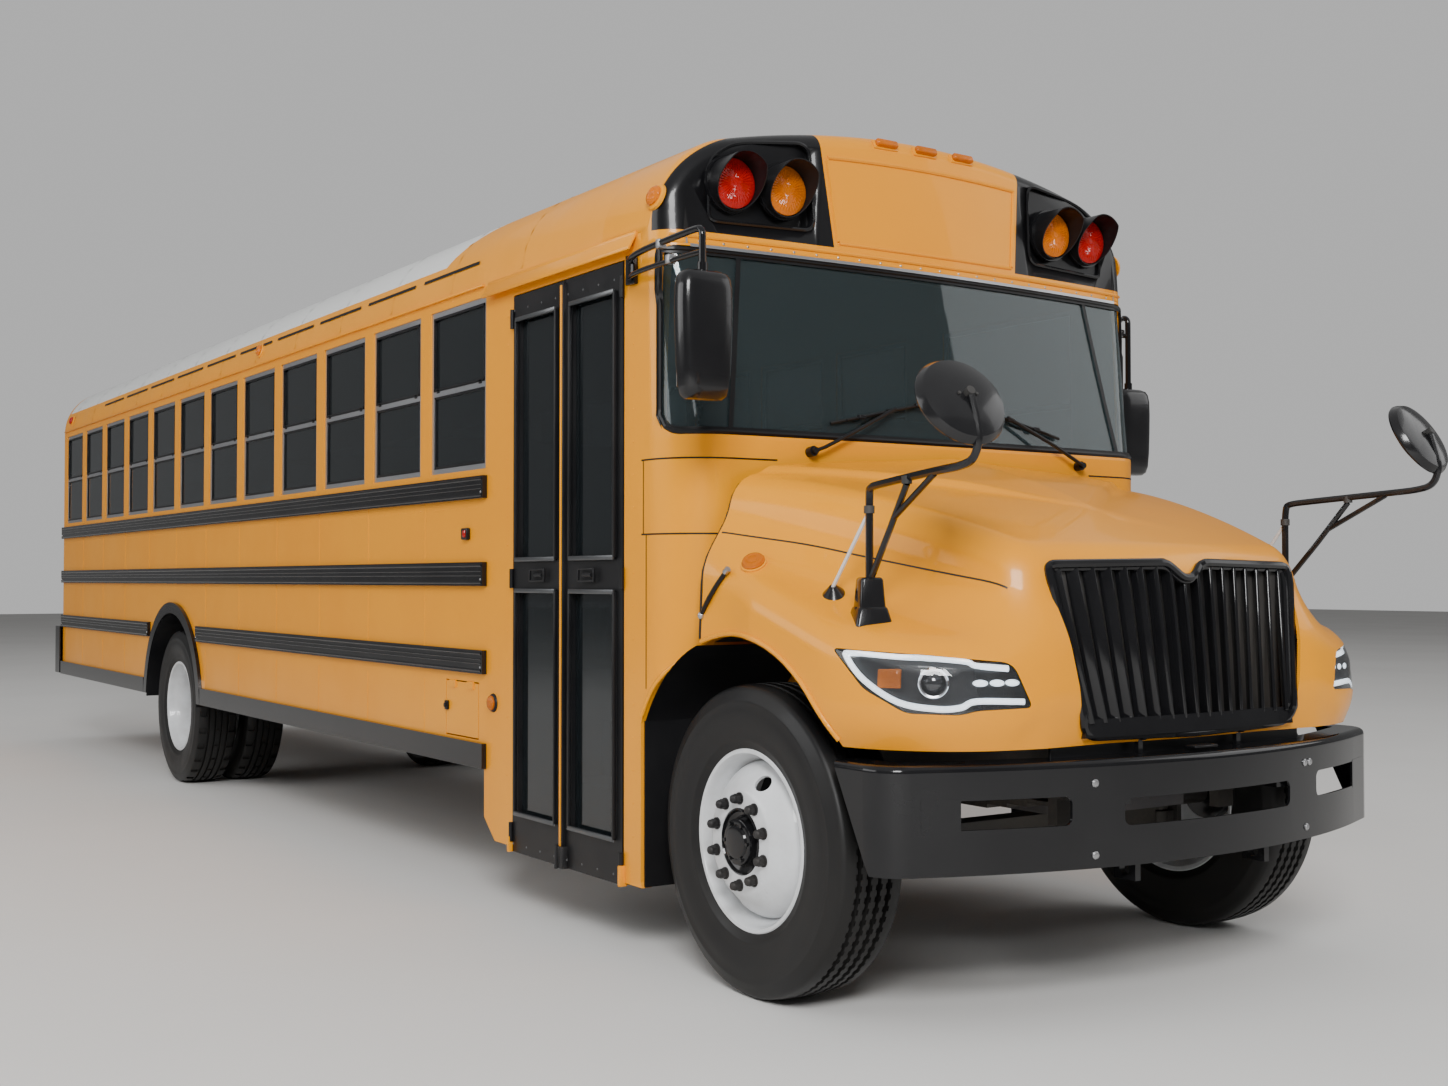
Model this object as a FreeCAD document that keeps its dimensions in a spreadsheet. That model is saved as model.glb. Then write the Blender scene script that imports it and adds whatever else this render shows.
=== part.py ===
"""Conventional school bus: body on a truck chassis, built as separate named pieces.

Frame: X to the driver's side, Y rearwards, Z up, millimetres. The origin lies on the ground
under the middle of the bus. Lengthwise places are given from the front axle, and at() turns
them into Y. Every size is a cell of the sheet; pieces are bound to the cells by expressions.
"""
import FreeCAD, Part

import math
import os

import Sketcher

Vector = FreeCAD.Vector
doc = FreeCAD.newDocument("school_bus")
sheet = doc.addObject("Spreadsheet::Sheet", "Dims")

# ---------------------------------------------------------------- driving sizes
# columns: cell alias, millimetres (or degrees, or a count), what it is
SIZES = (
    ("front_axle_y", -4780.6, "Y of the front axle"),
    ("wheelbase", 6850, "front axle to rear axle"),
    ("body_half", 1200, "centre line to the outer skin of the side walls"),
    ("wall", 40, "whole thickness of wall and roof panels"),
    ("body_front", 610, "front edge of the side walls, behind the front axle"),
    ("cap_rear", 900, "where the moulded front cap meets the roof"),
    ("body_rear", 10450, "outer face of the rear wall"),
    ("rear_pan", 150, "depth of the rear wall's moulded rim"),
    ("rear_round", 90, "radius round the rear wall"),
    ("skirt_z", 575, "lower edge of the side walls"),
    ("roof_start", 2650, "top of the walls, where the roof begins"),
    ("roof_crown", 3120, "top of the roof on the centre line"),
    ("roof_radius", 4100, "radius of the roof's shallow top arc"),
    ("floor_top", 1000, "cabin floor"),
    ("rail_top", 930, "top of the frame rails, underside of the floor"),
    ("rail_depth", 250, "frame rail section height"),
    ("rail_half", 430, "centre line to the frame rail's outer face"),
    ("rail_flange", 76, "frame rail flange width"),
    ("rail_web", 9, "frame rail thickness"),
    ("rail_front", -800, "front end of the frame rails"),
    ("rail_rear", 10280, "rear end of the frame rails"),
    ("spring_top", 668, "top of the leaf spring packs"),
    ("spring_front_half", 660, "half length of a front spring"),
    ("spring_rear_half", 700, "half length of a rear spring"),
    ("leaf", 13, "thickness of one spring leaf"),
    ("pipe_radius", 50.8, "exhaust pipe radius"),
    ("pipe_x", 512, "exhaust line beside the frame rail"),
    ("pipe_z", 705, "height of the exhaust line"),
    ("door_front", 730, "front edge of the entry doorway"),
    ("door_rear", 1645, "rear edge of the entry doorway"),
    ("door_sill", 262, "lower edge of the entry door leaves"),
    ("door_head", 2570, "top of the entry doorway"),
    ("door_gap", 6, "gap round each door leaf"),
    ("leaf_thick", 34, "thickness of an entry door leaf"),
    ("leaf_stile", 62, "width of a leaf's frame beside the glass"),
    ("leaf_glass_low", 425, "bottom of the leaf's lower pane"),
    ("leaf_rail_low", 1340, "top of the leaf's lower pane"),
    ("leaf_rail_high", 1468, "bottom of the leaf's upper pane"),
    ("leaf_glass_high", 2460, "top of the leaf's upper pane"),
    ("glass", 6, "thickness of the panes"),
    ("pillar_foot", 273, "lower end of the pillars beside the doorway"),
    ("step_panel_rear", 1920, "rear edge of the low panel behind the doorway"),
    ("window_first", 1915, "front edge of the first passenger window"),
    ("window_width", 590, "width of a window opening"),
    ("window_pitch", 705, "from one window to the next"),
    ("window_low", 1865, "lower edge of the windows"),
    ("window_high", 2610, "upper edge of the windows"),
    ("window_count", 12, "passenger windows on each side"),
    ("sash", 24, "width of the window's sash frame"),
    ("sash_depth", 26, "depth of the window's sash frame"),
    ("meeting_rail", 2234, "height of the rail across a window"),
    ("driver_window_front", 760, "front edge of the driver's window"),
    ("driver_window_rear", 1640, "rear edge of the driver's window"),
    ("axle_z", 520, "height of both axles, the tyres' radius"),
    ("tyre_width", 280, "section width of a tyre"),
    ("tyre_tread", 216, "width of the tread"),
    ("rim_radius", 286, "bead seat radius"),
    ("rim_flange", 304, "outer radius of the rim flange"),
    ("rim_width", 230, "rim width over the flanges"),
    ("front_tyre_x", 1030, "middle of a front tyre"),
    ("rear_tyre_x", 1040, "middle of an outer rear tyre"),
    ("twin_pitch", 322, "outer to inner tyre of a twin wheel"),
    ("kingpin_x", 840, "middle of the kingpins"),
    ("kingpin_radius", 22, "kingpin radius"),
    ("spindle_radius", 44, "front spindle radius"),
    ("rear_spindle_radius", 62, "rear axle tube radius in the hubs"),
    ("bearing_gap", 0.05, "radial running clearance at pins and bearings"),
    ("arm_reach", 210, "kingpin to tie rod pin"),
    ("arm_pin", 10, "radius of the pins that carry the tie rod"),
    ("tie_rod_z", 395, "height of the tie rod"),
    ("arch_y", 60, "centre of the front wheel arch behind the axle"),
    ("arch_z", 580, "height of the front wheel arch's centre"),
    ("arch_radius", 620, "front wheel arch radius"),
    ("rear_arch_radius", 635, "rear wheel arch radius"),
    ("flare", 75, "width of the black flare round the rear arch"),
    ("flare_proud", 22, "flare and rub rail standing proud of the wall"),
    ("hood_rear", 262, "rear edge of the hood"),
    ("hood_low", 872, "lower edge of the hood"),
    ("hood_skin", 14, "thickness of the hood moulding"),
    ("hood_top_rear", 1815, "hood height at its rear edge"),
    ("hood_top_front", 1505, "hood height above the grille"),
    ("hood_face_top", -800, "front face of the hood at the top"),
    ("hood_face_low", -932, "front face of the hood at its lower edge"),
    ("nose_half_rear", 1075, "half width of the raised hood at the rear"),
    ("nose_half_front", 735, "half width of the raised hood at the front"),
    ("fender_half", 1180, "half width over the fenders"),
    ("fender_top_rear", 1540, "fender height at the rear"),
    ("fender_top_front", 1385, "fender height at the front"),
    ("fender_round", 440, "radius of the hood's front corners seen from above"),
    ("hood_pivot_y", -887, "hood hinge behind the hood's lip"),
    ("hood_pivot_z", 888, "height of the hood hinge"),
    ("bumper_low", 505, "lower edge of the front bumper"),
    ("bumper_high", 835, "upper edge of the front bumper"),
    ("bumper_nose", -982, "front of the bumper on the centre line"),
    ("bumper_half", 1175, "half width of the front bumper"),
    ("bumper_plate", 9, "bumper plate thickness"),
    ("shell_front", 396, "front of the cab's shell on the centre line, under the cap"),
    ("shell_rake", 90, "how far the glass leans back from its sill to the cap"),
    ("cap_bow", 9900, "radius of the cap's bowed front seen from above"),
    ("cap_corner", 110, "radius of the cap's corners seen from above"),
    ("cap_round", 70, "radius over the cap's front edge"),
    ("sill_bow", 20000, "radius of the cowl's bowed front seen from above"),
    ("sill_corner", 220, "radius of the cowl's corners seen from above"),
    ("glass_sill", 1890, "lower edge of the windshield"),
    ("glass_head", 2596, "upper edge of the windshield"),
    ("glass_rear", 505, "where the windshield ends beside the pillar"),
    ("lamp_outer_x", 916, "centre line to a red warning lamp"),
    ("lamp_inner_x", 693, "centre line to an amber warning lamp"),
    ("lamp_z", 2832, "height of the warning lamps"),
    ("lamp_radius", 98, "radius of a warning lamp"),
    ("hood_crown_y", -250, "where the hood's top line bends down towards the front"),
    ("hood_crown_z", 1698, "hood height where its top line bends"),
    ("grille_top", 1435, "upper edge of the grille"),
    ("grille_foot", 899, "lower edge of the grille"),
    ("grille_top_half", 587, "half width of the grille at the top"),
    ("grille_low_half", 498, "half width of the grille at the foot"),
    ("grille_bars", 17, "upright bars of the grille"),
    ("mirror_x", 1100, "centre line to a crossover mirror"),
    ("mirror_foot_z", 1300, "foot of the crossover mirror's post"),
    ("side_mirror_x", 1305, "centre line to a side mirror"),
    ("side_mirror_half", 103, "half width of a side mirror"),
    ("tow_radius", 20, "hole of the front tow eyes"),
    ("rear_bumper_low", 580, "lower edge of the rear bumper"),
    ("rear_bumper_high", 980, "upper edge of the rear bumper"),
    ("rear_bumper_rear", 10600, "rear face of the rear bumper"),
    ("rail_start", 1900, "front end of the rub rails"),
    ("hatch_door_front", 1975, "front edge of the flap in the curb side wall"),
    ("hatch_door_rear", 2320, "rear edge of the flap"),
    ("hatch_door_low", 692, "lower edge of the flap"),
    ("hatch_door_high", 940, "upper edge of the flap"),
    ("stair_inner", 560, "centre line to the stairwell's inner edge"),
    ("plate_x", 770, "centre line to the middle of the number plate"),
    ("plate_z", 1200, "height of the number plate"),
    ("plate_wide", 177.8, "number plate holes across"),
    ("plate_tall", 120.65, "number plate holes up and down"),
    ("driver_x", 620, "centre line to the driver's seat"),
    ("steering_radius", 225, "steering wheel radius"),
    ("column_lean", 32, "steering column from upright, degrees"),
    ("stop_arm_y", 850, "hinge of the stop arm"),
    ("stop_arm_z", 1500, "height of the stop arm"),
    ("stop_arm_radius", 247, "octagon, centre to corner"),
    ("seat_rows", 12, "rows of bench seats"),
    ("seat_first", 2150, "front edge of the first seat cushion"),
    ("seat_pitch", 690, "from one row to the next"),
    ("seat_width", 980, "width of a bench seat"),
    ("seat_top", 1440, "top of the seat cushions"),
    ("seat_cushion", 120, "thickness of a seat cushion"),
    ("seat_deep", 390, "depth of a seat cushion"),
    ("seat_back_top", 2060, "top of the seat backs"),
    ("seat_back", 75, "thickness of a seat back"),
    ("seat_wall_gap", 12, "seat to wall"),
    ("exit_door_half", 440, "half width of the rear emergency doorway"),
    ("exit_door_low", 1010, "sill of the emergency door"),
    ("exit_door_high", 2560, "head of the emergency door"),
    ("hatch_half", 300, "half the side of a roof hatch"),
    ("hatch_first", 3000, "middle of the front roof hatch"),
    ("hatch_second", 7900, "middle of the rear roof hatch"),
    ("hatch_height", 48, "height of the hatch lid above the roof's crown"),
)


class Size:
    """A length worked out from cells: its value now, and the expression that keeps it live."""

    def __init__(self, value, text):
        self.value = value
        self.text = text

    def __float__(self):
        return float(self.value)

    def __neg__(self):
        return Size(-self.value, "-(" + self.text + ")")

    def __add__(self, other):
        other = sized(other)
        return Size(self.value + other.value, "(%s + %s)" % (self.text, other.text))

    def __sub__(self, other):
        other = sized(other)
        return Size(self.value - other.value, "(%s - %s)" % (self.text, other.text))

    def __mul__(self, other):
        other = sized(other)
        return Size(self.value * other.value, "(%s * %s)" % (self.text, other.text))

    def __truediv__(self, other):
        other = sized(other)
        return Size(self.value / other.value, "(%s / %s)" % (self.text, other.text))

    __radd__ = __add__
    __rmul__ = __mul__

    def __rsub__(self, other):
        return sized(other) - self


def sized(number):
    """A Size as it is, or a plain number as a Size."""
    return number if isinstance(number, Size) else Size(float(number), "%.9g" % number)


class Cells:
    """d.wheelbase and so on: each cell of the sheet as a Size."""


d = Cells()
for row, (alias, number, meaning) in enumerate(SIZES, start=1):
    sheet.set("A%d" % row, meaning)
    sheet.set("B%d" % row, str(number))
    sheet.setAlias("B%d" % row, alias)
    setattr(d, alias, Size(float(number), "Dims." + alias))
doc.recompute()


def at(y):
    """Y of a place given from the front axle."""
    return d.front_axle_y + y


# ---------------------------------------------------------------- document helpers
nodes = []


def node(label, piece):
    """Names a finished sub-part and puts it on the list of files to write."""
    piece.Label = label
    nodes.append(piece)
    return piece


def bind(piece, prop, length):
    piece.setExpression(prop, sized(length).text)


def place(piece, x, y, z):
    """Binds a piece's position to the sheet."""
    for prop, length in (("x", x), ("y", y), ("z", z)):
        bind(piece, "Placement.Base." + prop, length)


def block(x, y, z):
    """A box between pairs of limits along X, Y and Z."""
    piece = doc.addObject("Part::Box", "block")
    for prop, limits in (("Length", x), ("Width", y), ("Height", z)):
        bind(piece, prop, sized(limits[1]) - sized(limits[0]))
    place(piece, x[0], y[0], z[0])
    return piece


ALONG = {"X": FreeCAD.Rotation(Vector(0, 1, 0), 90),
         "Y": FreeCAD.Rotation(Vector(1, 0, 0), -90),
         "Z": FreeCAD.Rotation()}


def rod(radius, length, start, along="Z"):
    """A cylinder from its start point along X, Y or Z."""
    piece = doc.addObject("Part::Cylinder", "rod")
    bind(piece, "Radius", radius)
    bind(piece, "Height", length)
    piece.Placement.Rotation = ALONG[along]
    place(piece, *start)
    return piece


def fuse(pieces):
    joined = doc.addObject("Part::MultiFuse", "fuse")
    joined.Shapes = list(pieces)
    return joined


def cut(base, tools):
    """The base without the tools."""
    tools = list(tools)
    remainder = doc.addObject("Part::Cut", "cut")
    remainder.Base = base
    remainder.Tool = tools[0] if len(tools) == 1 else fuse(tools)
    return remainder


def mirrored(piece):
    """The same piece on the other side of the bus."""
    twin = doc.addObject("Part::Mirroring", "mirrored")
    twin.Source = piece
    twin.Normal = Vector(1, 0, 0)
    return twin


def both_sides(piece):
    return [piece, mirrored(piece)]


def shaped(shape, name="shaped"):
    """A Part::Feature for what neither primitives nor sketches can make."""
    piece = doc.addObject("Part::Feature", name)
    piece.Shape = shape
    return piece


# ---------------------------------------------------------------- sketched bodies
def new_body(name):
    return doc.addObject("PartDesign::Body", name)


def sketch_on(body, role, lift=0):
    """An empty sketch on one of the body's own origin planes, lifted along its normal."""
    plane = next(f for f in body.Origin.OriginFeatures if f.Role == role)
    sketch = body.newObject("Sketcher::SketchObject", "outline")
    sketch.AttachmentSupport = [(plane, "")]
    sketch.MapMode = "FlatFace"
    bind(sketch, "AttachmentOffset.Base.z", lift)
    return sketch


def tie(sketch, line, end, u, v):
    """Fixes one end of an edge (or a circle's centre) by two bound distances from the origin."""
    for kind, length in (("DistanceX", u), ("DistanceY", v)):
        index = sketch.addConstraint(Sketcher.Constraint(kind, -1, 1, line, end, float(length)))
        bind(sketch, "Constraints[%d]" % index, length)


def polygon(sketch, corners):
    """A closed outline of straight edges whose corners are Sizes."""
    corners = [(sized(u), sized(v)) for u, v in corners]
    points = [Vector(float(u), float(v), 0) for u, v in corners]
    first = sketch.GeometryCount
    count = len(points)
    for i in range(count):
        sketch.addGeometry(Part.LineSegment(points[i], points[(i + 1) % count]), False)
    for i in range(count):
        following = first + (i + 1) % count
        sketch.addConstraint(Sketcher.Constraint("Coincident", first + i, 2, following, 1))
    for i, (u, v) in enumerate(corners):
        tie(sketch, first + i, 1, u, v)


def rectangle(sketch, u, v):
    polygon(sketch, ((u[0], v[0]), (u[1], v[0]), (u[1], v[1]), (u[0], v[1])))


def circle(sketch, u, v, radius):
    centre = Vector(float(sized(u)), float(sized(v)), 0)
    ring = sketch.addGeometry(Part.Circle(centre, Vector(0, 0, 1), float(sized(radius))), False)
    tie(sketch, ring, 3, sized(u), sized(v))
    index = sketch.addConstraint(Sketcher.Constraint("Radius", ring, float(sized(radius))))
    bind(sketch, "Constraints[%d]" % index, radius)


def pad(body, sketch, length, midplane=False):
    feature = body.newObject("PartDesign::Pad", "pad")
    feature.Profile = sketch
    bind(feature, "Length", length)
    feature.Midplane = midplane
    return feature


def pocket(body, sketch, length):
    """Cuts the sketch into the body to both sides of its plane; the volume has to fall."""
    doc.recompute()
    before = body.Shape.Volume
    feature = body.newObject("PartDesign::Pocket", "pocket")
    feature.Profile = sketch
    feature.Midplane = True
    bind(feature, "Length", length)
    doc.recompute()
    if body.Shape.Volume >= before:
        raise RuntimeError(body.Label + ": a pocket cuts nothing")
    return feature


def repeated(body, feature, sketch, axis, pitch, count):
    """Repeats a feature along its sketch's H_Axis or V_Axis."""
    pattern = body.newObject("PartDesign::LinearPattern", "pattern")
    pattern.Originals = [feature]
    pattern.Direction = (sketch, [axis])
    bind(pattern, "Length", pitch * (count - 1))
    bind(pattern, "Occurrences", count)
    body.Tip = pattern
    return pattern


def turned(name, corners):
    """A ring turned round the X axis from corners given as (along the axle, radius)."""
    body = new_body(name)
    sketch = sketch_on(body, "XY_Plane")
    polygon(sketch, corners)
    turn = body.newObject("PartDesign::Revolution", "turn")
    turn.Profile = sketch
    turn.ReferenceAxis = (sketch, ["H_Axis"])
    turn.Angle = 360
    return body


# ---------------------------------------------------------------- outlines with rounded corners
def inset_corners(corners, inset):
    """Corners (u, v, radius) of a counter-clockwise outline, moved inwards by inset."""
    count = len(corners)
    moved = []
    for i in range(count):
        u, v, radius = corners[i]
        before = Vector(u - corners[i - 1][0], v - corners[i - 1][1], 0).normalize()
        after_u, after_v = corners[(i + 1) % count][:2]
        after = Vector(after_u - u, after_v - v, 0).normalize()
        turn = before.x * after.y - before.y * after.x
        bisector = Vector(-before.y - after.y, before.x + after.x, 0)
        step = inset * 2 / bisector.dot(bisector)
        new_radius = radius - inset if turn > 0 else radius + inset
        moved.append((u + bisector.x * step, v + bisector.y * step,
                      max(new_radius, 0) if radius else 0))
    return moved


def rounded_face(corners, lift):
    """A flat face from corners (u, v, radius); lift turns (u, v) into a point in space."""
    count = len(corners)
    joints = []
    for i in range(count):
        here = Vector(corners[i][0], corners[i][1], 0)
        before = Vector(corners[i - 1][0], corners[i - 1][1], 0) - here
        after = Vector(corners[(i + 1) % count][0], corners[(i + 1) % count][1], 0) - here
        radius = corners[i][2]
        if radius <= 0:
            joints.append((here, None, here))
            continue
        half = before.getAngle(after) / 2
        reach = radius / math.tan(half)
        start = here + Vector(before).normalize() * reach
        end = here + Vector(after).normalize() * reach
        inward = (Vector(before).normalize() + Vector(after).normalize()).normalize()
        middle = here + inward * (radius / math.sin(half) - radius)
        joints.append((start, middle, end))
    edges = []
    for i in range(count):
        start, middle, end = joints[i]
        if middle is not None:
            arc = Part.Arc(lift(start.x, start.y), lift(middle.x, middle.y), lift(end.x, end.y))
            edges.append(arc.toShape())
        following = joints[(i + 1) % count][0]
        if (following - end).Length > 1e-6:
            edges.append(Part.makeLine(lift(end.x, end.y), lift(following.x, following.y)))
    return Part.Face(Part.Wire(edges))


def plan_prism(corners, low, high, shear=0.0):
    """Outline in X and Y, from z = low to z = high; shear moves Y forwards going down."""
    face = rounded_face(corners, lambda u, v: Vector(u, v, high))
    return face.extrude(Vector(0, -shear * (high - low), low - high))


def side_prism(corners, left, right):
    """Outline in Y and Z, from x = left to x = right."""
    face = rounded_face(corners, lambda u, v: Vector(left, u, v))
    return face.extrude(Vector(right - left, 0, 0))


def front_prism(corners, front, rear):
    """Outline in X and Z, from y = front to y = rear."""
    face = rounded_face(corners, lambda u, v: Vector(u, front, v))
    return face.extrude(Vector(0, rear - front, 0))


def row(y):
    """at() as a plain number."""
    return float(at(y))


# ---------------------------------------------------------------- chassis
def chassis_frame():
    """Two channel rails joined by crossmembers, with hangers at the springs' ends."""
    low = d.rail_top - d.rail_depth
    inside = d.rail_half - d.rail_flange
    outer = block((inside, d.rail_half), (at(d.rail_front), at(d.rail_rear)), (low, d.rail_top))
    hollow = block((inside - 1, d.rail_half - d.rail_web),
                   (at(d.rail_front) - 1, at(d.rail_rear) + 1),
                   (low + d.rail_web, d.rail_top - d.rail_web))
    pieces = both_sides(cut(outer, [hollow]))
    cross_half = d.rail_half - d.rail_web
    for y in (-760, 1250, 2400, 4200, 5700, 8000, 9500, 10180):
        pieces.append(block((-cross_half, cross_half), (at(y), at(y) + 60),
                            (low + 40, d.rail_top - 40)))
    # columns: spring's axle, half length of the spring, depth of the hanger below the rail
    for axle, half, drop in ((0, d.spring_front_half, 85), (d.wheelbase, d.spring_rear_half, 95)):
        for y in (at(axle) - half - 40, at(axle) + half):
            pieces += both_sides(block((inside, d.rail_half), (y, y + 40), (low - drop, low + 10)))
    node("chassis_frame", fuse(pieces))


def leaf_springs():
    """A pack of flat leaves on each axle, each leaf shorter than the one above."""
    pieces = []
    # columns: axle, half length of the longest leaf, number of leaves
    for axle, half, leaves in ((0, d.spring_front_half, 4), (d.wheelbase, d.spring_rear_half, 5)):
        for step in range(leaves):
            reach = half - 95 * step
            top = d.spring_top - d.leaf * step
            pieces.append(block((d.rail_half - d.rail_flange, d.rail_half),
                                (at(axle) - reach, at(axle) + reach), (top - d.leaf, top)))
    node("leaf_springs", fuse(both_sides(fuse(pieces))))


def spring_seat(axle, half, low, leaves):
    """Block on an axle that carries a spring pack."""
    return block((d.rail_half - d.rail_flange, d.rail_half), (at(axle) - half, at(axle) + half),
                 (low, d.spring_top - d.leaf * leaves))


def front_axle():
    """Beam with a narrow neck, a boss and a fixed kingpin at each end."""
    beam_end = d.kingpin_x - 66
    pieces = [block((-beam_end, beam_end), (at(-48), at(48)), (d.axle_z - 95, d.axle_z - 12))]
    neck = block((beam_end - 20, d.kingpin_x), (at(-32), at(32)), (d.axle_z - 48, d.axle_z + 10))
    boss = rod(42, 96, (d.kingpin_x, at(0), d.axle_z - 48))
    pin = rod(d.kingpin_radius, 208, (d.kingpin_x, at(0), d.axle_z - 104))
    for piece in (neck, boss, pin, spring_seat(0, 70, d.axle_z - 20, 4)):
        pieces += both_sides(piece)
    node("front_axle", fuse(pieces))


def knuckle(side):
    """Steering knuckle: two eyes on the kingpin, a plate, the spindle and a steering arm."""
    plate = d.kingpin_x + 50
    arm_low = d.axle_z - 100
    pieces = [block((plate, plate + 24), (at(-58), at(58)), (arm_low, d.axle_z + 100)),
              rod(d.spindle_radius, 190, (plate + 10, at(0), d.axle_z), "X")]
    for low in (arm_low, d.axle_z + 56):
        pieces.append(rod(44, 44, (d.kingpin_x, at(0), low)))
        pieces.append(block((d.kingpin_x, plate + 10), (at(-40), at(40)), (low, low + 44)))
    pieces.append(block((d.kingpin_x - 16, d.kingpin_x + 16), (at(30), at(d.arm_reach)),
                        (arm_low, arm_low + 26)))
    pieces.append(rod(24, 26, (d.kingpin_x, at(d.arm_reach), arm_low)))
    pin_low = d.tie_rod_z - 25
    pieces.append(rod(d.arm_pin, arm_low - pin_low + 10, (d.kingpin_x, at(d.arm_reach), pin_low)))
    bore = rod(d.kingpin_radius + d.bearing_gap, 260, (d.kingpin_x, at(0), d.axle_z - 130))
    shape = cut(fuse(pieces), [bore])
    node(side + "_knuckle", mirrored(shape) if side == "right" else shape)


def tie_rod():
    """Rod between the steering arms. Its left eye is loose, because the linkage is opened there."""
    y = at(d.arm_reach)
    pieces = [rod(14, d.kingpin_x * 2 - 40, (-(d.kingpin_x - 20), y, d.tie_rod_z), "X")]
    bores = []
    # columns: place of the eye, clearance round its pin
    for x, gap in ((-d.kingpin_x, d.bearing_gap), (d.kingpin_x, 2)):
        pieces.append(rod(24, 22, (x, y, d.tie_rod_z - 11)))
        bores.append(rod(d.arm_pin + gap, 60, (x, y, d.tie_rod_z - 30)))
    node("tie_rod", cut(fuse(pieces), bores))


def rear_axle():
    """Banjo housing with its round cover, and tube ends that carry the twin wheels."""
    tube_end = d.rear_tyre_x - 30
    shoulder = d.rail_half + 85
    pieces = [rod(72, shoulder * 2, (-shoulder, at(d.wheelbase), d.axle_z), "X"),
              rod(d.rear_spindle_radius, tube_end * 2, (-tube_end, at(d.wheelbase), d.axle_z), "X"),
              rod(200, 190, (0, at(d.wheelbase) - 60, d.axle_z), "Y"),
              rod(95, 240, (0, at(d.wheelbase) - 280, d.axle_z), "Y")]
    pieces += both_sides(spring_seat(d.wheelbase, 75, d.axle_z, 5))
    node("rear_axle", fuse(pieces))


def engine_block():
    """Engine and gearbox as one plain mass at their real place."""
    engine = block((-290, 290), (at(-600), at(240)), (600, 1400))
    gearbox = block((-190, 190), (at(200), at(1150)), (540, d.rail_top - 30))
    node("engine_block", fuse([engine, gearbox]))


def drive_shaft():
    """Two piece shaft from the gearbox to the rear axle's nose, with its centre bearing."""
    shaft_z = d.axle_z + 50
    shaft = rod(48, d.wheelbase - 280 - 1150, (0, at(1150), shaft_z), "Y")
    hanger = block((-70, 70), (at(4210), at(4250)), (shaft_z - 60, d.rail_top - d.rail_depth + 40))
    node("drive_shaft", fuse([shaft, hanger]))


def fuel_tank():
    """Tank between the rails behind the rear axle, held by two straps."""
    top = d.rail_top - 60
    pieces = [block((-320, 320), (at(8160), at(9400)), (440, top))]
    for y in (8420, 9060):
        pieces.append(block((-330, 330), (at(y), at(y) + 60), (430, top + 60)))
    node("fuel_tank", fuse(pieces))


def exhaust():
    """Muffler and pipes along the left rail; the tail pipe ends behind the bumper."""
    muffler = rod(130, 1000, (d.pipe_x + 76, at(1900), d.pipe_z), "Y")
    front_pipe = rod(d.pipe_radius, 1100, (d.pipe_x, at(850), d.pipe_z), "Y")
    tail_start = at(2850)
    tail = rod(d.pipe_radius, at(d.body_rear + 185) - tail_start, (d.pipe_x, tail_start, d.pipe_z), "Y")
    bore = rod(d.pipe_radius - 3, 400, (d.pipe_x, at(d.body_rear - 200), d.pipe_z), "Y")
    clamp = block((d.pipe_x - 82, d.pipe_x), (at(850), at(900)), (d.pipe_z - 20, d.pipe_z + 20))
    node("exhaust", cut(fuse([muffler, front_pipe, tail, clamp]), [bore]))


# ---------------------------------------------------------------- wheels
def tyre_ring():
    """Tyre section turned round its axle, hollow, open towards the rim."""
    half = d.tyre_width / 2
    tread = d.tyre_tread / 2
    bead = d.rim_width / 2 - 13
    radius = d.axle_z
    seat = d.rim_radius + 0.5
    outside = ((bead, seat), (bead, seat + 20), (half - 8, seat + 62), (half, seat + 118),
               (half - 6, radius - 62), (tread + 14, radius - 20), (tread, radius))
    inside = ((tread - 14, radius - 32), (half - 28, radius - 70), (half - 24, seat + 110),
              (bead - 20, seat + 14), (bead - 24, seat))
    left = [(-u, v) for u, v in outside]
    left_inside = [(-u, v) for u, v in inside]
    return (list(outside) + left[::-1] + left_inside[::-1] + list(inside))


def rim_outside(middle, sign):
    """Rim section on the tyre's side, from one flange to the other."""
    half = d.rim_width / 2
    seat = d.rim_radius
    flange = d.rim_flange
    steps = ((half, flange), (half - 12, flange), (half - 12, seat), (half - 60, seat - 5),
             (half - 76, seat - 22))
    near = [(middle + sign * u, v) for u, v in steps]
    far = [(middle - sign * u, v) for u, v in steps]
    return near + far[::-1]


def front_wheel(side):
    """One piece disc wheel, its hub and its bearing bore, turned round the axle."""
    half = d.rim_width / 2
    barrel = d.rim_radius - 32
    bore = d.spindle_radius + d.bearing_gap
    rim = rim_outside(0, -1)
    disc = ((half, d.rim_flange - 14), (half - 10, barrel + 4), (half - 24, barrel - 8),
            (half - 16, barrel - 50), (half - 6, 190), (half - 6, 92), (half + 34, 90),
            (half + 40, 62), (half + 52, 58), (half + 52, 0), (66, 0), (66, bore), (-98, bore),
            (-98, 96), (half - 20, 96), (half - 20, 186), (half - 34, barrel - 14),
            (-half + 78, barrel - 1), (-half + 62, barrel + 14), (-half + 12, barrel + 20),
            (-half, d.rim_flange - 14))
    wheel = turned("front_wheel", rim + list(disc))
    place(wheel, d.front_tyre_x, at(0), d.axle_z)
    node("front_%s_wheel" % side, mirrored(wheel) if side == "right" else wheel)


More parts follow.
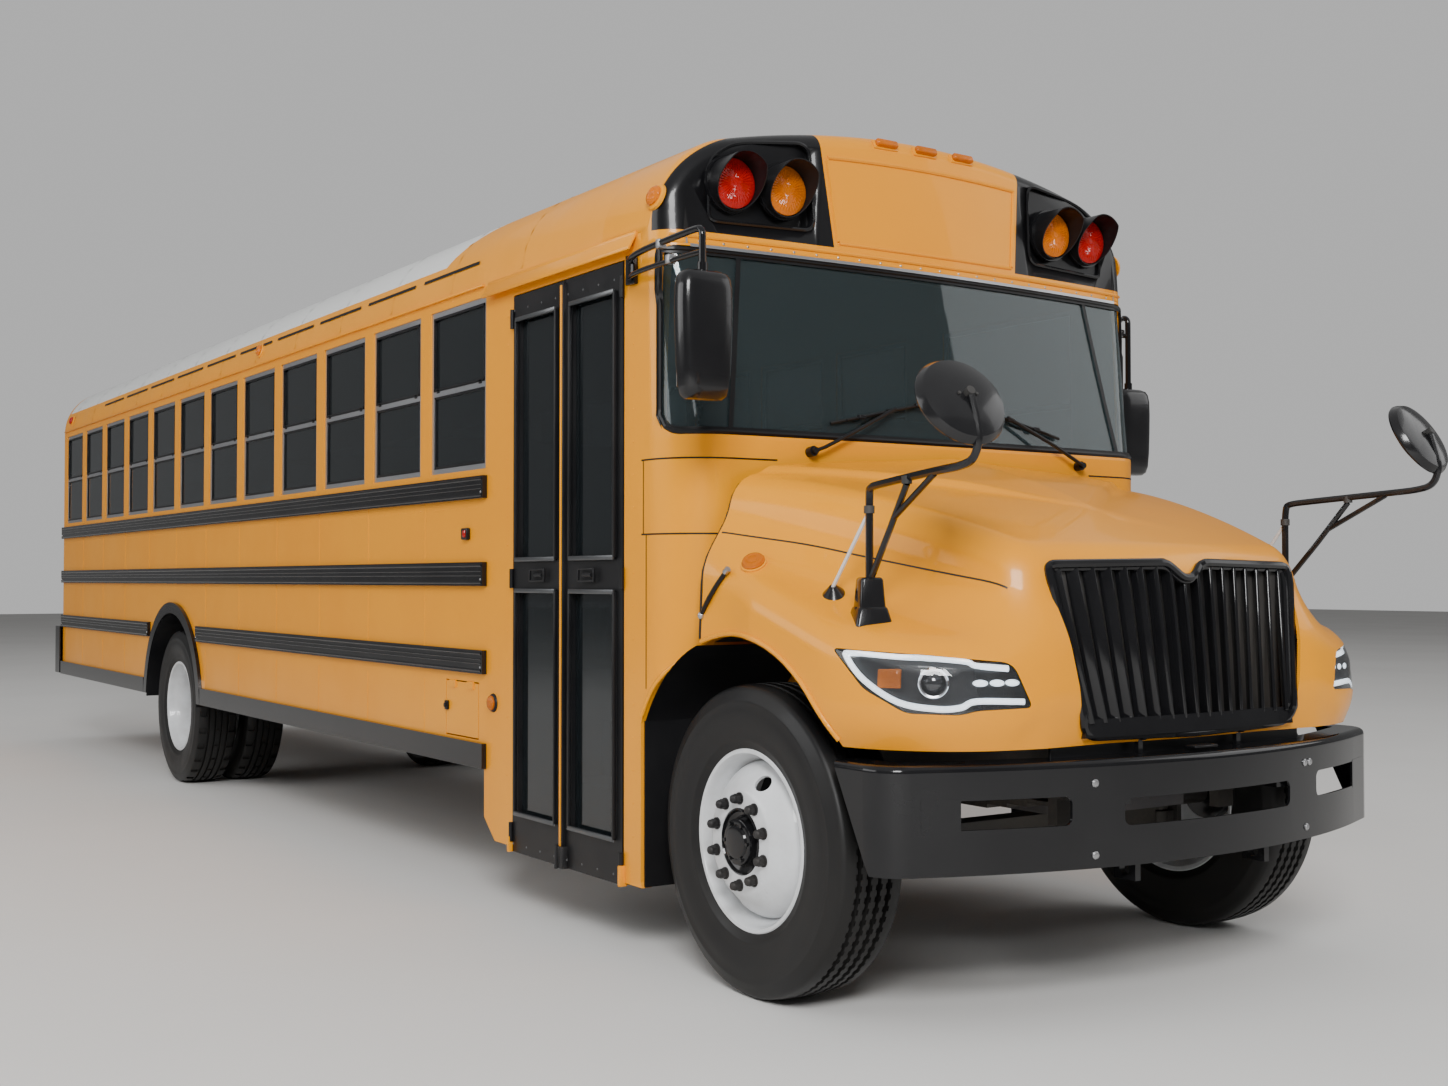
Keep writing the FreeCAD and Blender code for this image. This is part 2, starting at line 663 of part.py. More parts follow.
def rear_wheels(side):
    """Two deep rims bolted disc to disc on one hub: the outer disc is dished, turned as one."""
    half = d.rim_width / 2
    middle = -d.twin_pitch / 2
    inner = -d.twin_pitch
    barrel = d.rim_radius - 32
    bore = d.rear_spindle_radius + d.bearing_gap
    outer_rim = rim_outside(0, 1)
    inner_rim = rim_outside(inner, 1)
    notch = ((-half, d.rim_flange - 14), (-half - 4, barrel + 10), (middle + 8, 210),
             (middle - 8, 210), (inner + half + 4, barrel + 10), (inner + half, d.rim_flange - 14))
    inside = ((inner - half, d.rim_flange - 14), (inner - half + 12, barrel + 20),
              (inner - half + 62, barrel + 14), (inner - half + 78, barrel - 1),
              (inner + half - 20, barrel - 4), (middle - 20, 196), (middle - 20, 128),
              (inner - 90, 128), (inner - 90, bore), (-26, bore), (-26, 0), (26, 0), (26, 84),
              (4, 108), (middle + 34, 112), (middle + 20, 128), (middle + 20, 196),
              (-half + 20, barrel - 4), (half - 78, barrel - 1), (half - 62, barrel + 14),
              (half - 12, barrel + 20), (half, d.rim_flange - 14))
    wheel = turned("rear_wheels", outer_rim + list(notch) + inner_rim + list(inside))
    place(wheel, d.rear_tyre_x, at(d.wheelbase), d.axle_z)
    node("rear_%s_wheels" % side, mirrored(wheel) if side == "right" else wheel)


def tyre(x, y):
    ring = turned("tyre", tyre_ring())
    place(ring, x, at(y), d.axle_z)
    return ring


def tyres(side):
    """A single front tyre and a pair of rear ones."""
    front = tyre(d.front_tyre_x, 0)
    rear = fuse([tyre(d.rear_tyre_x, d.wheelbase), tyre(d.rear_tyre_x - d.twin_pitch, d.wheelbase)])
    node("front_%s_tyre" % side, mirrored(front) if side == "right" else front)
    node("rear_%s_tyres" % side, mirrored(rear) if side == "right" else rear)



# ---------------------------------------------------------------- body shell
def hoop(inset, base):
    """Corners of the body's cross-section in X and Z from a base height up, inset all round.

    The walls run straight up to roof_start; a tangent corner arc leads into the shallow top
    arc, which is drawn as one very large rounded corner at the middle.
    """
    half = float(d.body_half)
    crown = float(d.roof_crown)
    top_radius = float(d.roof_radius)
    start = float(d.roof_start)
    rise = start - (crown - top_radius)
    corner = (top_radius ** 2 - half ** 2 - rise ** 2) / (2 * (top_radius - half))
    centre_x = half - corner
    lean = math.atan2(centre_x, rise)
    outer = corner - inset
    middle_arc = Vector(math.sin((math.pi / 2 + lean) / 2), math.cos((math.pi / 2 + lean) / 2), 0)
    shoulder = Vector(centre_x + outer * math.sin(lean), start + outer * math.cos(lean), 0)
    middle = Vector(centre_x + outer * middle_arc.x, start + outer * middle_arc.y, 0)

    def lift(x, z, y):
        return Vector(x, y, z)

    def face(y):
        side = half - inset
        right = [lift(side, base, y), lift(side, start, y)]
        edges = [Part.makeLine(lift(-side, base, y), lift(side, base, y))]
        if start - base > 1e-6:
            edges.append(Part.makeLine(right[0], right[1]))
        edges.append(Part.Arc(right[1], lift(middle.x, middle.y, y),
                              lift(shoulder.x, shoulder.y, y)).toShape())
        edges.append(Part.Arc(lift(shoulder.x, shoulder.y, y), lift(0, crown - inset, y),
                              lift(-shoulder.x, shoulder.y, y)).toShape())
        edges.append(Part.Arc(lift(-shoulder.x, shoulder.y, y), lift(-middle.x, middle.y, y),
                              lift(-side, start, y)).toShape())
        if start - base > 1e-6:
            edges.append(Part.makeLine(lift(-side, start, y), lift(-side, base, y)))
        return Part.Face(Part.Wire(edges))
    return face


def hoop_prism(inset, base, front, rear):
    """The body's cross-section drawn out from y = front to y = rear."""
    return hoop(inset, base)(front).extrude(Vector(0, rear - front, 0))


def box_shape(x, y, z):
    """A plain box between numeric limits, for cutting coded shapes."""
    return Part.makeBox(x[1] - x[0], y[1] - y[0], z[1] - z[0], Vector(x[0], y[0], z[0]))


def rod_shape(radius, start, direction, length):
    return Part.makeCylinder(radius, length, Vector(*start), Vector(*direction))


def side_wall(side):
    """Wall panel with its windows, wheel arch and, on the curb side, the entry doorway."""
    rear = at(d.body_rear - d.rear_pan)
    front = at(d.body_front)
    foot = d.pillar_foot
    panel = at(d.step_panel_rear)
    sill = [(front, foot), (at(d.door_front), foot)]
    if side == "right":
        sill += [(at(d.door_front), d.door_head), (at(d.door_rear), d.door_head),
                 (at(d.door_rear), foot + 7), (panel - 105, foot + 7), (panel, foot + 97)]
    else:
        sill += [(at(d.door_front) + 120, foot + 120), (at(d.door_front) + 120, d.skirt_z)]
    if side == "right":
        sill += [(panel, d.skirt_z)]
    body = new_body(side + "_wall_panel")
    face_x = -d.body_half if side == "right" else d.body_half - d.wall
    outline = sketch_on(body, "YZ_Plane", face_x)
    polygon(outline, sill + [(rear, d.skirt_z), (rear, d.roof_start), (front, d.roof_start)])
    pad(body, outline, d.wall)
    arch = sketch_on(body, "YZ_Plane", face_x)
    circle(arch, at(d.wheelbase), d.axle_z, d.rear_arch_radius)
    pocket(body, arch, d.wall * 4)
    extra = sketch_on(body, "YZ_Plane", face_x)
    if side == "right":
        rectangle(extra, (at(d.hatch_door_front), at(d.hatch_door_rear)),
                  (d.hatch_door_low, d.hatch_door_high))
    else:
        rectangle(extra, (at(d.driver_window_front), at(d.driver_window_rear)),
                  (d.window_low - 110, d.window_high))
    pocket(body, extra, d.wall * 4)
    window = sketch_on(body, "YZ_Plane", face_x)
    rectangle(window, (at(d.window_first), at(d.window_first + d.window_width)),
              (d.window_low, d.window_high))
    opening = pocket(body, window, d.wall * 4)
    repeated(body, opening, window, "H_Axis", d.window_pitch, d.window_count)
    hinge = stop_arm_hinge() if side == "left" else []
    node(side + "_wall", fuse([body] + hinge) if hinge else body)


def frame_ring(body, face_x, y, z, rail):
    """Sketches and pads one sash frame: outer edge, two panes, and the rail between them."""
    sketch = sketch_on(body, "YZ_Plane", face_x)
    rectangle(sketch, y, z)
    rectangle(sketch, (y[0] + d.sash, y[1] - d.sash), (z[0] + d.sash, rail - d.sash / 2))
    rectangle(sketch, (y[0] + d.sash, y[1] - d.sash), (rail + d.sash / 2, z[1] - d.sash))
    return sketch, pad(body, sketch, d.sash_depth)


def window_spans():
    """Front and rear edge of the first passenger window, and of the driver's window."""
    first = at(d.window_first)
    return (first, first + d.window_width), (at(d.driver_window_front), at(d.driver_window_rear))


def window_frames():
    """Sash frames in every side window; each stands a little behind the outer skin."""
    inset = (d.wall - d.sash_depth) / 2
    first, driver = window_spans()
    right = new_body("right_sashes")
    sketch, ring = frame_ring(right, -d.body_half + inset, first,
                              (d.window_low, d.window_high), d.meeting_rail)
    repeated(right, ring, sketch, "H_Axis", d.window_pitch, d.window_count)
    cab = new_body("driver_sash")
    frame_ring(cab, d.body_half - d.wall + inset, driver,
               (d.window_low - 110, d.window_high), d.meeting_rail - 60)
    node("window_frames", fuse([right, mirrored(right), cab]))


def window_glass():
    """One pane behind each sash frame's rails, set between them edge to edge."""
    first, driver = window_spans()
    middle = d.body_half - d.wall / 2 - d.glass / 2

    def panes(body, face_x, y, z, rail):
        sketch = sketch_on(body, "YZ_Plane", face_x)
        rectangle(sketch, (y[0] + d.sash, y[1] - d.sash), (z[0] + d.sash, rail - d.sash / 2))
        rectangle(sketch, (y[0] + d.sash, y[1] - d.sash), (rail + d.sash / 2, z[1] - d.sash))
        return sketch, pad(body, sketch, d.glass)

    right = new_body("right_panes")
    sketch, pane = panes(right, -middle - d.glass, first, (d.window_low, d.window_high),
                         d.meeting_rail)
    repeated(right, pane, sketch, "H_Axis", d.window_pitch, d.window_count)
    cab = new_body("driver_panes")
    panes(cab, middle, driver, (d.window_low - 110, d.window_high), d.meeting_rail - 60)
    rear = []
    for pane in both_sides(block((d.exit_door_half + 110, d.body_half - 150),
                                 (at(d.body_rear) - d.wall / 2 - 3, at(d.body_rear) - d.wall / 2 + 3),
                                 (d.window_low, d.exit_door_high - 60))):
        rear.append(pane)
    node("window_glass", fuse([right, mirrored(right), cab] + rear))


def rub_rails():
    """Pressed rails along both walls and the flares round the rear wheel arches."""
    outer = d.body_half + d.flare_proud
    arch_front = at(d.wheelbase) - d.rear_arch_radius - d.flare
    arch_rear = at(d.wheelbase) + d.rear_arch_radius + d.flare
    rear = at(d.body_rear) - 95
    start = at(d.rail_start)
    pieces = []
    # columns: lower edge, upper edge, front end, rear end
    table = ((1736, 1834, start, rear), (1358, 1461, start, rear),
             (980, 1082, start, arch_front + 110), (980, 1082, arch_rear - 110, rear),
             (575, 683, start, arch_front - 2), (575, 683, arch_rear + 2, rear))
    for low, high, front, end in table:
        pieces.append(block((d.body_half, outer), (front, end), (low, high)))
    ring = cut(rod(d.rear_arch_radius + d.flare, d.flare_proud,
                   (d.body_half, at(d.wheelbase), d.axle_z), "X"),
               [rod(d.rear_arch_radius, d.flare_proud + 20,
                    (d.body_half - 10, at(d.wheelbase), d.axle_z), "X"),
                block((d.body_half - 10, outer + 10), (at(5500), at(8200)), (-500, d.skirt_z))])
    pieces.append(ring)
    node("rub_rails", fuse(both_sides(fuse(pieces))))


def roof():
    """Roof shell from the front cap to the rear wall, with two hatch openings."""
    front = row(d.cap_rear)
    rear = row(d.body_rear - d.rear_pan)
    base = float(d.roof_start)
    shell = hoop_prism(0, base, front, rear)
    hollow = hoop_prism(float(d.wall), base, front - 1, rear + 1)
    shell = shell.cut(hollow)
    half = float(d.hatch_half) - 20
    for middle in (d.hatch_first, d.hatch_second):
        y = row(middle)
        shell = shell.cut(box_shape((-half, half), (y - half, y + half), (base + 200, 4000)))
    node("roof", shaped(shell, "roof"))


def roof_hatches():
    """Emergency hatch lids; each has a flat top and a rim that closes over the opening."""
    crown = float(d.roof_crown)
    top = crown + float(d.hatch_height)
    for name, middle in (("front", d.hatch_first), ("rear", d.hatch_second)):
        half = float(d.hatch_half)
        y = row(middle)
        lid = box_shape((-half, half), (y - half, y + half), (crown - 60, top))
        lid = lid.makeFillet(18, [e for e in lid.Edges if e.BoundBox.ZMin > top - 1])
        under = hoop_prism(-6, float(d.roof_start), y - half - 5, y + half + 5)
        lid = lid.cut(under)
        for x in (-200, 140):
            lid = lid.fuse(rod_shape(6, (x, y - half - 2, crown + 22), (1, 0, 0), 60))
        node("roof_hatch_" + name, shaped(lid, "lid"))


def rear_wall():
    """Rear panel with a rounded rim, the emergency doorway, two windows and plate holes."""
    rear = row(d.body_rear)
    front = row(d.body_rear - d.rear_pan)
    skirt = float(d.skirt_z)
    pan = hoop_prism(0, skirt, front, rear)
    outline = [e for e in pan.Edges if e.BoundBox.YMin > rear - 1 and e.BoundBox.ZMax > skirt + 1]
    pan = pan.makeFillet(float(d.rear_round), outline)
    wall = float(d.wall)
    hollow = hoop_prism(wall, skirt - 400, front - 1, rear - wall)
    pan = pan.cut(hollow)
    half = float(d.exit_door_half)
    pan = pan.cut(box_shape((-half, half), (rear - 200, rear + 10),
                            (float(d.exit_door_low), float(d.exit_door_high))))
    # notch for the bumper's brackets and hole for the tail pipe
    pan = pan.cut(box_shape((-half, half), (rear - 200, rear + 10),
                            (skirt - 1, float(d.rail_top) - 40)))
    hole = (float(d.pipe_x), rear - 200, float(d.pipe_z))
    pan = pan.cut(rod_shape(float(d.pipe_radius) + 12, hole, (0, 1, 0), 300))
    side = half + 110
    for x in ((side, float(d.body_half) - 150), (-float(d.body_half) + 150, -side)):
        pan = pan.cut(box_shape(x, (rear - 200, rear + 10),
                                (float(d.window_low), float(d.exit_door_high) - 60)))
    # four holes for the number plate, to the left of the door
    for x in (-1, 1):
        for z in (-1, 1):
            hole = (float(d.plate_x) + x * float(d.plate_wide) / 2, rear - 200,
                    float(d.plate_z) + z * float(d.plate_tall) / 2)
            pan = pan.cut(rod_shape(3.5, hole, (0, 1, 0), 300))
    node("rear_wall", shaped(pan, "rear_wall"))


def emergency_door():
    """Rear door leaf with its handle plate and one large pane, hinged on the curb side."""
    gap = d.door_gap
    half = d.exit_door_half - gap
    y = at(d.body_rear)
    leaf = block((-half, half), (y - d.wall, y - 2), (d.exit_door_low + gap, d.exit_door_high - gap))
    upper = ((-half + 90, half - 90), (d.window_low, d.exit_door_high - 110))
    lower = ((-half + 90, half - 90), (d.exit_door_low + 100, d.window_low - 420))
    openings = []
    panes = []
    for x, z in (upper, lower):
        openings.append(block(x, (y - d.wall - 5, y + 5), z))
        panes.append(block(x, (y - d.wall / 2 - d.glass / 2, y - d.wall / 2 + d.glass / 2), z))
    handle = block((half - 190, half - 60), (y - 3, y + 30), (1530, 1560))
    pieces = [cut(leaf, openings), handle]
    for z in (d.exit_door_low + 150, d.window_low - 150, d.exit_door_high - 230):
        pieces += barrels(5, 80, [(-half - 3, y + 5, z)], "Z")
        pieces.append(block((-half - 3, -half + 50), (y - 4, y + 9), (z, z + 80)))
    node("emergency_door", fuse(pieces))
    node("emergency_door_glass", fuse(panes))


def barrels(radius, length, starts, along):
    """Round hinge knuckles on one axis."""
    return [rod(radius, length, start, along) for start in starts]


def entry_leaf(name, front, rear, hinge_y):
    """One door leaf: black frame with a tall upper and a lower pane, and its hinge knuckles."""
    outer = -d.body_half - 4
    inner = outer + d.leaf_thick
    body = new_body(name + "_frame")
    sketch = sketch_on(body, "YZ_Plane", outer)
    rectangle(sketch, (front, rear), (d.door_sill, d.door_head - d.door_gap))
    spans = ((d.leaf_glass_low, d.leaf_rail_low), (d.leaf_rail_high, d.leaf_glass_high))
    for span in spans:
        rectangle(sketch, (front + d.leaf_stile, rear - d.leaf_stile), span)
    pad(body, sketch, d.leaf_thick)
    panes = new_body(name + "_glass")
    glass = sketch_on(panes, "YZ_Plane", (outer + inner) / 2 - d.glass / 2)
    for span in spans:
        rectangle(glass, (front + d.leaf_stile, rear - d.leaf_stile), span)
    pad(panes, glass, d.glass)
    heights = (d.door_sill + 40, d.leaf_rail_low + 10, d.door_head - 140)
    knuckles = barrels(9, 80, [(-d.body_half - 10, hinge_y, z) for z in heights], "Z")
    node(name, fuse([body] + knuckles))
    node(name + "_glass", panes)


def entry_door():
    """Two leaves that part in the middle and swing outwards on their outer edges."""
    middle = (at(d.door_front) + at(d.door_rear)) / 2
    half_gap = d.door_gap / 2
    entry_leaf("door_front_leaf", at(d.door_front) + d.door_gap, middle - half_gap,
               at(d.door_front) + half_gap)
    entry_leaf("door_rear_leaf", middle + half_gap, at(d.door_rear) - d.door_gap,
               at(d.door_rear) - half_gap)


def access_door():
    """Small flap in the curb side wall, hinged along its upper edge."""
    gap = d.door_gap
    flap = block((-d.body_half, -d.body_half + 18),
                 (at(d.hatch_door_front) + gap, at(d.hatch_door_rear) - gap),
                 (d.hatch_door_low + gap, d.hatch_door_high - gap))
    axis_x = -d.body_half - 3
    axis_z = d.hatch_door_high - gap / 2
    pieces = [flap]
    for y in (at(d.hatch_door_front) + 50, at(d.hatch_door_rear) - 110):
        pieces += barrels(4, 60, [(axis_x, y, axis_z)], "Y")
        pieces.append(block((axis_x - 4, axis_x + 6), (y, y + 60), (axis_z - 30, axis_z)))
    node("access_door", fuse(pieces))


def floor():
    """Floor slab with the stairwell cut out and a housing over each pair of rear tyres."""
    half = float(d.body_half - d.wall)
    top = float(d.floor_top)
    low = float(d.rail_top)
    slab = box_shape((-half, half), (row(d.body_front), row(d.body_rear - d.wall)), (low, top))
    radius = float(d.rear_arch_radius)
    axle = (row(d.wheelbase), float(d.axle_z))
    inner_x = float(d.rear_tyre_x - d.twin_pitch - d.tyre_width / 2) - 45
    skin = 10
    for side in (1, -1):
        start = inner_x if side > 0 else -half
        house = rod_shape(radius + skin, (start, axle[0], axle[1]), (1, 0, 0), half - inner_x)
        house = house.cut(box_shape((-2000, 2000), (-9000, 9000), (-1000, top)))
        slab = slab.fuse(house)
        start = inner_x + skin if side > 0 else -half - skin
        hole = rod_shape(radius, (start, axle[0], axle[1]), (1, 0, 0), half - inner_x)
        slab = slab.cut(hole)
    well = box_shape((-half - 1, -float(d.stair_inner)),
                     (row(d.door_front) - 25, row(d.door_rear) + 25), (low - 1, top + 1))
    node("floor", shaped(slab.cut(well).removeSplitter(), "floor"))


def entry_steps():
    """Stairwell: two end plates, and treads with risers up to the floor."""
    inner = -d.stair_inner
    plate = 12
    outer = -(d.body_half - d.wall) + 2 + plate
    front = at(d.door_front) - 25
    rear = at(d.door_rear) + 25
    pieces = []
    for y in (front, rear - plate):
        pieces.append(block((outer - plate, inner), (y, y + plate),
                            (d.pillar_foot + 27, d.floor_top)))
    rise = (d.floor_top - d.pillar_foot - 27) / 3
    run = (inner - outer) / 3
    for step in range(3):
        z = d.pillar_foot + 27 + rise * step
        riser = outer + run * (step + 1)
        pieces.append(block((riser - run - plate, riser), (front, rear), (z, z + plate)))
        pieces.append(block((riser - plate, riser), (front, rear), (z, z + rise)))
    node("entry_steps", fuse(pieces))


# ---------------------------------------------------------------- front shell of the cab
def shell_plan(front, bow, corner, inset=0.0):
    """Outline in X and Y of the cab's front: a shallow bow between two rounded corners."""
    half = float(d.body_half)
    reach = half - corner
    slope = reach / bow
    apex = front - slope * reach / 2
    side = apex + slope * half
    rear = row(d.cap_rear) + 200
    corners = ((-half, side, corner), (0, apex, bow), (half, side, corner), (half, rear, 0),
               (-half, rear, 0))
    return inset_corners(corners, inset)


def plan_loft(low_corners, low, high_corners, high):
    """Solid between two outlines of like corners at two heights, with straight rules."""
    wires = []
    for corners, z in ((low_corners, low), (high_corners, high)):
        wires.append(rounded_face(corners, lambda u, v, z=z: Vector(u, v, z)).OuterWire)
    return Part.makeLoft(wires, True, True)


def sill_front():
    return row(d.shell_front - d.shell_rake)


def glass_band(inset):
    """The cab's front between windshield sill and cap, at a depth below the outer face."""
    low = shell_plan(sill_front(), float(d.sill_bow), float(d.sill_corner), inset)
    high = shell_plan(row(d.shell_front), float(d.cap_bow), float(d.cap_corner), inset)
    return plan_loft(low, float(d.glass_sill), high, float(d.glass_head))


def glass_opening(margin):
    """Side view of the windshield opening, which wraps round both corners."""
    rear = row(d.glass_rear) - margin
    low = float(d.glass_sill) + 12 + margin
    high = float(d.glass_head) - 8 - margin
    corners = ((rear - 900, low, 0), (rear, low, 90), (rear, high, 40), (rear - 900, high, 0))
    return side_prism(corners, -2000, 2000)


def arch_rod(margin, reach=4000):
    """Round space over the front wheels, from one side to the other."""
    start = (-reach / 2, row(d.arch_y), float(d.arch_z))
    return rod_shape(float(d.arch_radius) + margin, start, (1, 0, 0), reach)


def cowl():
    """Front moulding under and beside the glass, with the toe board behind the wheels."""
    sill = float(d.glass_sill)
    foot = float(d.pillar_foot)
    wall = float(d.wall)
    rear = row(d.body_front)
    low_plan = rounded_face(shell_plan(sill_front(), float(d.sill_bow), float(d.sill_corner)),
                            lambda u, v: Vector(u, v, foot))
    outer = low_plan.extrude(Vector(0, 0, sill - foot)).fuse(glass_band(0)).removeSplitter()
    inner_plan = rounded_face(shell_plan(sill_front(), float(d.sill_bow), float(d.sill_corner), wall),
                              lambda u, v: Vector(u, v, foot - 1))
    inner = inner_plan.extrude(Vector(0, 0, sill - foot + 1)).fuse(glass_band(wall))
    under = box_shape((-2000, 2000), (-9000, 9000), (foot - 10, float(d.rail_top)))
    room = inner.cut(arch_rod(wall)).cut(under)
    half = float(d.body_half) - wall
    below = box_shape((-half, half), (-9000, 9000), (foot - 10, float(d.rail_top)))
    shell = outer.cut(arch_rod(0)).cut(room).cut(below).cut(glass_opening(0))
    shell = shell.cut(box_shape((-2000, 2000), (rear, 9000), (0, 4000)))
    node("cowl", shaped(shell, "cowl"))


def windshield():
    """One bent pane that wraps round both corners."""
    pane = glass_band(10).cut(glass_band(18)).common(glass_opening(2))
    node("windshield", shaped(pane, "windshield"))


def cap_solid(inset):
    """Moulded front cap: the body's cross-section trimmed by a bowed, slightly raked face."""
    base = float(d.glass_head)
    top = float(d.roof_crown) + 10
    plan = shell_plan(row(d.shell_front) + 0.07 * (top - base), float(d.cap_bow),
                      float(d.cap_corner), inset)
    front = plan_prism(plan, base, top, 0.07)
    return hoop_prism(inset, base, row(0), row(d.cap_rear)).common(front)


def front_cap():
    """Hollow cap over the windshield that carries the warning lamps."""
    solid = cap_solid(0)
    middle = row(d.body_front)
    edges = [e for e in solid.Edges if e.BoundBox.YMax < middle
             and e.BoundBox.ZMin > float(d.roof_start) - 1 and e.Length > 60]
    solid = solid.makeFillet(float(d.cap_round), edges)
    wall = float(d.wall)
    base = float(d.glass_head)
    # outline of the cavity behind the face, seen from above at the level of the roof's crown
    side = float(d.body_half) - wall - 20
    face = row(d.shell_front)
    plan = ((-side, middle + 100, 0), (-side, face + 204, 0), (-side + 140, face + 157, 0),
            (0, face + 97, 0), (side - 140, face + 157, 0), (side, face + 204, 0),
            (side, middle + 100, 0))
    room = hoop_prism(wall + 20, base + wall, row(0), middle).common(
        plan_prism(plan, base, float(d.roof_crown) + 10, 0.07))
    rear = row(d.cap_rear) + 1
    tail = hoop_prism(wall, float(d.roof_start), middle, rear)
    below = box_shape((-2000, 2000), (middle, rear), (base - 1, float(d.roof_start)))
    solid = solid.cut(room.fuse(tail).fuse(below).removeSplitter())
    node("front_cap", shaped(solid, "front_cap"))


def warning_lamps():
    """Four round lamps at the front and four at the rear, each set in a short tube."""
    rear = row(d.body_rear)
    radius = float(d.lamp_radius)
    lamps = []
    for x in (d.lamp_outer_x, d.lamp_inner_x):
        for side in (1, -1):
            start = (side * float(x), row(d.shell_front) - 30, float(d.lamp_z))
            lamps.append(rod_shape(radius, start, (0, 1, 0), 200).cut(cap_solid(0)))
            start = (side * float(x), rear, float(d.lamp_z) - 20)
            lamps.append(rod_shape(radius, start, (0, 1, 0), 45))
    node("warning_lamps", shaped(Part.makeCompound(lamps), "warning_lamps"))


# ---------------------------------------------------------------- hood
def hood_face(z):
    """Y of the hood's front face on the centre line at a height."""
    lean = (d.hood_face_top - d.hood_face_low) / (d.hood_top_front - d.hood_low)
    return row(d.hood_face_low) + float(lean) * (z - float(d.hood_low)), float(lean)


def hood_sections(table, inset):
    """Smooth solid through cross-sections; columns: Y, half width, top, corner radius."""
    wires = []
    for y, half, top, radius in table:
        corners = ((-half, 500, 0), (half, 500, 0), (half, top, radius), (-half, top, radius))
        face = rounded_face(inset_corners(corners, inset), lambda u, v, y=y: Vector(u, y, v))
        wires.append(face.OuterWire)
    return Part.makeLoft(wires, True, False)


def between(y, first, last):
    """Straight line through (y, value) pairs first and last, read at y."""
    return first[1] + (y - first[0]) * (last[1] - first[1]) / (last[0] - first[0])


def nose_solid(inset):
    """Raised middle of the hood: narrows and falls towards the grille."""
    rear = row(d.hood_rear)
    front = row(d.hood_face_top)
    crown_y = row(d.hood_crown_y)
    table = []
    for y in (rear + 150, crown_y, front - 250):
        half = between(y, (rear, float(d.nose_half_rear)), (front, float(d.nose_half_front)))
        if y > crown_y - 1:
            top = between(y, (rear, float(d.hood_top_rear)), (crown_y, float(d.hood_crown_z)))
        else:
            top = between(y, (crown_y, float(d.hood_crown_z)), (front, float(d.hood_top_front)))
        radius = between(y, (rear, 190), (front, 120))
        table.append((y, half, top, radius))
    solid = hood_sections(table, inset)
    high = 2000.0
    face_high, lean = hood_face(high)
    half = float(d.nose_half_front) + 60
    slope = half / 4000
    plan = ((-half - 900, rear + 200, 0), (-half, face_high + 60, 130), (0, face_high - 4, 4000),
            (half, face_high + 60, 130), (half + 900, rear + 200, 0))
    solid = solid.common(plan_prism(inset_corners(plan, inset), 600, high, lean))
    low_y = hood_face(500)[0] - 3
    top_y, top_z = hood_face(float(d.hood_top_front))[0] - 3, float(d.hood_top_front) + 4
    rise = between(rear + 200, (front, top_z), (rear, float(d.hood_top_rear) + 60))
    side = ((low_y, 500, 0), (rear + 200, 500, 0), (rear + 200, rise, 0), (top_y, top_z, 110))
    return solid.common(side_prism(inset_corners(side, inset), -1500, 1500))


def fender_plan(inset):
    """The hood's outline seen from above, leaning back with its front face."""
    half = float(d.fender_half)
    rear = row(d.hood_rear) + 200
    high = 1700.0
    face_high, lean = hood_face(high)
    plan = ((-half + 45, rear, 0), (-half, row(0), 400),
            (-half, face_high + 40, float(d.fender_round)), (0, face_high - 1, 9000),
            (half, face_high + 40, float(d.fender_round)), (half, row(0), 400),
            (half - 45, rear, 0))
    return plan_prism(inset_corners(plan, inset), 600, high, lean)


def fender_solid(inset):
    """Lower, wider part over both wheels, with large rounded front corners."""
    rear = row(d.hood_rear)
    front = row(d.hood_face_top)
    half = float(d.fender_half)
    table = []
    for y in (rear + 150, front - 250):
        top = between(y, (rear, float(d.fender_top_rear)), (front, float(d.fender_top_front)))
        table.append((y, half, top, 270))
    solid = hood_sections(table, inset)
    solid = solid.common(fender_plan(inset))
    low_y = hood_face(500)[0] - 2
    top_z = float(d.fender_top_front) + 10
    top_y = hood_face(top_z)[0] - 2
    rise = between(rear + 200, (front, top_z), (rear, float(d.fender_top_rear) + 10))
    side = ((low_y, 500, 0), (rear + 200, 500, 0), (rear + 200, rise, 0), (top_y, top_z, 260))
    return solid.common(side_prism(inset_corners(side, inset), -1500, 1500))


def grille_corners():
    """Front view of the grille opening: wider at the top, with a notch in the middle."""
    top = float(d.grille_top)
    wide = float(d.grille_top_half)
    low = float(d.grille_low_half)
    notch = top - 45
    return ((-low, float(d.grille_foot), 45), (low, float(d.grille_foot), 45), (wide, top, 45),
            (90, top, 25), (35, notch, 20), (-35, notch, 20), (-90, top, 25), (-wide, top, 45))


def headlamp_corners(side):
    """Front view of a headlamp, swept up to its outer tip."""
    corners = [(766, 998, 24), (860, 968, 30), (1010, 1008, 60), (1150, 1188, 12), (1000, 1168, 60),
               (792, 1136, 25)]
    if side < 0:
        corners = [(-x, z, r) for x, z, r in corners][::-1]
    return corners


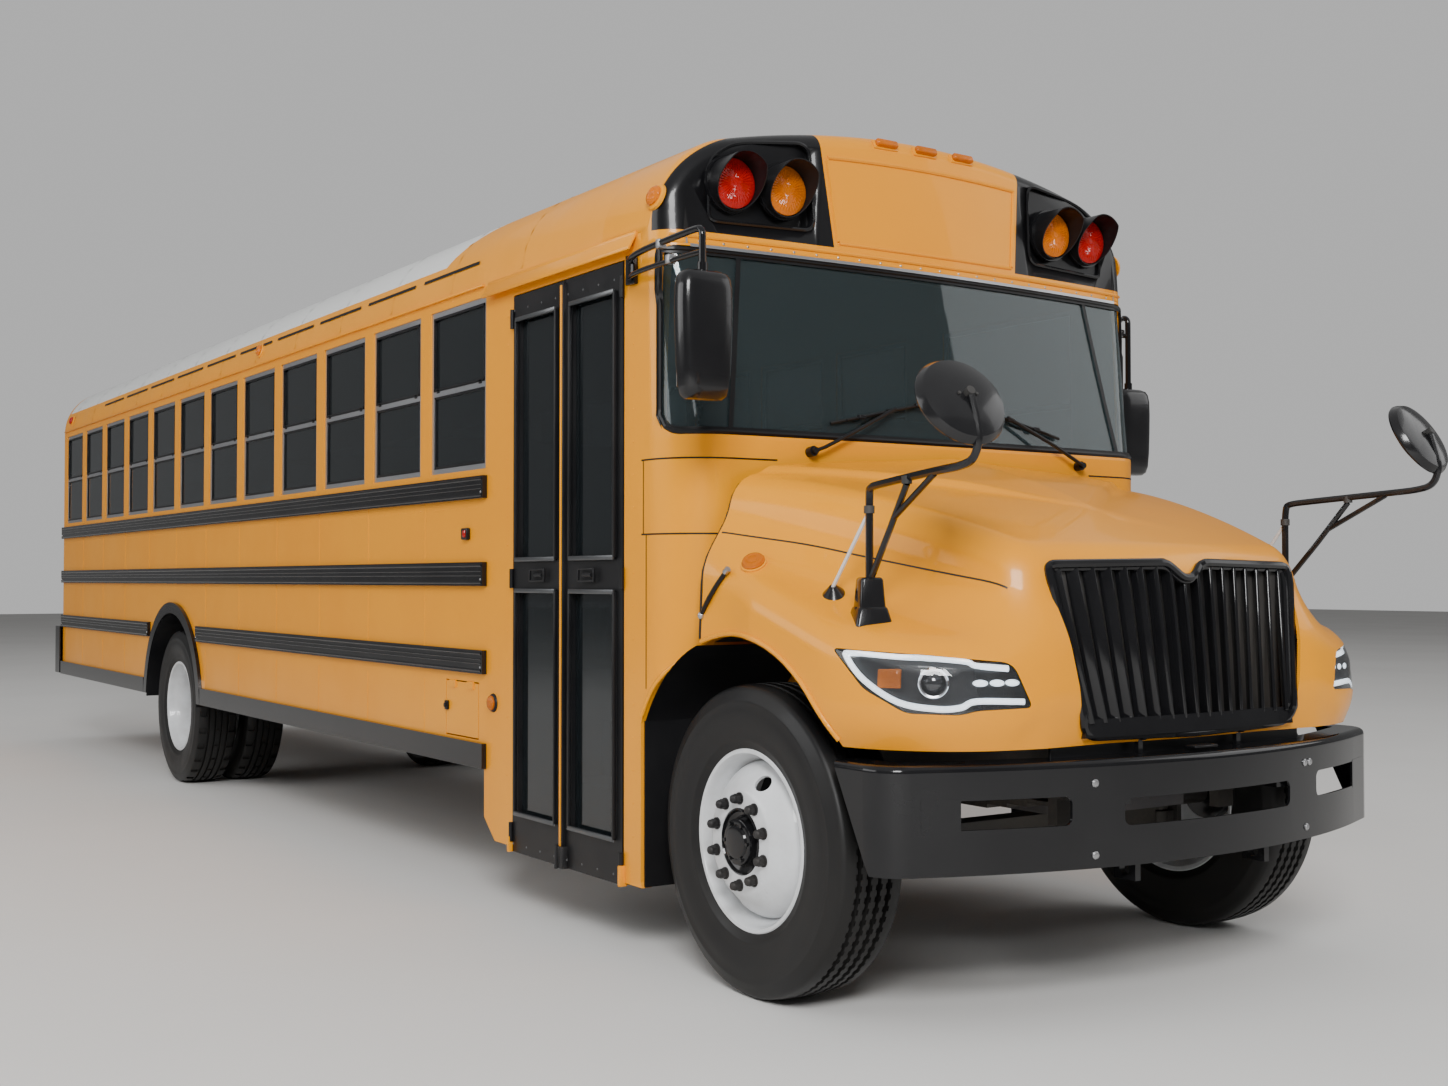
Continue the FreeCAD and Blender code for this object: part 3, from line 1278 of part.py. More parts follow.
def hood():
    """Tilting hood and fenders in one moulding, open below and behind."""
    skin = float(d.hood_skin)
    outer = nose_solid(0).fuse(fender_solid(0))
    inner = nose_solid(skin).fuse(fender_solid(skin))
    front_y = row(-1300)
    shell = outer.cut(inner)
    shell = shell.cut(arch_rod(0))
    shell = shell.cut(box_shape((-2000, 2000), (row(d.hood_rear), 9000), (0, 4000)))
    shell = shell.cut(box_shape((-2000, 2000), (-9000, 9000), (0, float(d.hood_low))))
    shell = shell.cut(front_prism(grille_corners(), front_y, row(-600)))
    for side in (1, -1):
        shell = shell.cut(front_prism(headlamp_corners(side), front_y, row(-330)))
    solids = sorted(shell.Solids, key=lambda solid: solid.Volume)
    shell = solids[-1]
    pivot = (row(d.hood_pivot_y), float(d.hood_pivot_z))
    for side in (1, -1):
        x = (256, 276) if side > 0 else (-276, -256)
        lug = rod_shape(12, (x[0], pivot[0], pivot[1]), (1, 0, 0), 20)
        lug = lug.fuse(box_shape(x, (pivot[0] - 45, pivot[0] + 12), (pivot[1], pivot[1] + 10)))
        shell = shell.fuse(lug.cut(inner_front(outer)))
        shell = shell.cut(rod_shape(8 + float(d.bearing_gap), (x[0] - 5, pivot[0], pivot[1]),
                                    (1, 0, 0), 30))
    node("hood", shaped(shell, "hood"))


def inner_front(outer):
    """Everything ahead of the hood's outer skin, so that the lugs stop inside it."""
    return box_shape((-500, 500), (row(-1200), row(-800)), (700, 1100)).cut(outer)


def headlamps():
    """Lamp units that fill the openings; their lens stands just inside the hood's surface."""
    lamps = []
    body = fender_solid(3).cut(fender_plan(70))
    for side in (1, -1):
        corners = inset_corners(headlamp_corners(side), 1.5)
        lamps.append(body.common(front_prism(corners, row(-1300), row(-330))))
    node("headlamps", shaped(Part.makeCompound([lamp.Solids[0] for lamp in lamps]), "headlamps"))


def grille():
    """Upright bars in a frame, leaning back with the hood's front face."""
    corners = inset_corners(grille_corners(), 4)
    base = row(d.hood_face_low) + 40
    plate = front_prism(corners, base, base + 34)
    foot = float(d.grille_foot)
    pitch = float(d.grille_top_half) * 2 / int(float(d.grille_bars) + 1)
    for bar in range(int(float(d.grille_bars)) + 1):
        left = -float(d.grille_top_half) + pitch * bar + 18
        right = left + pitch - 36
        inner = inset_corners(grille_corners(), 34)
        strip = ((left, foot + 60, 0), (right, foot + 60, 0), (right, 2000, 0), (left, 2000, 0))
        hole = front_prism(inner, base - 10, base + 50).common(
            front_prism(strip, base - 10, base + 50))
        if hole.Volume > 0:
            plate = plate.cut(hole)
    lean = math.degrees(math.atan(hood_face(1000)[1]))
    plate.rotate(Vector(0, base, float(d.hood_low)), Vector(1, 0, 0), -lean)
    node("grille", shaped(plate, "grille"))


# ---------------------------------------------------------------- bumpers
def front_bumper():
    """Bowed channel with three slots, its brackets on the rails and the hood's hinge pins."""
    low = float(d.bumper_low)
    high = float(d.bumper_high)
    plate = float(d.bumper_plate)
    half = float(d.bumper_half)
    nose = row(d.bumper_nose)
    bow = 2660.0
    reach = half - 145
    slope = reach / bow
    apex = nose - slope * reach / 2
    side = apex + slope * half
    plan = ((-half, side, 130), (0, apex, bow), (half, side, 130), (half, row(0), 0),
            (-half, row(0), 0))

    def prism(inset, bottom, top):
        return plan_prism(inset_corners(plan, inset), bottom, top)
    shell = prism(0, low, high)
    edges = [e for e in shell.Edges if e.BoundBox.ZMin > high - 1 and e.BoundBox.YMax < row(-1)]
    shell = shell.makeFillet(22, edges)
    shell = shell.cut(prism(plate, low + plate, high - plate))
    shell = shell.cut(prism(110, low - 1, high + 1))
    ends = ((row(-487), high + 5, 0), (row(-665), low - 5, 0), (row(300), low - 5, 0),
            (row(300), high + 5, 0))
    shell = shell.cut(side_prism(ends, -1500, 1500))
    front = row(-1100)
    slots = ((-400, 400, 628, 712), (590, 1056, 640, 728), (-1056, -590, 640, 728))
    for left, right, bottom, top in slots:
        corners = ((left, bottom, 25), (right, bottom, 25), (right, top, 25), (left, top, 25))
        shell = shell.cut(front_prism(corners, front, row(-500)))
    inside = float(d.rail_half - d.rail_flange)
    pivot = (row(d.hood_pivot_y), float(d.hood_pivot_z))
    for sign in (1, -1):
        rail = sorted((sign * inside, sign * float(d.rail_half)))
        arm = box_shape(rail, (row(-940), row(d.rail_front)), (690, 810))
        shell = shell.fuse(arm.common(prism(plate / 2, low, high)))
        x = sorted((sign * 228, sign * 248))
        # the post stands behind the pivot, because the hood's lip swings down ahead of it
        post = box_shape(x, (pivot[0] + 9, pivot[0] + 25), (high - plate, pivot[1]))
        post = post.fuse(box_shape(x, (pivot[0], pivot[0] + 25), (pivot[1] - 11, pivot[1] + 3)))
        post = post.fuse(box_shape(x, (pivot[0] - 3, pivot[0] + 25), (high - plate, high + 1)))
        post = post.fuse(rod_shape(12, (x[0], pivot[0], pivot[1]), (1, 0, 0), 20))
        pin_start = 236 if sign > 0 else -284
        post = post.fuse(rod_shape(8, (pin_start, pivot[0], pivot[1]), (1, 0, 0), 48))
        shell = shell.fuse(post)
        x = sorted((sign * 300, sign * 324))
        eye = box_shape(x, (row(-930), row(-840)), (low - 60, low + plate))
        eye = eye.cut(rod_shape(float(d.tow_radius), (x[0] - 1, row(-885), low - 28), (1, 0, 0), 26))
        shell = shell.fuse(eye)
    node("front_bumper", shaped(shell.removeSplitter(), "front_bumper"))


def rear_bumper():
    """Channel that wraps round the rear corners, with a hole for the tail pipe."""
    low, high = float(d.rear_bumper_low), float(d.rear_bumper_high)
    half = float(d.body_half) + 26
    rear = row(d.rear_bumper_rear)
    front = row(d.body_rear) - 70
    plan = ((-half, front - 400, 0), (half, front - 400, 0), (half, rear, 60), (-half, rear, 60))
    shell = plan_prism(plan, low, high).cut(plan_prism(inset_corners(plan, 10), low - 1, high + 1))
    shell = shell.cut(box_shape((-2000, 2000), (front - 500, front), (0, 2000)))
    ledge = plan_prism(inset_corners(plan, 10), high - 12, high)
    shell = shell.fuse(ledge.cut(box_shape((-2000, 2000), (front - 900, row(d.body_rear)), (0, 2000))))
    inside = float(d.rail_half - d.rail_flange)
    for sign in (1, -1):
        x = sorted((sign * inside, sign * float(d.rail_half)))
        shell = shell.fuse(box_shape(x, (row(d.rail_rear), rear - 5), (700, 880)))
    hole = (float(d.pipe_x), rear - 60, float(d.pipe_z))
    shell = shell.cut(rod_shape(float(d.pipe_radius) + 12, hole, (0, 1, 0), 100))
    node("rear_bumper", shaped(shell.removeSplitter(), "rear_bumper"))


# ---------------------------------------------------------------- mirrors
def tube(points, radius):
    """Bent tube: straight runs with a ball at each bend."""
    shape = None
    for start, end in zip(points, points[1:]):
        run = Vector(*end) - Vector(*start)
        piece = Part.makeCylinder(radius, run.Length, Vector(*start), run)
        shape = piece if shape is None else shape.fuse(piece)
    for point in points[1:-1]:
        shape = shape.fuse(Part.makeSphere(radius + 1, Vector(*point)))
    return shape


def crossover_mirrors():
    """Round convex mirrors on braced arms that stand on the fenders."""
    x = float(d.mirror_x)
    head = Vector(x, row(-1000), 1897)
    lean = Vector(0, 0.9, -0.43).normalize()
    disc = Part.makeCylinder(140, 30, head - lean * 15, lean)
    ball_radius = (140.0 ** 2 + 55 ** 2) / (2 * 55)
    dome = Part.makeSphere(ball_radius, head + lean * (15 + 55 - ball_radius))
    keep = Part.makeCylinder(150, 60, head + lean * 15, lean)
    shape = disc.fuse(dome.common(keep))
    foot_z = float(d.mirror_foot_z)
    post = (x - 77, row(-485))
    shape = shape.fuse(tube((post + (foot_z,), post + (1655,), (x - 9, row(-879), 1703),
                             (x, row(-1020), 1712), (x, row(-1050), 1790),
                             (x, row(-1012), 1892)), 11))
    shape = shape.fuse(tube((post + (foot_z + 60,), (x - 20, row(-820), 1697)), 9))
    base = Part.makeCylinder(42, 150, Vector(post[0], post[1], foot_z - 110), Vector(0, 0, 1))
    shape = shape.fuse(base).cut(hood_filled())
    shape = max(shape.Solids, key=lambda solid: solid.Volume)
    twin = shape.mirror(Vector(), Vector(1, 0, 0))
    node("crossover_mirrors", shaped(Part.makeCompound([shape, twin]), "crossover_mirrors"))


def hood_filled():
    return nose_solid(0).fuse(fender_solid(0))


def side_mirrors():
    """Flat mirrors beside the windshield; the left one hangs lower and further back."""
    shapes = []
    x = float(d.side_mirror_x)
    half = float(d.side_mirror_half)
    skin = float(d.body_half)
    pad = 22  # thickness of the arm's foot on the wall
    root_y = row(d.body_front) + 50
    # columns: side, Y of the head, height of its middle, height of the head, height of the arm
    for side, y, z, tall, arm in ((-1, row(40), 2192, 425, 2550), (1, row(560), 2043, 381, 2555)):
        head = box_shape((x - half, x + half), (y - 50, y + 50), (z - tall / 2, z + tall / 2))
        head = head.makeFillet(32, head.Edges)
        root = box_shape((skin, skin + pad), (root_y - 30, root_y + 30), (arm - 85, arm + 25))
        bend = (x, min(root_y - 40, y + 120), arm + 10)
        upper = tube(((skin + pad / 2, root_y, arm), (x - 40, root_y - 25, arm + 4), bend,
                      (x, y, arm - 25), (x, y, z + tall / 2 - 20)), 11)
        lower = tube(((skin + pad / 2, root_y, arm - 62), (x - 40, root_y - 25, arm - 60),
                      (x, y, arm - 70)), 9)
        shape = head.fuse(root).fuse(upper.cut(box_shape((0, skin), (-9000, 9000), (0, 4000))))
        shape = shape.fuse(lower.cut(box_shape((0, skin), (-9000, 9000), (0, 4000))))
        shapes.append(shape if side > 0 else shape.mirror(Vector(), Vector(1, 0, 0)))
    node("side_mirrors", shaped(Part.makeCompound(shapes), "side_mirrors"))


# ---------------------------------------------------------------- cabin
def bench(name, y, z):
    """One side's row of like blocks, from the wall to the aisle, repeated along the cabin."""
    wall_x = -(d.body_half - d.wall - d.seat_wall_gap)
    body = new_body(name)
    sketch = sketch_on(body, "XY_Plane", z[0])
    rectangle(sketch, (wall_x, wall_x + d.seat_width), y)
    block_pad = pad(body, sketch, z[1] - z[0])
    repeated(body, block_pad, sketch, "V_Axis", d.seat_pitch, d.seat_rows)
    return body


def seats():
    """Bench seats in two columns: soft cushions and backs on steel frames."""
    first = at(d.seat_first)
    back_y = first + d.seat_deep
    cushions = bench("cushions", (first, back_y), (d.seat_top - d.seat_cushion, d.seat_top))
    backs = bench("backs", (back_y, back_y + d.seat_back),
                  (d.seat_top - d.seat_cushion, d.seat_back_top))
    node("seat_cushions", fuse(both_sides(cushions)))
    node("seat_backs", fuse(both_sides(backs)))
    wall_x = -(d.body_half - d.wall)
    aisle_x = wall_x + d.seat_wall_gap + d.seat_width
    low = d.seat_top - d.seat_cushion
    frames = []
    for start in (first + 40, first + d.seat_deep - 60):
        body = new_body("seat_frame")
        sketch = sketch_on(body, "XZ_Plane", -start - 30)
        polygon(sketch, ((aisle_x - 150, d.floor_top), (aisle_x - 110, d.floor_top),
                         (aisle_x - 110, low), (wall_x, low), (wall_x, low - 40),
                         (aisle_x - 150, low - 40)))
        leg = pad(body, sketch, 30)
        pattern = body.newObject("PartDesign::LinearPattern", "pattern")
        pattern.Originals = [leg]
        pattern.Direction = (sketch, ["N_Axis"])
        bind(pattern, "Length", d.seat_pitch * (d.seat_rows - 1))
        bind(pattern, "Occurrences", d.seat_rows)
        pattern.Reversed = True
        body.Tip = pattern
        frames.append(body)
    node("seat_frames", fuse(both_sides(fuse(frames))))


def driver_place():
    """Driver's seat on its pedestal, dashboard with the steering column, steering wheel."""
    x = d.driver_x
    half = 250
    seat_y = at(1180)
    pieces = [block((x - 170, x + 170), (seat_y + 60, seat_y + 400), (d.floor_top, 1330)),
              block((x - half, x + half), (seat_y, seat_y + 470), (1330, 1450)),
              block((x - half, x + half), (seat_y + 430, seat_y + 540), (1450, 2130))]
    node("driver_seat", fuse(pieces))
    wall = float(d.wall)
    profile = ((sill_front() + wall + 4, 1560, 0), (row(560), 1500, 60), (row(600), 1700, 50),
               (row(480), 1850, 60), (sill_front() + wall + 4, 1870, 0))
    inner = rounded_face(shell_plan(sill_front(), float(d.sill_bow), float(d.sill_corner), wall + 4),
                         lambda u, v: Vector(u, v, 1400)).extrude(Vector(0, 0, 489))
    dash = side_prism(profile, -520, float(d.body_half) - wall - 60).common(inner)
    hub = steering_hub()
    axis = steering_axis()
    column = Part.makeCylinder(32, 560, hub - axis * 590, axis)
    column = column.cut(box_shape((-2000, 2000), (-9000, row(d.body_front) - 200), (0, 3000)))
    node("dashboard", shaped(dash.fuse(column), "dashboard"))
    rim = Part.makeTorus(float(d.steering_radius), 15, hub + axis * 20, axis)
    wheel = rim.fuse(Part.makeCylinder(55, 50, hub - axis * 20, axis))
    across = axis.cross(Vector(1, 0, 0))
    for direction in (Vector(1, 0, 0), Vector(-1, 0, 0), across):
        spoke = Part.makeCylinder(11, float(d.steering_radius), hub + axis * 12, direction)
        wheel = wheel.fuse(spoke)
    node("steering_wheel", shaped(wheel, "steering_wheel"))


def steering_axis():
    """Direction of the steering column, from the floor up to the driver."""
    lean = math.radians(float(d.column_lean))
    return Vector(0, math.sin(lean), math.cos(lean))


def steering_hub():
    return Vector(float(d.driver_x), row(900), 1720)


# ---------------------------------------------------------------- stop arm
def stop_arm():
    """Blank octagon that folds flat against the driver's side, hinged on its front edge."""
    x = d.body_half + 16
    y = at(d.stop_arm_y)
    z = d.stop_arm_z
    low = z - 62
    centre = (y + 290, z)
    points = []
    for i in range(8):
        angle = math.radians(22.5 + 45 * i)
        points.append((centre[0] + float(d.stop_arm_radius) * math.cos(angle),
                       centre[1] + float(d.stop_arm_radius) * math.sin(angle)))
    body = new_body("octagon")
    sketch = sketch_on(body, "YZ_Plane", x - 4)
    polygon(sketch, points)
    pad(body, sketch, 8)
    barrel = rod(11, 124, (x, y, low))
    link = block((x - 4, x + 4), (y, centre[0] - 150), (low + 10, low + 114))
    bore = rod(5 + d.bearing_gap, 160, (x, y, low - 20))
    node("stop_arm", cut(fuse([body, barrel, link]), [bore]))


def stop_arm_hinge():
    """Pin of the stop arm between two lugs on the wall."""
    x = d.body_half + 16
    y = at(d.stop_arm_y)
    z = d.stop_arm_z
    pieces = [rod(5, 184, (x, y, z - 92))]
    for start in (z - 92, z + 68):
        pieces.append(block((d.body_half, x + 10), (y - 11, y + 11), (start, start + 24)))
    return pieces


chassis_frame()
leaf_springs()
front_axle()
tie_rod()
rear_axle()
engine_block()
drive_shaft()
fuel_tank()
exhaust()
for side in ("left", "right"):
    knuckle(side)
    front_wheel(side)
    rear_wheels(side)
    tyres(side)
side_wall("right")
side_wall("left")
window_frames()
window_glass()
rub_rails()
roof()
roof_hatches()
rear_wall()
emergency_door()
entry_door()
access_door()
floor()
entry_steps()
cowl()
windshield()
front_cap()
warning_lamps()
hood()
headlamps()
grille()
front_bumper()
rear_bumper()
crossover_mirrors()
side_mirrors()
seats()
driver_place()
stop_arm()


# ---------------------------------------------------------------- check and write
doc.recompute()
for thing in doc.Objects:
    if any(state in ("Invalid", "Error") for state in thing.State):
        raise RuntimeError("%s failed: %s" % (thing.Label, thing.State))
for piece in nodes:
    if piece.Shape.isNull() or not piece.Shape.isValid() or not piece.Shape.Solids:
        raise RuntimeError(piece.Label + " has no valid solid")
os.makedirs("parts", exist_ok=True)
for piece in nodes:
    piece.Shape.exportStep(os.path.join("parts", piece.Label + ".step"))
print(len(nodes), "nodes written")
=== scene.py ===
# %% [markdown]
# # A conventional school bus
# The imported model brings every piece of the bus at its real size: frame, axles, wheels, walls,
# doors, hood, glass and seats. This lesson dresses it: paint, glass, rubber and trim, and the
# pieces whose looks need a modeller's mesh, such as treaded tyres, padded seats and lamps.
# Everything is in metres. The bus faces -Y, +X is the driver's side and +Z is up.

# %% Load the frame
import math

import bmesh
import bpy
import numpy as np
from mathutils import Matrix, Vector
from mathutils.bvhtree import BVHTree


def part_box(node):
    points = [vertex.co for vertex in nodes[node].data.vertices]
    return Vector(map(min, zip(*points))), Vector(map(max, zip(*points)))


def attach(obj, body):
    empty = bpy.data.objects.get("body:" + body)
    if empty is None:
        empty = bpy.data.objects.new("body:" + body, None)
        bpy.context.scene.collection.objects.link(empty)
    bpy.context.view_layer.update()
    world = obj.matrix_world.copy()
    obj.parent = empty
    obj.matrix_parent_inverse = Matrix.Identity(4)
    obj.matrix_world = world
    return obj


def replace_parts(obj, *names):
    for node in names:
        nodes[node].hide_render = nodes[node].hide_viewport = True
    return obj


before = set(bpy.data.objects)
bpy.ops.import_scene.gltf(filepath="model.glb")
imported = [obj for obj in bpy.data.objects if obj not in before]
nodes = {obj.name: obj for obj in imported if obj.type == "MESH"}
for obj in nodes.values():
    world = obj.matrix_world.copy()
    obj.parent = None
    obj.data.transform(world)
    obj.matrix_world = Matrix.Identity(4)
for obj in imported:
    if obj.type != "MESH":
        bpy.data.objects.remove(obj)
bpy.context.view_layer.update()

# %% [markdown]
# ## Driving places
# A coachbuilder measures a bus from its axles, so the places here are read from the packed
# nodes: the axles from the tyres, the skin from the walls. Later cells add to these few values.

# %% Places read from the frame
tyre_low, tyre_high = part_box("front_left_tyre")
axle_y = (tyre_low.y + tyre_high.y) / 2
axle_z = (tyre_low.z + tyre_high.z) / 2
rear_low, rear_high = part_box("rear_left_tyres")
rear_axle_y = (rear_low.y + rear_high.y) / 2
skin_x = -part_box("right_wall")[0].x
rear_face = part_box("rear_wall")[1].y
print("front axle y %.3f, rear axle y %.3f, skin x %.3f" % (axle_y, rear_axle_y, skin_x))


def at(y):
    """Y of a place given in metres behind the front axle."""
    return axle_y + y


# %% [markdown]
# ## Tools for shaping
# Every new piece starts as a bmesh. These helpers add a bevelled block, a round bar, a turned
# ring or a row of rivets to a bmesh that is being built. Then close_piece merges doubles, turns
# the faces outwards, marks sharp edges, and hands the piece to its body.

# %% Helpers that add shapes to a bmesh
def frame_of(direction):
    """Rotation that turns +Z towards a direction."""
    return Vector(direction).normalized().to_track_quat("Z", "Y").to_matrix().to_4x4()


def new_part(bm, geometry, bevel=0.0, segments=2):
    """Rounds the edges of what an operator has just made."""
    if bevel > 0:
        edges = list({edge for vert in geometry for edge in vert.link_edges})
        bmesh.ops.bevel(bm, geom=edges, offset=bevel, segments=segments, profile=0.5,
                        affect="EDGES", material=-1, clamp_overlap=True)


def slab(bm, middle, turn, size, bevel=0.0, segments=2):
    """A block of a given size, turned about its middle, with rounded edges."""
    place = Matrix.Translation(middle) @ turn @ Matrix.Diagonal((*size, 1))
    new_part(bm, bmesh.ops.create_cube(bm, size=1, matrix=place)["verts"], bevel, segments)


def block(bm, x, y, z, bevel=0.0, segments=2, turn=None):
    """The same between pairs of limits."""
    slab(bm, Vector([(a + b) / 2 for a, b in (x, y, z)]), turn or Matrix(),
         [abs(b - a) for a, b in (x, y, z)], bevel, segments)


def bar(bm, start, end, radius, sides=16, tip=None, bevel=0.0):
    """A round bar or a cone from start to end."""
    start, end = Vector(start), Vector(end)
    run = end - start
    place = Matrix.Translation((start + end) / 2) @ frame_of(run)
    made = bmesh.ops.create_cone(bm, cap_ends=True, segments=sides, radius1=radius,
                                 radius2=radius if tip is None else tip, depth=run.length,
                                 matrix=place)["verts"]
    if bevel > 0:
        rims = {edge for vert in made for edge in vert.link_edges
                if abs((edge.verts[1].co - edge.verts[0].co).normalized().dot(
                    run.normalized())) < 0.1}
        bmesh.ops.bevel(bm, geom=list(rims), offset=bevel, segments=2, profile=0.5,
                        affect="EDGES", material=-1, clamp_overlap=True)


def ball(bm, centre, radius, squash=(1, 1, 1), turn=None, sides=20):
    place = Matrix.Translation(centre) @ (turn or Matrix()) @ Matrix.Diagonal((*squash, 1))
    bmesh.ops.create_uvsphere(bm, u_segments=sides, v_segments=sides // 2, radius=radius,
                              matrix=place)


def turned(bm, profile, centre, axis=(1, 0, 0), steps=64):
    """A ring or disc: the profile, as (along, radius) pairs, spun round an axis."""
    axis = Vector(axis).normalized()
    across = axis.orthogonal().normalized()
    verts = [bm.verts.new(Vector(centre) + axis * u + across * r) for u, r in profile]
    edges = [bm.edges.new(pair) for pair in zip(verts, verts[1:])]
    bmesh.ops.spin(bm, geom=verts + edges, cent=centre, axis=axis, angle=math.tau,
                   steps=steps, use_merge=True, use_duplicate=False)


def tube(bm, points, radius, sides=10, order=3):
    """A bent tube along a smooth curve through a few control points."""
    curve = bpy.data.curves.new("route", "CURVE")
    curve.dimensions = "3D"
    curve.bevel_depth = radius
    curve.bevel_resolution = max(1, sides // 4 - 1)
    curve.use_fill_caps = True
    curve.resolution_u = 10
    spline = curve.splines.new("NURBS")
    spline.points.add(len(points) - 1)
    for point, place in zip(spline.points, points):
        point.co = (*place, 1)
    spline.order_u = order
    spline.use_endpoint_u = True
    holder = bpy.data.objects.new("route", curve)
    bpy.context.scene.collection.objects.link(holder)
    bpy.context.view_layer.update()
    mesh = bpy.data.meshes.new_from_object(holder.evaluated_get(
        bpy.context.evaluated_depsgraph_get()))
    bm.from_mesh(mesh)
    bpy.data.objects.remove(holder)
    bpy.data.meshes.remove(mesh)


def rivets(bm, places, outward, radius=0.005, height=0.0025):
    """Low domed rivet heads at a list of places."""
    turn = frame_of(outward)
    for place in places:
        centre = Vector(place) + Vector(outward).normalized() * height / 2
        bmesh.ops.create_cone(bm, cap_ends=True, segments=7, radius1=radius,
                              radius2=radius * 0.45, depth=height,
                              matrix=Matrix.Translation(centre) @ turn)


def join_rows(bm, rows, closed=True):
    """Four-sided faces between neighbouring rows of corners."""
    for first, second in zip(rows, rows[1:]):
        for i in range(len(first) - (not closed)):
            j = (i + 1) % len(first)
            bm.faces.new((first[i], first[j], second[j], second[i]))


def blanks(count):
    """That many empty bmeshes."""
    return [bmesh.new() for _ in range(count)]


def pour(bm, other):
    """Adds the other bmesh to the first and frees it."""
    mesh = bpy.data.meshes.new("part")
    other.to_mesh(mesh)
    other.free()
    bm.from_mesh(mesh)
    bpy.data.meshes.remove(mesh)


def as_object(bm, name):
    """A plain object that has no body, slot or finish yet."""
    mesh = bpy.data.meshes.new(name)
    bm.to_mesh(mesh)
    bm.free()
    item = bpy.data.objects.new(name, mesh)
    bpy.context.scene.collection.objects.link(item)
    return item


def sharpen(piece, angle=35):
    """Smooth shading, with a hard edge wherever faces meet at more than the angle."""
    piece.data.polygons.foreach_set("use_smooth", [True] * len(piece.data.polygons))
    piece.data.set_sharp_from_angle(angle=math.radians(angle))


def close_piece(bm, name, body, finish, angle=35, normals=True):
    """Turns a bmesh into a finished object that rides on its body."""
    bmesh.ops.remove_doubles(bm, verts=bm.verts, dist=1e-6)
    if normals:
        bmesh.ops.recalc_face_normals(bm, faces=bm.faces)
    piece = as_object(bm, name)
    piece.data.materials.append(finish)
    sharpen(piece, angle)
    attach(piece, body)
    print("%-28s %6d faces" % (name, len(piece.data.polygons)))
    return piece


def bake_modifiers(piece):
    """Applies a piece's modifiers, so that its mesh is final."""
    bpy.context.view_layer.update()
    graph = bpy.context.evaluated_depsgraph_get()
    mesh = bpy.data.meshes.new_from_object(piece.evaluated_get(graph))
    piece.modifiers.clear()
    piece.data = mesh
    return piece


# %% [markdown]
# ## Effects shared by the finishes
# Paint is never one flat colour. Road dust settles low on the body, sprayed enamel has a faint
# orange peel, and moulded plastic and rubber have grain. Each effect is one node group with named
# inputs, placed in each material with its own values.

# %% Node group helpers
def link_group(name, inputs, outputs):
    """An empty shader group with its sockets; inputs are (name, kind, default)."""
    tree = bpy.data.node_groups.new(name, "ShaderNodeTree")
    for label, kind, default in inputs:
        socket = tree.interface.new_socket(label, in_out="INPUT", socket_type="NodeSocket" + kind)
        socket.default_value = default
    for label, kind in outputs:
        tree.interface.new_socket(label, in_out="OUTPUT", socket_type="NodeSocket" + kind)
    return tree, tree.nodes.new("NodeGroupInput"), tree.nodes.new("NodeGroupOutput")


def feed(tree, node, values):
    """Links each named input to a socket, or sets it to a plain number or colour."""
    for label, value in values.items():
        if isinstance(value, bpy.types.NodeSocket):
            tree.links.new(value, node.inputs[label])
        else:
            node.inputs[label].default_value = value
    return node


def ramp_between(tree, value, low, high):
    """Turns a value into 0..1 between two levels."""
    return feed(tree, tree.nodes.new("ShaderNodeMapRange"),
                {"Value": value, "From Min": low, "From Max": high}).outputs["Result"]


def noise(tree, vector, scale, detail=3.0):
    return feed(tree, tree.nodes.new("ShaderNodeTexNoise"),
                {"Detail": detail, "Vector": vector, "Scale": scale}).outputs["Fac"]


def maths(tree, kind, first, second):
    node = tree.nodes.new("ShaderNodeMath")
    node.operation = kind
    return feed(tree, node, {0: first, 1: second}).outputs[0]


def object_places(tree):
    """The object's own coordinates, whole and split into X, Y and Z."""
    whole = tree.nodes.new("ShaderNodeTexCoord").outputs["Object"]
    return whole, feed(tree, tree.nodes.new("ShaderNodeSeparateXYZ"), {0: whole}).outputs


# %% Road dust, cloudy and thicker towards the ground
dust, into, out = link_group("Road dust", (("Top", "Float", 1.2), ("Amount", "Float", 0.5)),
                             (("Mask", "Float"),))
places, axes = object_places(dust)
clouds = ramp_between(dust, noise(dust, places, 2.3, 6), 0.32, 0.75)
height = ramp_between(dust, axes["Z"], into.outputs["Top"], 0.1)
specks = ramp_between(dust, noise(dust, places, 60, 2), 0.4, 0.8)
blend_in = maths(dust, "MULTIPLY", maths(dust, "MULTIPLY", height, clouds), into.outputs["Amount"])
speckle = maths(dust, "ADD", maths(dust, "MULTIPLY", specks, 0.5), 0.6)
mottled = maths(dust, "MULTIPLY", blend_in, speckle)
dust.links.new(mottled, out.inputs["Mask"])

# %% Grain: a bump height from fine noise, and a cloudy value for roughness
grain, into, out = link_group("Grain", (("Scale", "Float", 300.0), ("Cloud scale", "Float", 3.0)),
                              (("Height", "Float"), ("Clouds", "Float")))
places = grain.nodes.new("ShaderNodeTexCoord").outputs["Object"]
feed(grain, out, {"Height": noise(grain, places, into.outputs["Scale"], 2),
                  "Clouds": noise(grain, places, into.outputs["Cloud scale"], 5)})


# %% [markdown]
# ## Finishes
# One function makes each finish from a few numbers: a base colour that drifts between two close
# tones, a roughness that drifts with it, a fine bump, and dust over the lower part. Numbers that
# are the same all over go straight on the shader's own sockets.

# %% The finish function
DUST_COLOUR = (0.23, 0.19, 0.14, 1)


def mix_colour(tree, factor, first, second):
    node = tree.nodes.new("ShaderNodeMix")
    node.data_type = "RGBA"
    return feed(tree, node, {"Factor": factor, 6: first, 7: second}).outputs[2]


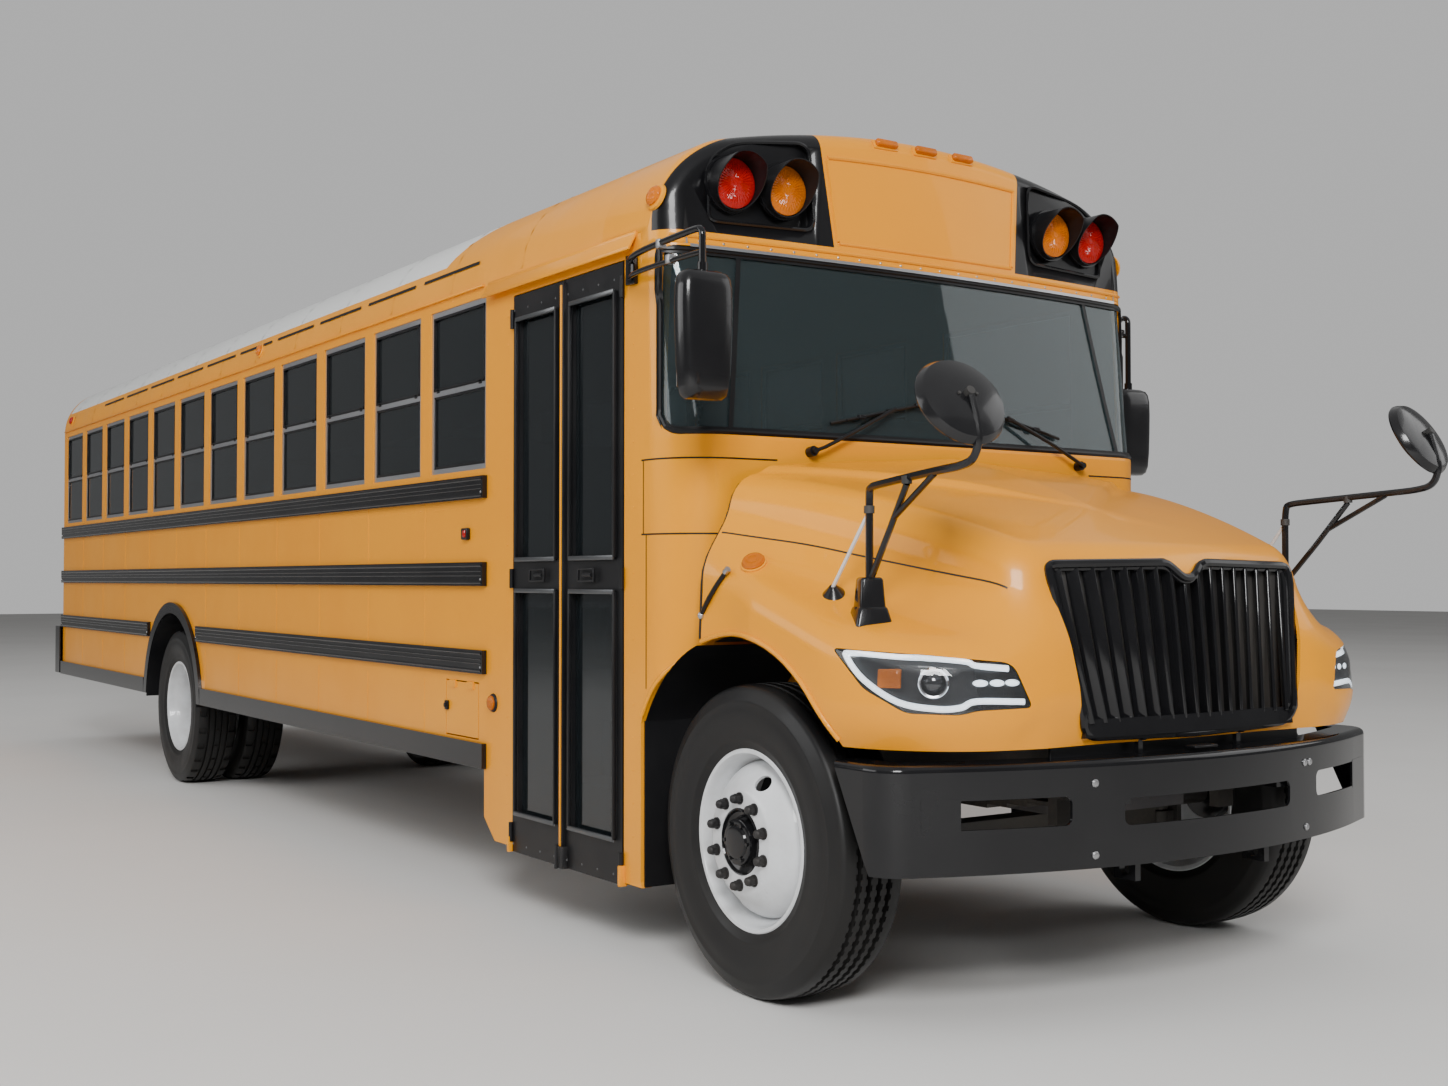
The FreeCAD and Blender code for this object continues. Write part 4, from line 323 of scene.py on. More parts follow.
def emboss(tree, height, distance, strength=1.0):
    """A bump from a height, on the shader's normal."""
    relief = feed(tree, tree.nodes.new("ShaderNodeBump"),
                  {"Strength": strength, "Distance": distance, "Height": height})
    feed(tree, tree.nodes["Principled BSDF"], {"Normal": relief.outputs["Normal"]})


def paint_over(material, mask, colour):
    """Mixes a second colour into the base where the mask is 1."""
    tree = material.node_tree
    base = tree.nodes["Principled BSDF"].inputs["Base Color"]
    tree.links.new(mix_colour(tree, mask, base.links[0].from_socket, colour), base)


def finish(name, colour, second=None, roughness=(0.3, 0.4), metallic=0.0, coat=0.0,
           bump=0.0, grain_scale=300.0, cloud_scale=3.0, dust_top=0.0, dust_amount=0.5,
           ior=1.5, transmission=0.0, specular=0.5):
    """A material with drifting colour and roughness, grain and dust."""
    material = bpy.data.materials.new(name)
    material.use_nodes = True
    tree = material.node_tree
    texture = tree.nodes.new("ShaderNodeGroup")
    texture.node_tree = grain
    feed(tree, texture, {"Scale": grain_scale, "Cloud scale": cloud_scale})
    clouds = ramp_between(tree, texture.outputs["Clouds"], 0.35, 0.65)
    base = mix_colour(tree, clouds, (*colour, 1), (*(second or colour), 1))
    rough = feed(tree, tree.nodes.new("ShaderNodeMapRange"), {
        "Value": clouds, "To Min": roughness[0], "To Max": roughness[1]}).outputs["Result"]
    if dust_top > 0:
        film = tree.nodes.new("ShaderNodeGroup")
        film.node_tree = dust
        mask = feed(tree, film, {"Top": dust_top, "Amount": dust_amount}).outputs["Mask"]
        base = mix_colour(tree, mask, base, DUST_COLOUR)
        rough = maths(tree, "ADD", rough, maths(tree, "MULTIPLY", mask, 0.5))
    feed(tree, tree.nodes["Principled BSDF"], {
        "Metallic": metallic, "Coat Weight": coat, "Coat Roughness": 0.04, "IOR": ior,
        "Specular IOR Level": specular, "Transmission Weight": transmission,
        "Base Color": base, "Roughness": rough})
    if bump > 0:
        emboss(tree, texture.outputs["Height"], bump)
    return material


# %% The bus's finishes
def yellow_paint(name):
    return finish(name, (0.88, 0.335, 0.0), (0.84, 0.31, 0.0), (0.28, 0.38), coat=0.22,
                  bump=0.00004, grain_scale=420, cloud_scale=1.5, dust_top=0.8, dust_amount=0.08,
                  specular=0.25)


yellow = yellow_paint("body_yellow")
white_roof = finish("roof_white", (0.78, 0.79, 0.78), (0.7, 0.71, 0.7), (0.4, 0.55), coat=0.1,
                    bump=0.00005, grain_scale=300)
gloss_black = finish("trim_black", (0.006, 0.006, 0.007), (0.010, 0.010, 0.011), (0.08, 0.13),
                     coat=0.12, bump=0.00004, grain_scale=400, dust_top=0.6, dust_amount=0.03,
                     specular=0.3)
satin_black = finish("satin_black", (0.007, 0.007, 0.008), (0.011, 0.011, 0.012), (0.3, 0.45),
                     bump=0.00008, grain_scale=500, dust_top=0.6, dust_amount=0.04, specular=0.25)
chassis_black = finish("chassis_black", (0.02, 0.02, 0.021), (0.045, 0.042, 0.04), (0.5, 0.7),
                       bump=0.0004, grain_scale=120, dust_top=1.6, dust_amount=0.6)
nut_metal = finish("nut_metal", (0.03, 0.03, 0.032), (0.055, 0.052, 0.05), (0.4, 0.6), metallic=0.7,
                   bump=0.0004, grain_scale=200)
white_lens = finish("lens_white", (0.75, 0.76, 0.78), None, (0.08, 0.15), coat=0.5)
casting = finish("cast_iron", (0.05, 0.05, 0.05), (0.09, 0.085, 0.08), (0.55, 0.75), metallic=0.6,
                 bump=0.0008, grain_scale=160, dust_top=1.0, dust_amount=0.6)
engine_grey = finish("engine_grey", (0.1, 0.1, 0.11), (0.16, 0.15, 0.15), (0.5, 0.7), metallic=0.5,
                     bump=0.0008, grain_scale=120, dust_top=1.2, dust_amount=0.5)
steel = finish("bright_steel", (0.5, 0.5, 0.51), (0.4, 0.4, 0.41), (0.28, 0.42), metallic=1.0,
               bump=0.00008, grain_scale=600)
pipe_steel = finish("exhaust_steel", (0.36, 0.34, 0.32), (0.22, 0.16, 0.12), (0.4, 0.65),
                    metallic=0.9, bump=0.0003, grain_scale=90, dust_top=1.1)
rubber = finish("tyre_rubber", (0.007, 0.007, 0.0075), (0.012, 0.0115, 0.011), (0.38, 0.55),
                bump=0.0003, grain_scale=260, dust_top=0.5, dust_amount=0.05, specular=0.3)
wheel_white = finish("wheel_white", (0.72, 0.74, 0.76), (0.62, 0.63, 0.64), (0.25, 0.4), coat=0.35,
                     bump=0.00006, grain_scale=300, cloud_scale=9, dust_top=1.2, dust_amount=0.25)
sash = finish("sash_aluminium", (0.5, 0.51, 0.53), (0.42, 0.43, 0.45), (0.28, 0.4), metallic=0.9,
              bump=0.00008, grain_scale=500)
vinyl = finish("seat_vinyl", (0.05, 0.065, 0.09), (0.06, 0.075, 0.1), (0.45, 0.6), bump=0.0006,
               grain_scale=240)
plastic = finish("cabin_plastic", (0.03, 0.03, 0.033), (0.04, 0.04, 0.043), (0.5, 0.65),
                 bump=0.0004, grain_scale=420)
floor_rubber = finish("floor_rubber", (0.02, 0.02, 0.021), (0.035, 0.033, 0.03), (0.6, 0.8),
                      bump=0.0005, grain_scale=200)
mirror_black = finish("mirror_black", (0.007, 0.007, 0.008), (0.012, 0.012, 0.013), (0.15, 0.28),
                      coat=0.25, bump=0.0001, grain_scale=500, specular=0.3)
red_paint = finish("stop_red", (0.5, 0.01, 0.012), (0.42, 0.008, 0.01), (0.25, 0.35), coat=0.4)
white_paint = finish("stop_white", (0.75, 0.75, 0.74), (0.68, 0.68, 0.67), (0.3, 0.45))
silver = finish("reflector_silver", (0.85, 0.85, 0.86), (0.8, 0.8, 0.81), (0.06, 0.14),
                metallic=1.0)
mirror_glass = finish("mirror_glass", (0.88, 0.89, 0.9), (0.86, 0.87, 0.88), (0.01, 0.03),
                      metallic=1.0)
dark_housing = finish("lamp_housing", (0.01, 0.011, 0.013), (0.016, 0.017, 0.02), (0.25, 0.35),
                      coat=0.3)
projector_glass = finish("projector_glass", (0.012, 0.014, 0.017), (0.018, 0.02, 0.024),
                         (0.02, 0.05), coat=1.0)
dark_strip = finish("glazing_strip", (0.16, 0.165, 0.17), (0.12, 0.125, 0.13), (0.3, 0.42),
                    metallic=0.9, bump=0.00008, grain_scale=500)


# %% [markdown]
# Glass keeps a plain transmission. The side windows are a deep grey tint that reads almost black
# from outside; the windshield is lighter with a green cast. Lamp lenses are coloured plastic:
# mostly opaque red or amber from a distance, with a ribbed face that breaks up the highlight.

# %% Glass and lenses
def pane(name, colour, roughness=0.02, transmission=0.92):
    """Tinted glass: plain transmission, and only its roughness drifts."""
    return finish(name, colour, None, (roughness, roughness + 0.02), transmission=transmission,
                  ior=1.5)


tinted_glass = pane("tinted_glass", (0.085, 0.11, 0.125))
clear_glass = pane("windshield_glass", (0.20, 0.28, 0.30))
lens_clear = pane("lens_clear", (0.9, 0.92, 0.94), 0.01, 0.98)


def lens(name, colour, glow, cell_scale=90.0):
    """Ribbed coloured lens that glows a little, as plastic does in daylight."""
    material = finish(name, colour, tuple(c * 0.7 for c in colour), (0.1, 0.25), coat=0.12,
                      specular=0.25)
    tree = material.node_tree
    cells = feed(tree, tree.nodes.new("ShaderNodeTexVoronoi"), {
        "Scale": cell_scale, "Vector": tree.nodes.new("ShaderNodeTexCoord").outputs["Object"]})
    emboss(tree, cells.outputs["Distance"], 0.002, 0.8)
    feed(tree, tree.nodes["Principled BSDF"],
         {"Emission Color": (*colour, 1), "Emission Strength": glow})
    return material


amber_lens = lens("lens_amber", (0.62, 0.15, 0.0), 0.05)
red_lens = lens("lens_red", (0.42, 0.006, 0.004), 0.03)
light_guide = lens("light_guide", (0.85, 0.93, 1.0), 1.7, 200)


# %% [markdown]
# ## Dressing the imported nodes
# Every node that stays in view takes a finish by its material slot. The roof is one solid but
# two colours: the front section stays yellow back to a slanting line, and so do the edges
# beside the gutters, so its material picks the colour from the place on the roof.

# %% The roof's two colours
def roof_finish():
    """White over the crown, yellow at the front and along the gutters."""
    material = finish("roof_two_colours", (0.78, 0.79, 0.78), (0.72, 0.73, 0.72), (0.35, 0.5),
                      coat=0.15, bump=0.00005)
    tree = material.node_tree
    _, axes = object_places(tree)
    slant = maths(tree, "MULTIPLY", maths(tree, "MULTIPLY", axes["X"], axes["X"]), ROOF_SLANT)
    front = maths(tree, "LESS_THAN", maths(tree, "SUBTRACT", axes["Y"], slant),
                  at(ROOF_SPLIT_MIDDLE))
    gutter = maths(tree, "LESS_THAN", axes["Z"], ROOF_EDGE_Z)
    paint_over(material, maths(tree, "MAXIMUM", front, gutter), (0.87, 0.33, 0.002, 1))
    return material


def lined(material, upward, end=0):
    """Pale lining on the faces that look into the cabin, above its floor."""
    tree = material.node_tree
    facing = feed(tree, tree.nodes.new("ShaderNodeSeparateXYZ"), {
        0: tree.nodes.new("ShaderNodeNewGeometry").outputs["Normal"]}).outputs
    _, axes = object_places(tree)
    across = maths(tree, "MULTIPLY", facing["X"], axes["X"])
    above = maths(tree, "SUBTRACT", axes["Z"], 1.9)
    rise = maths(tree, "MULTIPLY", maths(tree, "MULTIPLY", facing["Z"], above), upward)
    mask = maths(tree, "LESS_THAN", maths(tree, "ADD", across, rise), -0.25)
    if end:
        back = maths(tree, "GREATER_THAN", maths(tree, "MULTIPLY", facing["Y"], end), 0.6)
        mask = maths(tree, "MAXIMUM", mask, back)
    mask = maths(tree, "MULTIPLY", mask, maths(tree, "GREATER_THAN", axes["Z"], LINING_LOW))
    paint_over(material, mask, (0.34, 0.35, 0.35, 1))
    return material


ROOF_SPLIT_MIDDLE, ROOF_SLANT, ROOF_EDGE_Z = 1.2, 0.9, 2.815
LINING_LOW = 1.01
white_and_yellow = lined(roof_finish(), 1.0)

# %% Finishes by slot
finishes = {
    "body_yellow": yellow, "roof_white": white_and_yellow, "trim_black": gloss_black,
    "chassis_black": chassis_black, "cast_iron": casting, "bright_steel": steel,
    "exhaust_steel": pipe_steel, "tyre_rubber": rubber, "wheel_white": wheel_white,
    "sash_aluminium": sash, "tinted_glass": tinted_glass, "clear_glass": clear_glass,
    "door_black": satin_black, "seat_vinyl": vinyl, "cabin_plastic": plastic,
    "floor_rubber": floor_rubber, "lamp_lens": amber_lens, "headlamp_lens": lens_clear,
    "mirror_black": mirror_black, "stop_red": red_paint, "engine_grey": engine_grey,
}
for name, node in nodes.items():
    for place, held in enumerate(node.data.materials):
        found = held.name.split(".")[0] if held else ""
        if found in finishes:
            node.data.materials[place] = finishes[found]
        else:
            print("no finish for", name, found)

# the walls are pale inside
wall_yellow = lined(yellow_paint("wall_yellow"), 0.0)
back_yellow = lined(yellow_paint("rear_wall_yellow"), 0.0, -1)
cowl_yellow = lined(yellow_paint("cowl_yellow"), 0.0, 1)
for name, paint in (("left_wall", wall_yellow), ("right_wall", wall_yellow),
                    ("rear_wall", back_yellow), ("emergency_door", back_yellow),
                    ("cowl", cowl_yellow)):
    held = nodes[name].data.materials
    for place, old in enumerate(held):
        if old == yellow:
            held[place] = paint


# %% [markdown]
# ## The hood's shape
# A real hood is one moulded shell: a raised centre that ends in the nose, and a fender on each
# side, run together with soft fillets. A cage of a few faces and a subdivision modifier could do
# it, but the fillets would drift. Here the shape is a distance field: half spaces for the top,
# sides and nose, joined by round corners, and a fillet where the centre meets the fender. A grid
# is then pushed outwards until it lies on the zero level. Each radius is one named value.

# %% Distance field of the hood
HOOD_WIDE = 1.055          # half width of the centre part at its rear
FENDER_WIDE = 1.178
NOSE_CORNER = 0.48         # plan radius of the fender's front corner
SHOULDER = 0.095            # radius from the top to the side of the centre part
NOSE_EDGE = 0.075
FENDER_EDGE = 0.085
VALLEY = 0.15              # fillet between the centre and the fender
TUCK_Z = 0.965             # the skin turns under below this height


def round_corner(a, b, radius):
    """Inside both half spaces, with their shared edge rounded."""
    reach = np.hypot(np.maximum(a + radius, 0), np.maximum(b + radius, 0))
    return np.minimum(np.maximum(a, b), -radius) + reach


def round_valley(a, b, radius):
    """Inside either shape, with a fillet where they meet."""
    reach = np.hypot(np.maximum(radius - a, 0), np.maximum(radius - b, 0))
    return np.maximum(np.minimum(a, b), radius) - reach


def hood_field(points):
    """Signed distance to the hood skin; points are rows of x, y, z in metres."""
    x, y, z = np.abs(points[:, 0]), points[:, 1] - axle_y, points[:, 2]
    inside = 0.70 + (y - 0.1) * 1.23 - x
    bulge = 0.024 * np.clip(inside / 0.05 + 0.5, 0, 1) * np.clip((y + 0.5) / 0.35, 0, 1)
    top = (z - (1.757 + 0.23 * y - 0.115 * y * y) + 0.035 * (x / 0.8) ** 2 - bulge) * 0.96
    side = 0.939 * (x - HOOD_WIDE) - 0.344 * (y - 0.25) + 0.11 * (z - 1.5)
    nose = (-0.86 - 0.123 * (1.43 - z) + 0.14 * x * x - y) * 0.99
    fender_side = x - FENDER_WIDE + 0.12 * np.clip(y + 0.05, 0, 0.4)
    fender_nose = -0.885 - 0.1 * (1.05 - z) + 0.5 * np.maximum(0.8 - x, 0) ** 2 - y
    fender_top = (z - (1.262 + 0.33 * (y + 0.5) - 0.25 * (x - 1.02))) * 0.92
    centre_plan = round_corner(side, nose, NOSE_EDGE)
    fender_plan = round_corner(fender_side, fender_nose, NOSE_CORNER)
    centre = round_corner(round_corner(top, side, SHOULDER), nose, NOSE_EDGE)
    fender = round_corner(fender_plan, fender_top, FENDER_EDGE)
    shell = round_valley(centre, fender, VALLEY)
    tuck = 0.906 * round_valley(centre_plan, fender_plan, 0.08) + 0.423 * (TUCK_Z - z)
    return round_corner(shell, tuck, 0.02)


HOOD_HEART = np.array((0.0, axle_y - 0.1, 1.0))


def push_to_hood(points, heart=HOOD_HEART):
    """Moves points along rays from the heart of the hood until they lie on its skin."""
    rays = points - heart
    rays /= np.linalg.norm(rays, axis=1)[:, None]
    near, far = np.full(len(rays), 0.05), np.full(len(rays), 2.4)
    for _ in range(34):
        middle = (near + far) / 2
        outside = hood_field(heart + rays * middle[:, None]) > 0
        far = np.where(outside, middle, far)
        near = np.where(outside, near, middle)
    return heart + rays * near[:, None]


def on_hood(place, lift=0.0):
    """The nearest point of the hood skin and the outward direction there."""
    point = np.array([place], float)
    step = 1e-4
    for _ in range(12):
        value = hood_field(point)
        slope = np.array([(hood_field(point + step * axis) - hood_field(point - step * axis))[0]
                          for axis in np.eye(3)]) / (2 * step)
        slope /= max(np.linalg.norm(slope), 1e-9)
        point -= value * slope
    return Vector(point[0] + slope * lift), Vector(slope)


# %% A grid pushed onto the field becomes the hood skin
def hood_grid(spacing=0.017):
    """The open skin: a box without its back and bottom, subdivided and pushed out."""
    bm = bmesh.new()
    low, high = Vector((-1.2, at(-0.95), 0.80)), Vector((1.2, at(0.36), 1.8))
    middle, size = (low + high) / 2, high - low
    for axis, sign, across, up in (("z", 1, "x", "y"), ("y", -1, "x", "z"),
                                   ("x", -1, "y", "z"), ("x", 1, "y", "z")):
        a, b = getattr(size, across), getattr(size, up)
        made = bmesh.ops.create_grid(bm, x_segments=round(a / spacing),
                                     y_segments=round(b / spacing), size=0.5)["verts"]
        for vert in made:
            u, v = vert.co.x * a, vert.co.y * b
            place = middle.copy()
            setattr(place, axis, getattr(middle, axis) + sign * getattr(size, axis) / 2)
            setattr(place, across, getattr(middle, across) + u)
            setattr(place, up, getattr(middle, up) + v)
            vert.co = place
    bmesh.ops.remove_doubles(bm, verts=bm.verts, dist=1e-5)
    places = push_to_hood(np.array([vert.co for vert in bm.verts]))
    for vert, place in zip(bm.verts, places):
        vert.co = place
    bmesh.ops.remove_doubles(bm, verts=bm.verts, dist=1e-5)
    for point, normal in (((0, at(0.262), 0), (0, 1, 0)), ((0, 0, 0.872), (0, 0, -1))):
        bmesh.ops.bisect_plane(bm, geom=bm.verts[:] + bm.edges[:] + bm.faces[:], plane_co=point,
                               plane_no=normal, clear_outer=True)
    bmesh.ops.recalc_face_normals(bm, faces=bm.faces)
    if sum(face.normal.z for face in bm.faces) < 0:
        bmesh.ops.reverse_faces(bm, faces=bm.faces)
    return bm


def prism_cutter(name, corners, direction, depth):
    """A closed prism: the corners, and the same corners moved along a direction."""
    bm = bmesh.new()
    face = bm.faces.new([bm.verts.new(corner) for corner in corners])
    grown = bmesh.ops.extrude_face_region(bm, geom=[face])["geom"]
    moved = [item for item in grown if isinstance(item, bmesh.types.BMVert)]
    bmesh.ops.translate(bm, verts=moved, vec=Vector(direction).normalized() * depth)
    bmesh.ops.recalc_face_normals(bm, faces=bm.faces)
    return as_object(bm, name)


def smooth_corners(points, radius, steps=5):
    """A closed outline with each corner replaced by a short curve."""
    points = [Vector(point) for point in points]
    smooth = []
    for before, corner, after in zip(points[-1:] + points[:-1], points, points[1:] + points[:1]):
        start = corner + (before - corner).normalized() * min(
            radius, (before - corner).length / 2.1)
        end = corner + (after - corner).normalized() * min(radius, (after - corner).length / 2.1)
        for step in range(steps + 1):
            t = step / steps
            smooth.append(start * (1 - t) ** 2 + corner * 2 * t * (1 - t) + end * t * t)
    return smooth


def boolean(piece, cutter, operation="DIFFERENCE"):
    change = piece.modifiers.new(cutter.name, "BOOLEAN")
    change.operation = operation
    change.solver = "EXACT"
    change.object = cutter


def discard(objects):
    for item in objects:
        bpy.data.objects.remove(item)


# %% [markdown]
# The lamp looks out diagonally, so its outline is drawn on a plane that faces that way and cut
# straight through the skin. The grille opening is cut along the bus. Each wheel opening is a
# cylinder across it.

# %% Cutters for the openings
LAMP_HEART = Vector((-1.0, at(-0.75), 1.08))
LAMP_OUT = Vector((-0.62, -0.78, 0)).normalized()
LAMP_ACROSS = Vector((0.78, -0.62, 0)).normalized()
# (across, height) round the lamp, from its outer tip along the top
LAMP_OUTLINE = ((-0.30, 1.177), (-0.014, 1.160), (0.225, 1.138), (0.252, 1.120), (0.305, 1.000),
                (0.135, 0.995), (0.085, 0.982), (-0.078, 0.986), (-0.205, 1.056))


def lamp_place(across, height, out=0.0, side=-1):
    """A place by the lamp from its flat outline, on the curb side or mirrored."""
    place = LAMP_HEART + LAMP_ACROSS * across + LAMP_OUT * out
    return Vector((-side * place.x, place.y, height))


def lamp_on_skin(across, height, lift=0.0, side=-1):
    """The same place pushed along the lamp's direction to the skin."""
    points = np.array([tuple(lamp_place(across, height, 1.0))])
    heart = np.array(tuple(lamp_place(across, height, -0.4)))
    hit = Vector(push_to_hood(points, heart)[0]) + LAMP_OUT * lift
    return Vector((-side * hit.x, hit.y, hit.z))


lamp_outline = [(p.x, p.y) for p in smooth_corners([(a, h, 0) for a, h in LAMP_OUTLINE], 0.022)]
cutters = []
for side in (-1, 1):
    corners = [lamp_place(a, h, -0.16, side) for a, h in lamp_outline]
    ahead = Vector((LAMP_OUT.x * -side, LAMP_OUT.y, 0))
    cutters.append(prism_cutter("lamp_cut_%d" % side, corners, ahead, 0.5))

# (x, height) of half the grille opening, from the notch round to the bottom
GRILLE_HALF = ((0.0, 1.392), (0.030, 1.396), (0.085, 1.442), (0.585, 1.434), (0.592, 1.40),
               (0.512, 0.925), (0.47, 0.898), (0.0, 0.890))
grille_loop = [*GRILLE_HALF] + [(-x, z) for x, z in reversed(GRILLE_HALF) if x > 0]
grille_outline = [(p.x, p.y) for p in smooth_corners([(x, z, 0) for x, z in grille_loop], 0.03)]
grille_cut = prism_cutter("grille_cut", [(x, at(-1.1), z) for x, z in grille_outline],
                          (0, 1, 0), 0.5)


def arch_cutter(name, side, y, z, radius, deep):
    bm = bmesh.new()
    bar(bm, (side * 1.3, at(y), z), (side * (1.3 - deep), at(y), z), radius, 96)
    return as_object(bm, name)


ARCH_Y, ARCH_Z, ARCH_RADIUS = 0.060, 0.580, 0.620
arch_cuts = [arch_cutter("arch_cut_%d" % side, side, ARCH_Y, ARCH_Z, ARCH_RADIUS, 0.62)
             for side in (-1, 1)]

# %% The hood skin, cut and baked
hood_piece = close_piece(hood_grid(), "hood_skin", "hood", yellow, normals=False)
shell = hood_piece.modifiers.new("shell", "SOLIDIFY")
shell.thickness = 0.012
shell.offset = -1
shell.use_even_offset = False
for cutter in cutters + [grille_cut] + arch_cuts:
    boolean(hood_piece, cutter)
bake_modifiers(hood_piece)
sharpen(hood_piece, 40)
discard([grille_cut] + arch_cuts)
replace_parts(hood_piece, "hood")
print("hood faces", len(hood_piece.data.polygons))


# %% [markdown]
# Panel seams are dark lines with a little width. Each follows a few places, is smoothed, laid on
# the skin and given a direction across it, so that it reads as a gap from any side.

# %% Seam lines on the hood
def smooth_path(points, steps=8):
    """A Catmull-Rom curve through the points."""
    points = [Vector(p) for p in points]
    path = [points[0] * 2 - points[1]] + points + [points[-1] * 2 - points[-2]]
    curve = []
    for a, b, c, d in zip(path, path[1:], path[2:], path[3:]):
        for step in range(steps):
            t = step / steps
            curve.append(0.5 * ((2 * b) + (c - a) * t + (2 * a - 5 * b + 4 * c - d) * t * t
                                + (3 * b - a - 3 * c + d) * t ** 3))
    return curve + [points[-1]]


def ribbon(bm, pairs, width, lift=0.0006):
    """A thin strip over a surface; each pair is a place and its normal, or None for a miss."""
    pairs = [pair for pair in pairs if pair]
    if len(pairs) < 4:
        return
    rows = []
    for index, (place, normal) in enumerate(pairs):
        ahead = pairs[min(index + 1, len(pairs) - 1)][0] - pairs[max(index - 1, 0)][0]
        across = ahead.cross(normal).normalized() * width / 2
        rows.append([bm.verts.new(place + normal * lift - across),
                     bm.verts.new(place + normal * lift + across)])
    for (a, b), (c, d) in zip(rows, rows[1:]):
        bm.faces.new((a, c, d, b))


def hood_ribbon(bm, points, width=0.005, lift=0.0008):
    ribbon(bm, [on_hood(point) for point in smooth_path(points)], width, lift)


seams = bmesh.new()
for side in (-1, 1):
    hood_ribbon(seams, [(side * x, at(y), z) for x, y, z in (
        (1.066, 0.262, 1.535), (0.975, -0.05, 1.512), (0.900, -0.30, 1.470), (0.822, -0.55, 1.424),
        (0.752, -0.77, 1.383), (0.735, -0.80, 1.372))], 0.006)
close_piece(seams, "hood_seams", "hood", dark_housing, normals=False)
discard(cutters)


# %% [markdown]
# ## Headlamps
# A lamp unit is a deep dark housing behind a clear cover. The cover is cut from the same field as
# the hood, so it carries on the fender's curve. Inside are a white light guide that runs round
# the housing, a projector in a chrome ring, an amber reflector and three small diodes.

# %% Housing and cover
LAMP_DEEP = 0.075


def lamp_loop(side, inset, lift):
    """The lamp's outline, drawn in by a share of its size and laid on the skin."""
    middle = Vector((0.02, 1.075))
    flats = [middle + (Vector(place) - middle) * (1 - inset) for place in lamp_outline]
    return [lamp_on_skin(flat.x, flat.y, lift, side) for flat in flats]


def fan_surface(bm, side, lift, inset, rings=6):
    """The outline filled by shrinking rings that lie on the skin."""
    loops = []
    for ring in range(rings):
        share = inset + (1 - inset) * ring / rings
        loops.append([bm.verts.new(place) for place in lamp_loop(side, share, lift)])
    join_rows(bm, loops)
    bm.faces.new(loops[-1])
    return loops[0]


housing, cover = blanks(2)
for side in (-1, 1):
    rim = fan_surface(housing, side, -LAMP_DEEP, 0.02)
    wall = [housing.verts.new(place) for place in lamp_loop(side, 0.01, -0.006)]
    join_rows(housing, [rim, wall])
    fan_surface(cover, side, -0.003, 0.012, 8)
close_piece(housing, "headlamp_housings", "hood", dark_housing, 50)
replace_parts(close_piece(cover, "headlamp_covers", "hood", lens_clear, 60),
            "headlamps")

# %% Light guide, projector, reflector and diodes
GUIDE = ((0.228, 1.117), (0.132, 1.126), (0.090, 1.140), (-0.10, 1.152), (-0.235, 1.160),
         (-0.252, 1.150), (-0.200, 1.082), (-0.098, 1.018), (0.015, 1.000), (0.085, 1.004),
         (0.132, 1.022), (0.276, 1.018))
guides, bright, amber_parts, diodes, bowls = blanks(5)
for side in (-1, 1):
    outward = Vector((LAMP_OUT.x * -side, LAMP_OUT.y, 0))
    path = smooth_path([(a, h, 0) for a, h in GUIDE], 5)
    tube(guides, [lamp_on_skin(p.x, p.y, -0.020, side) for p in path], 0.0095, 12, 2)
    eye, ahead = on_hood(lamp_on_skin(0.004, 1.077, 0, side))
    eye -= ahead * 0.046
    turn = frame_of(ahead)
    circle = [eye + ahead * 0.026 + turn @ Vector((0.041 * math.cos(a), 0.041 * math.sin(a), 0))
              for a in np.linspace(0, math.tau, 33)]
    tube(bright, circle, 0.0048, 10, 2)
    turned(bowls, ((0.020, 0.038), (-0.004, 0.040), (-0.018, 0.044), (-0.018, 0.0)), eye, ahead, 36)
    ball(bowls, eye + ahead * 0.004, 0.035, (1, 1, 0.5), turn, 28)
    spot, ahead = on_hood(lamp_on_skin(-0.134, 1.088, 0, side))
    slab(amber_parts, spot - ahead * 0.036, frame_of(ahead), (0.072, 0.056, 0.012), 0.005, 3)
    for across in (0.142, 0.192, 0.238):
        spot = lamp_on_skin(across, 1.074, -0.040, side)
        ball(diodes, spot, 0.021, (1.1, 0.45, 0.5), Matrix.Rotation(
            math.atan2(outward.x, -outward.y), 4, "Z"), 16)
close_piece(guides, "headlamp_light_guides", "hood", light_guide)
close_piece(bright, "projector_rings", "hood", silver, 50)
close_piece(bowls, "projector_lenses", "hood", projector_glass, 60)
close_piece(amber_parts, "amber_reflectors", "hood", amber_lens)
close_piece(diodes, "headlamp_diodes", "hood", light_guide)


# %% [markdown]
# ## Grille
# Upright vanes stand in a rounded frame that leans and bows with the nose. Each vane follows the
# nose's field at its own place, so the row bows too.

# %% Grille frame, vanes and backing
def nose_y(x, z):
    """Y of the hood's nose at a place, seen from ahead."""
    return float(push_to_hood(np.array([(x, at(-1.2), z)]), np.array((x, at(-0.4), z)))[0][1])


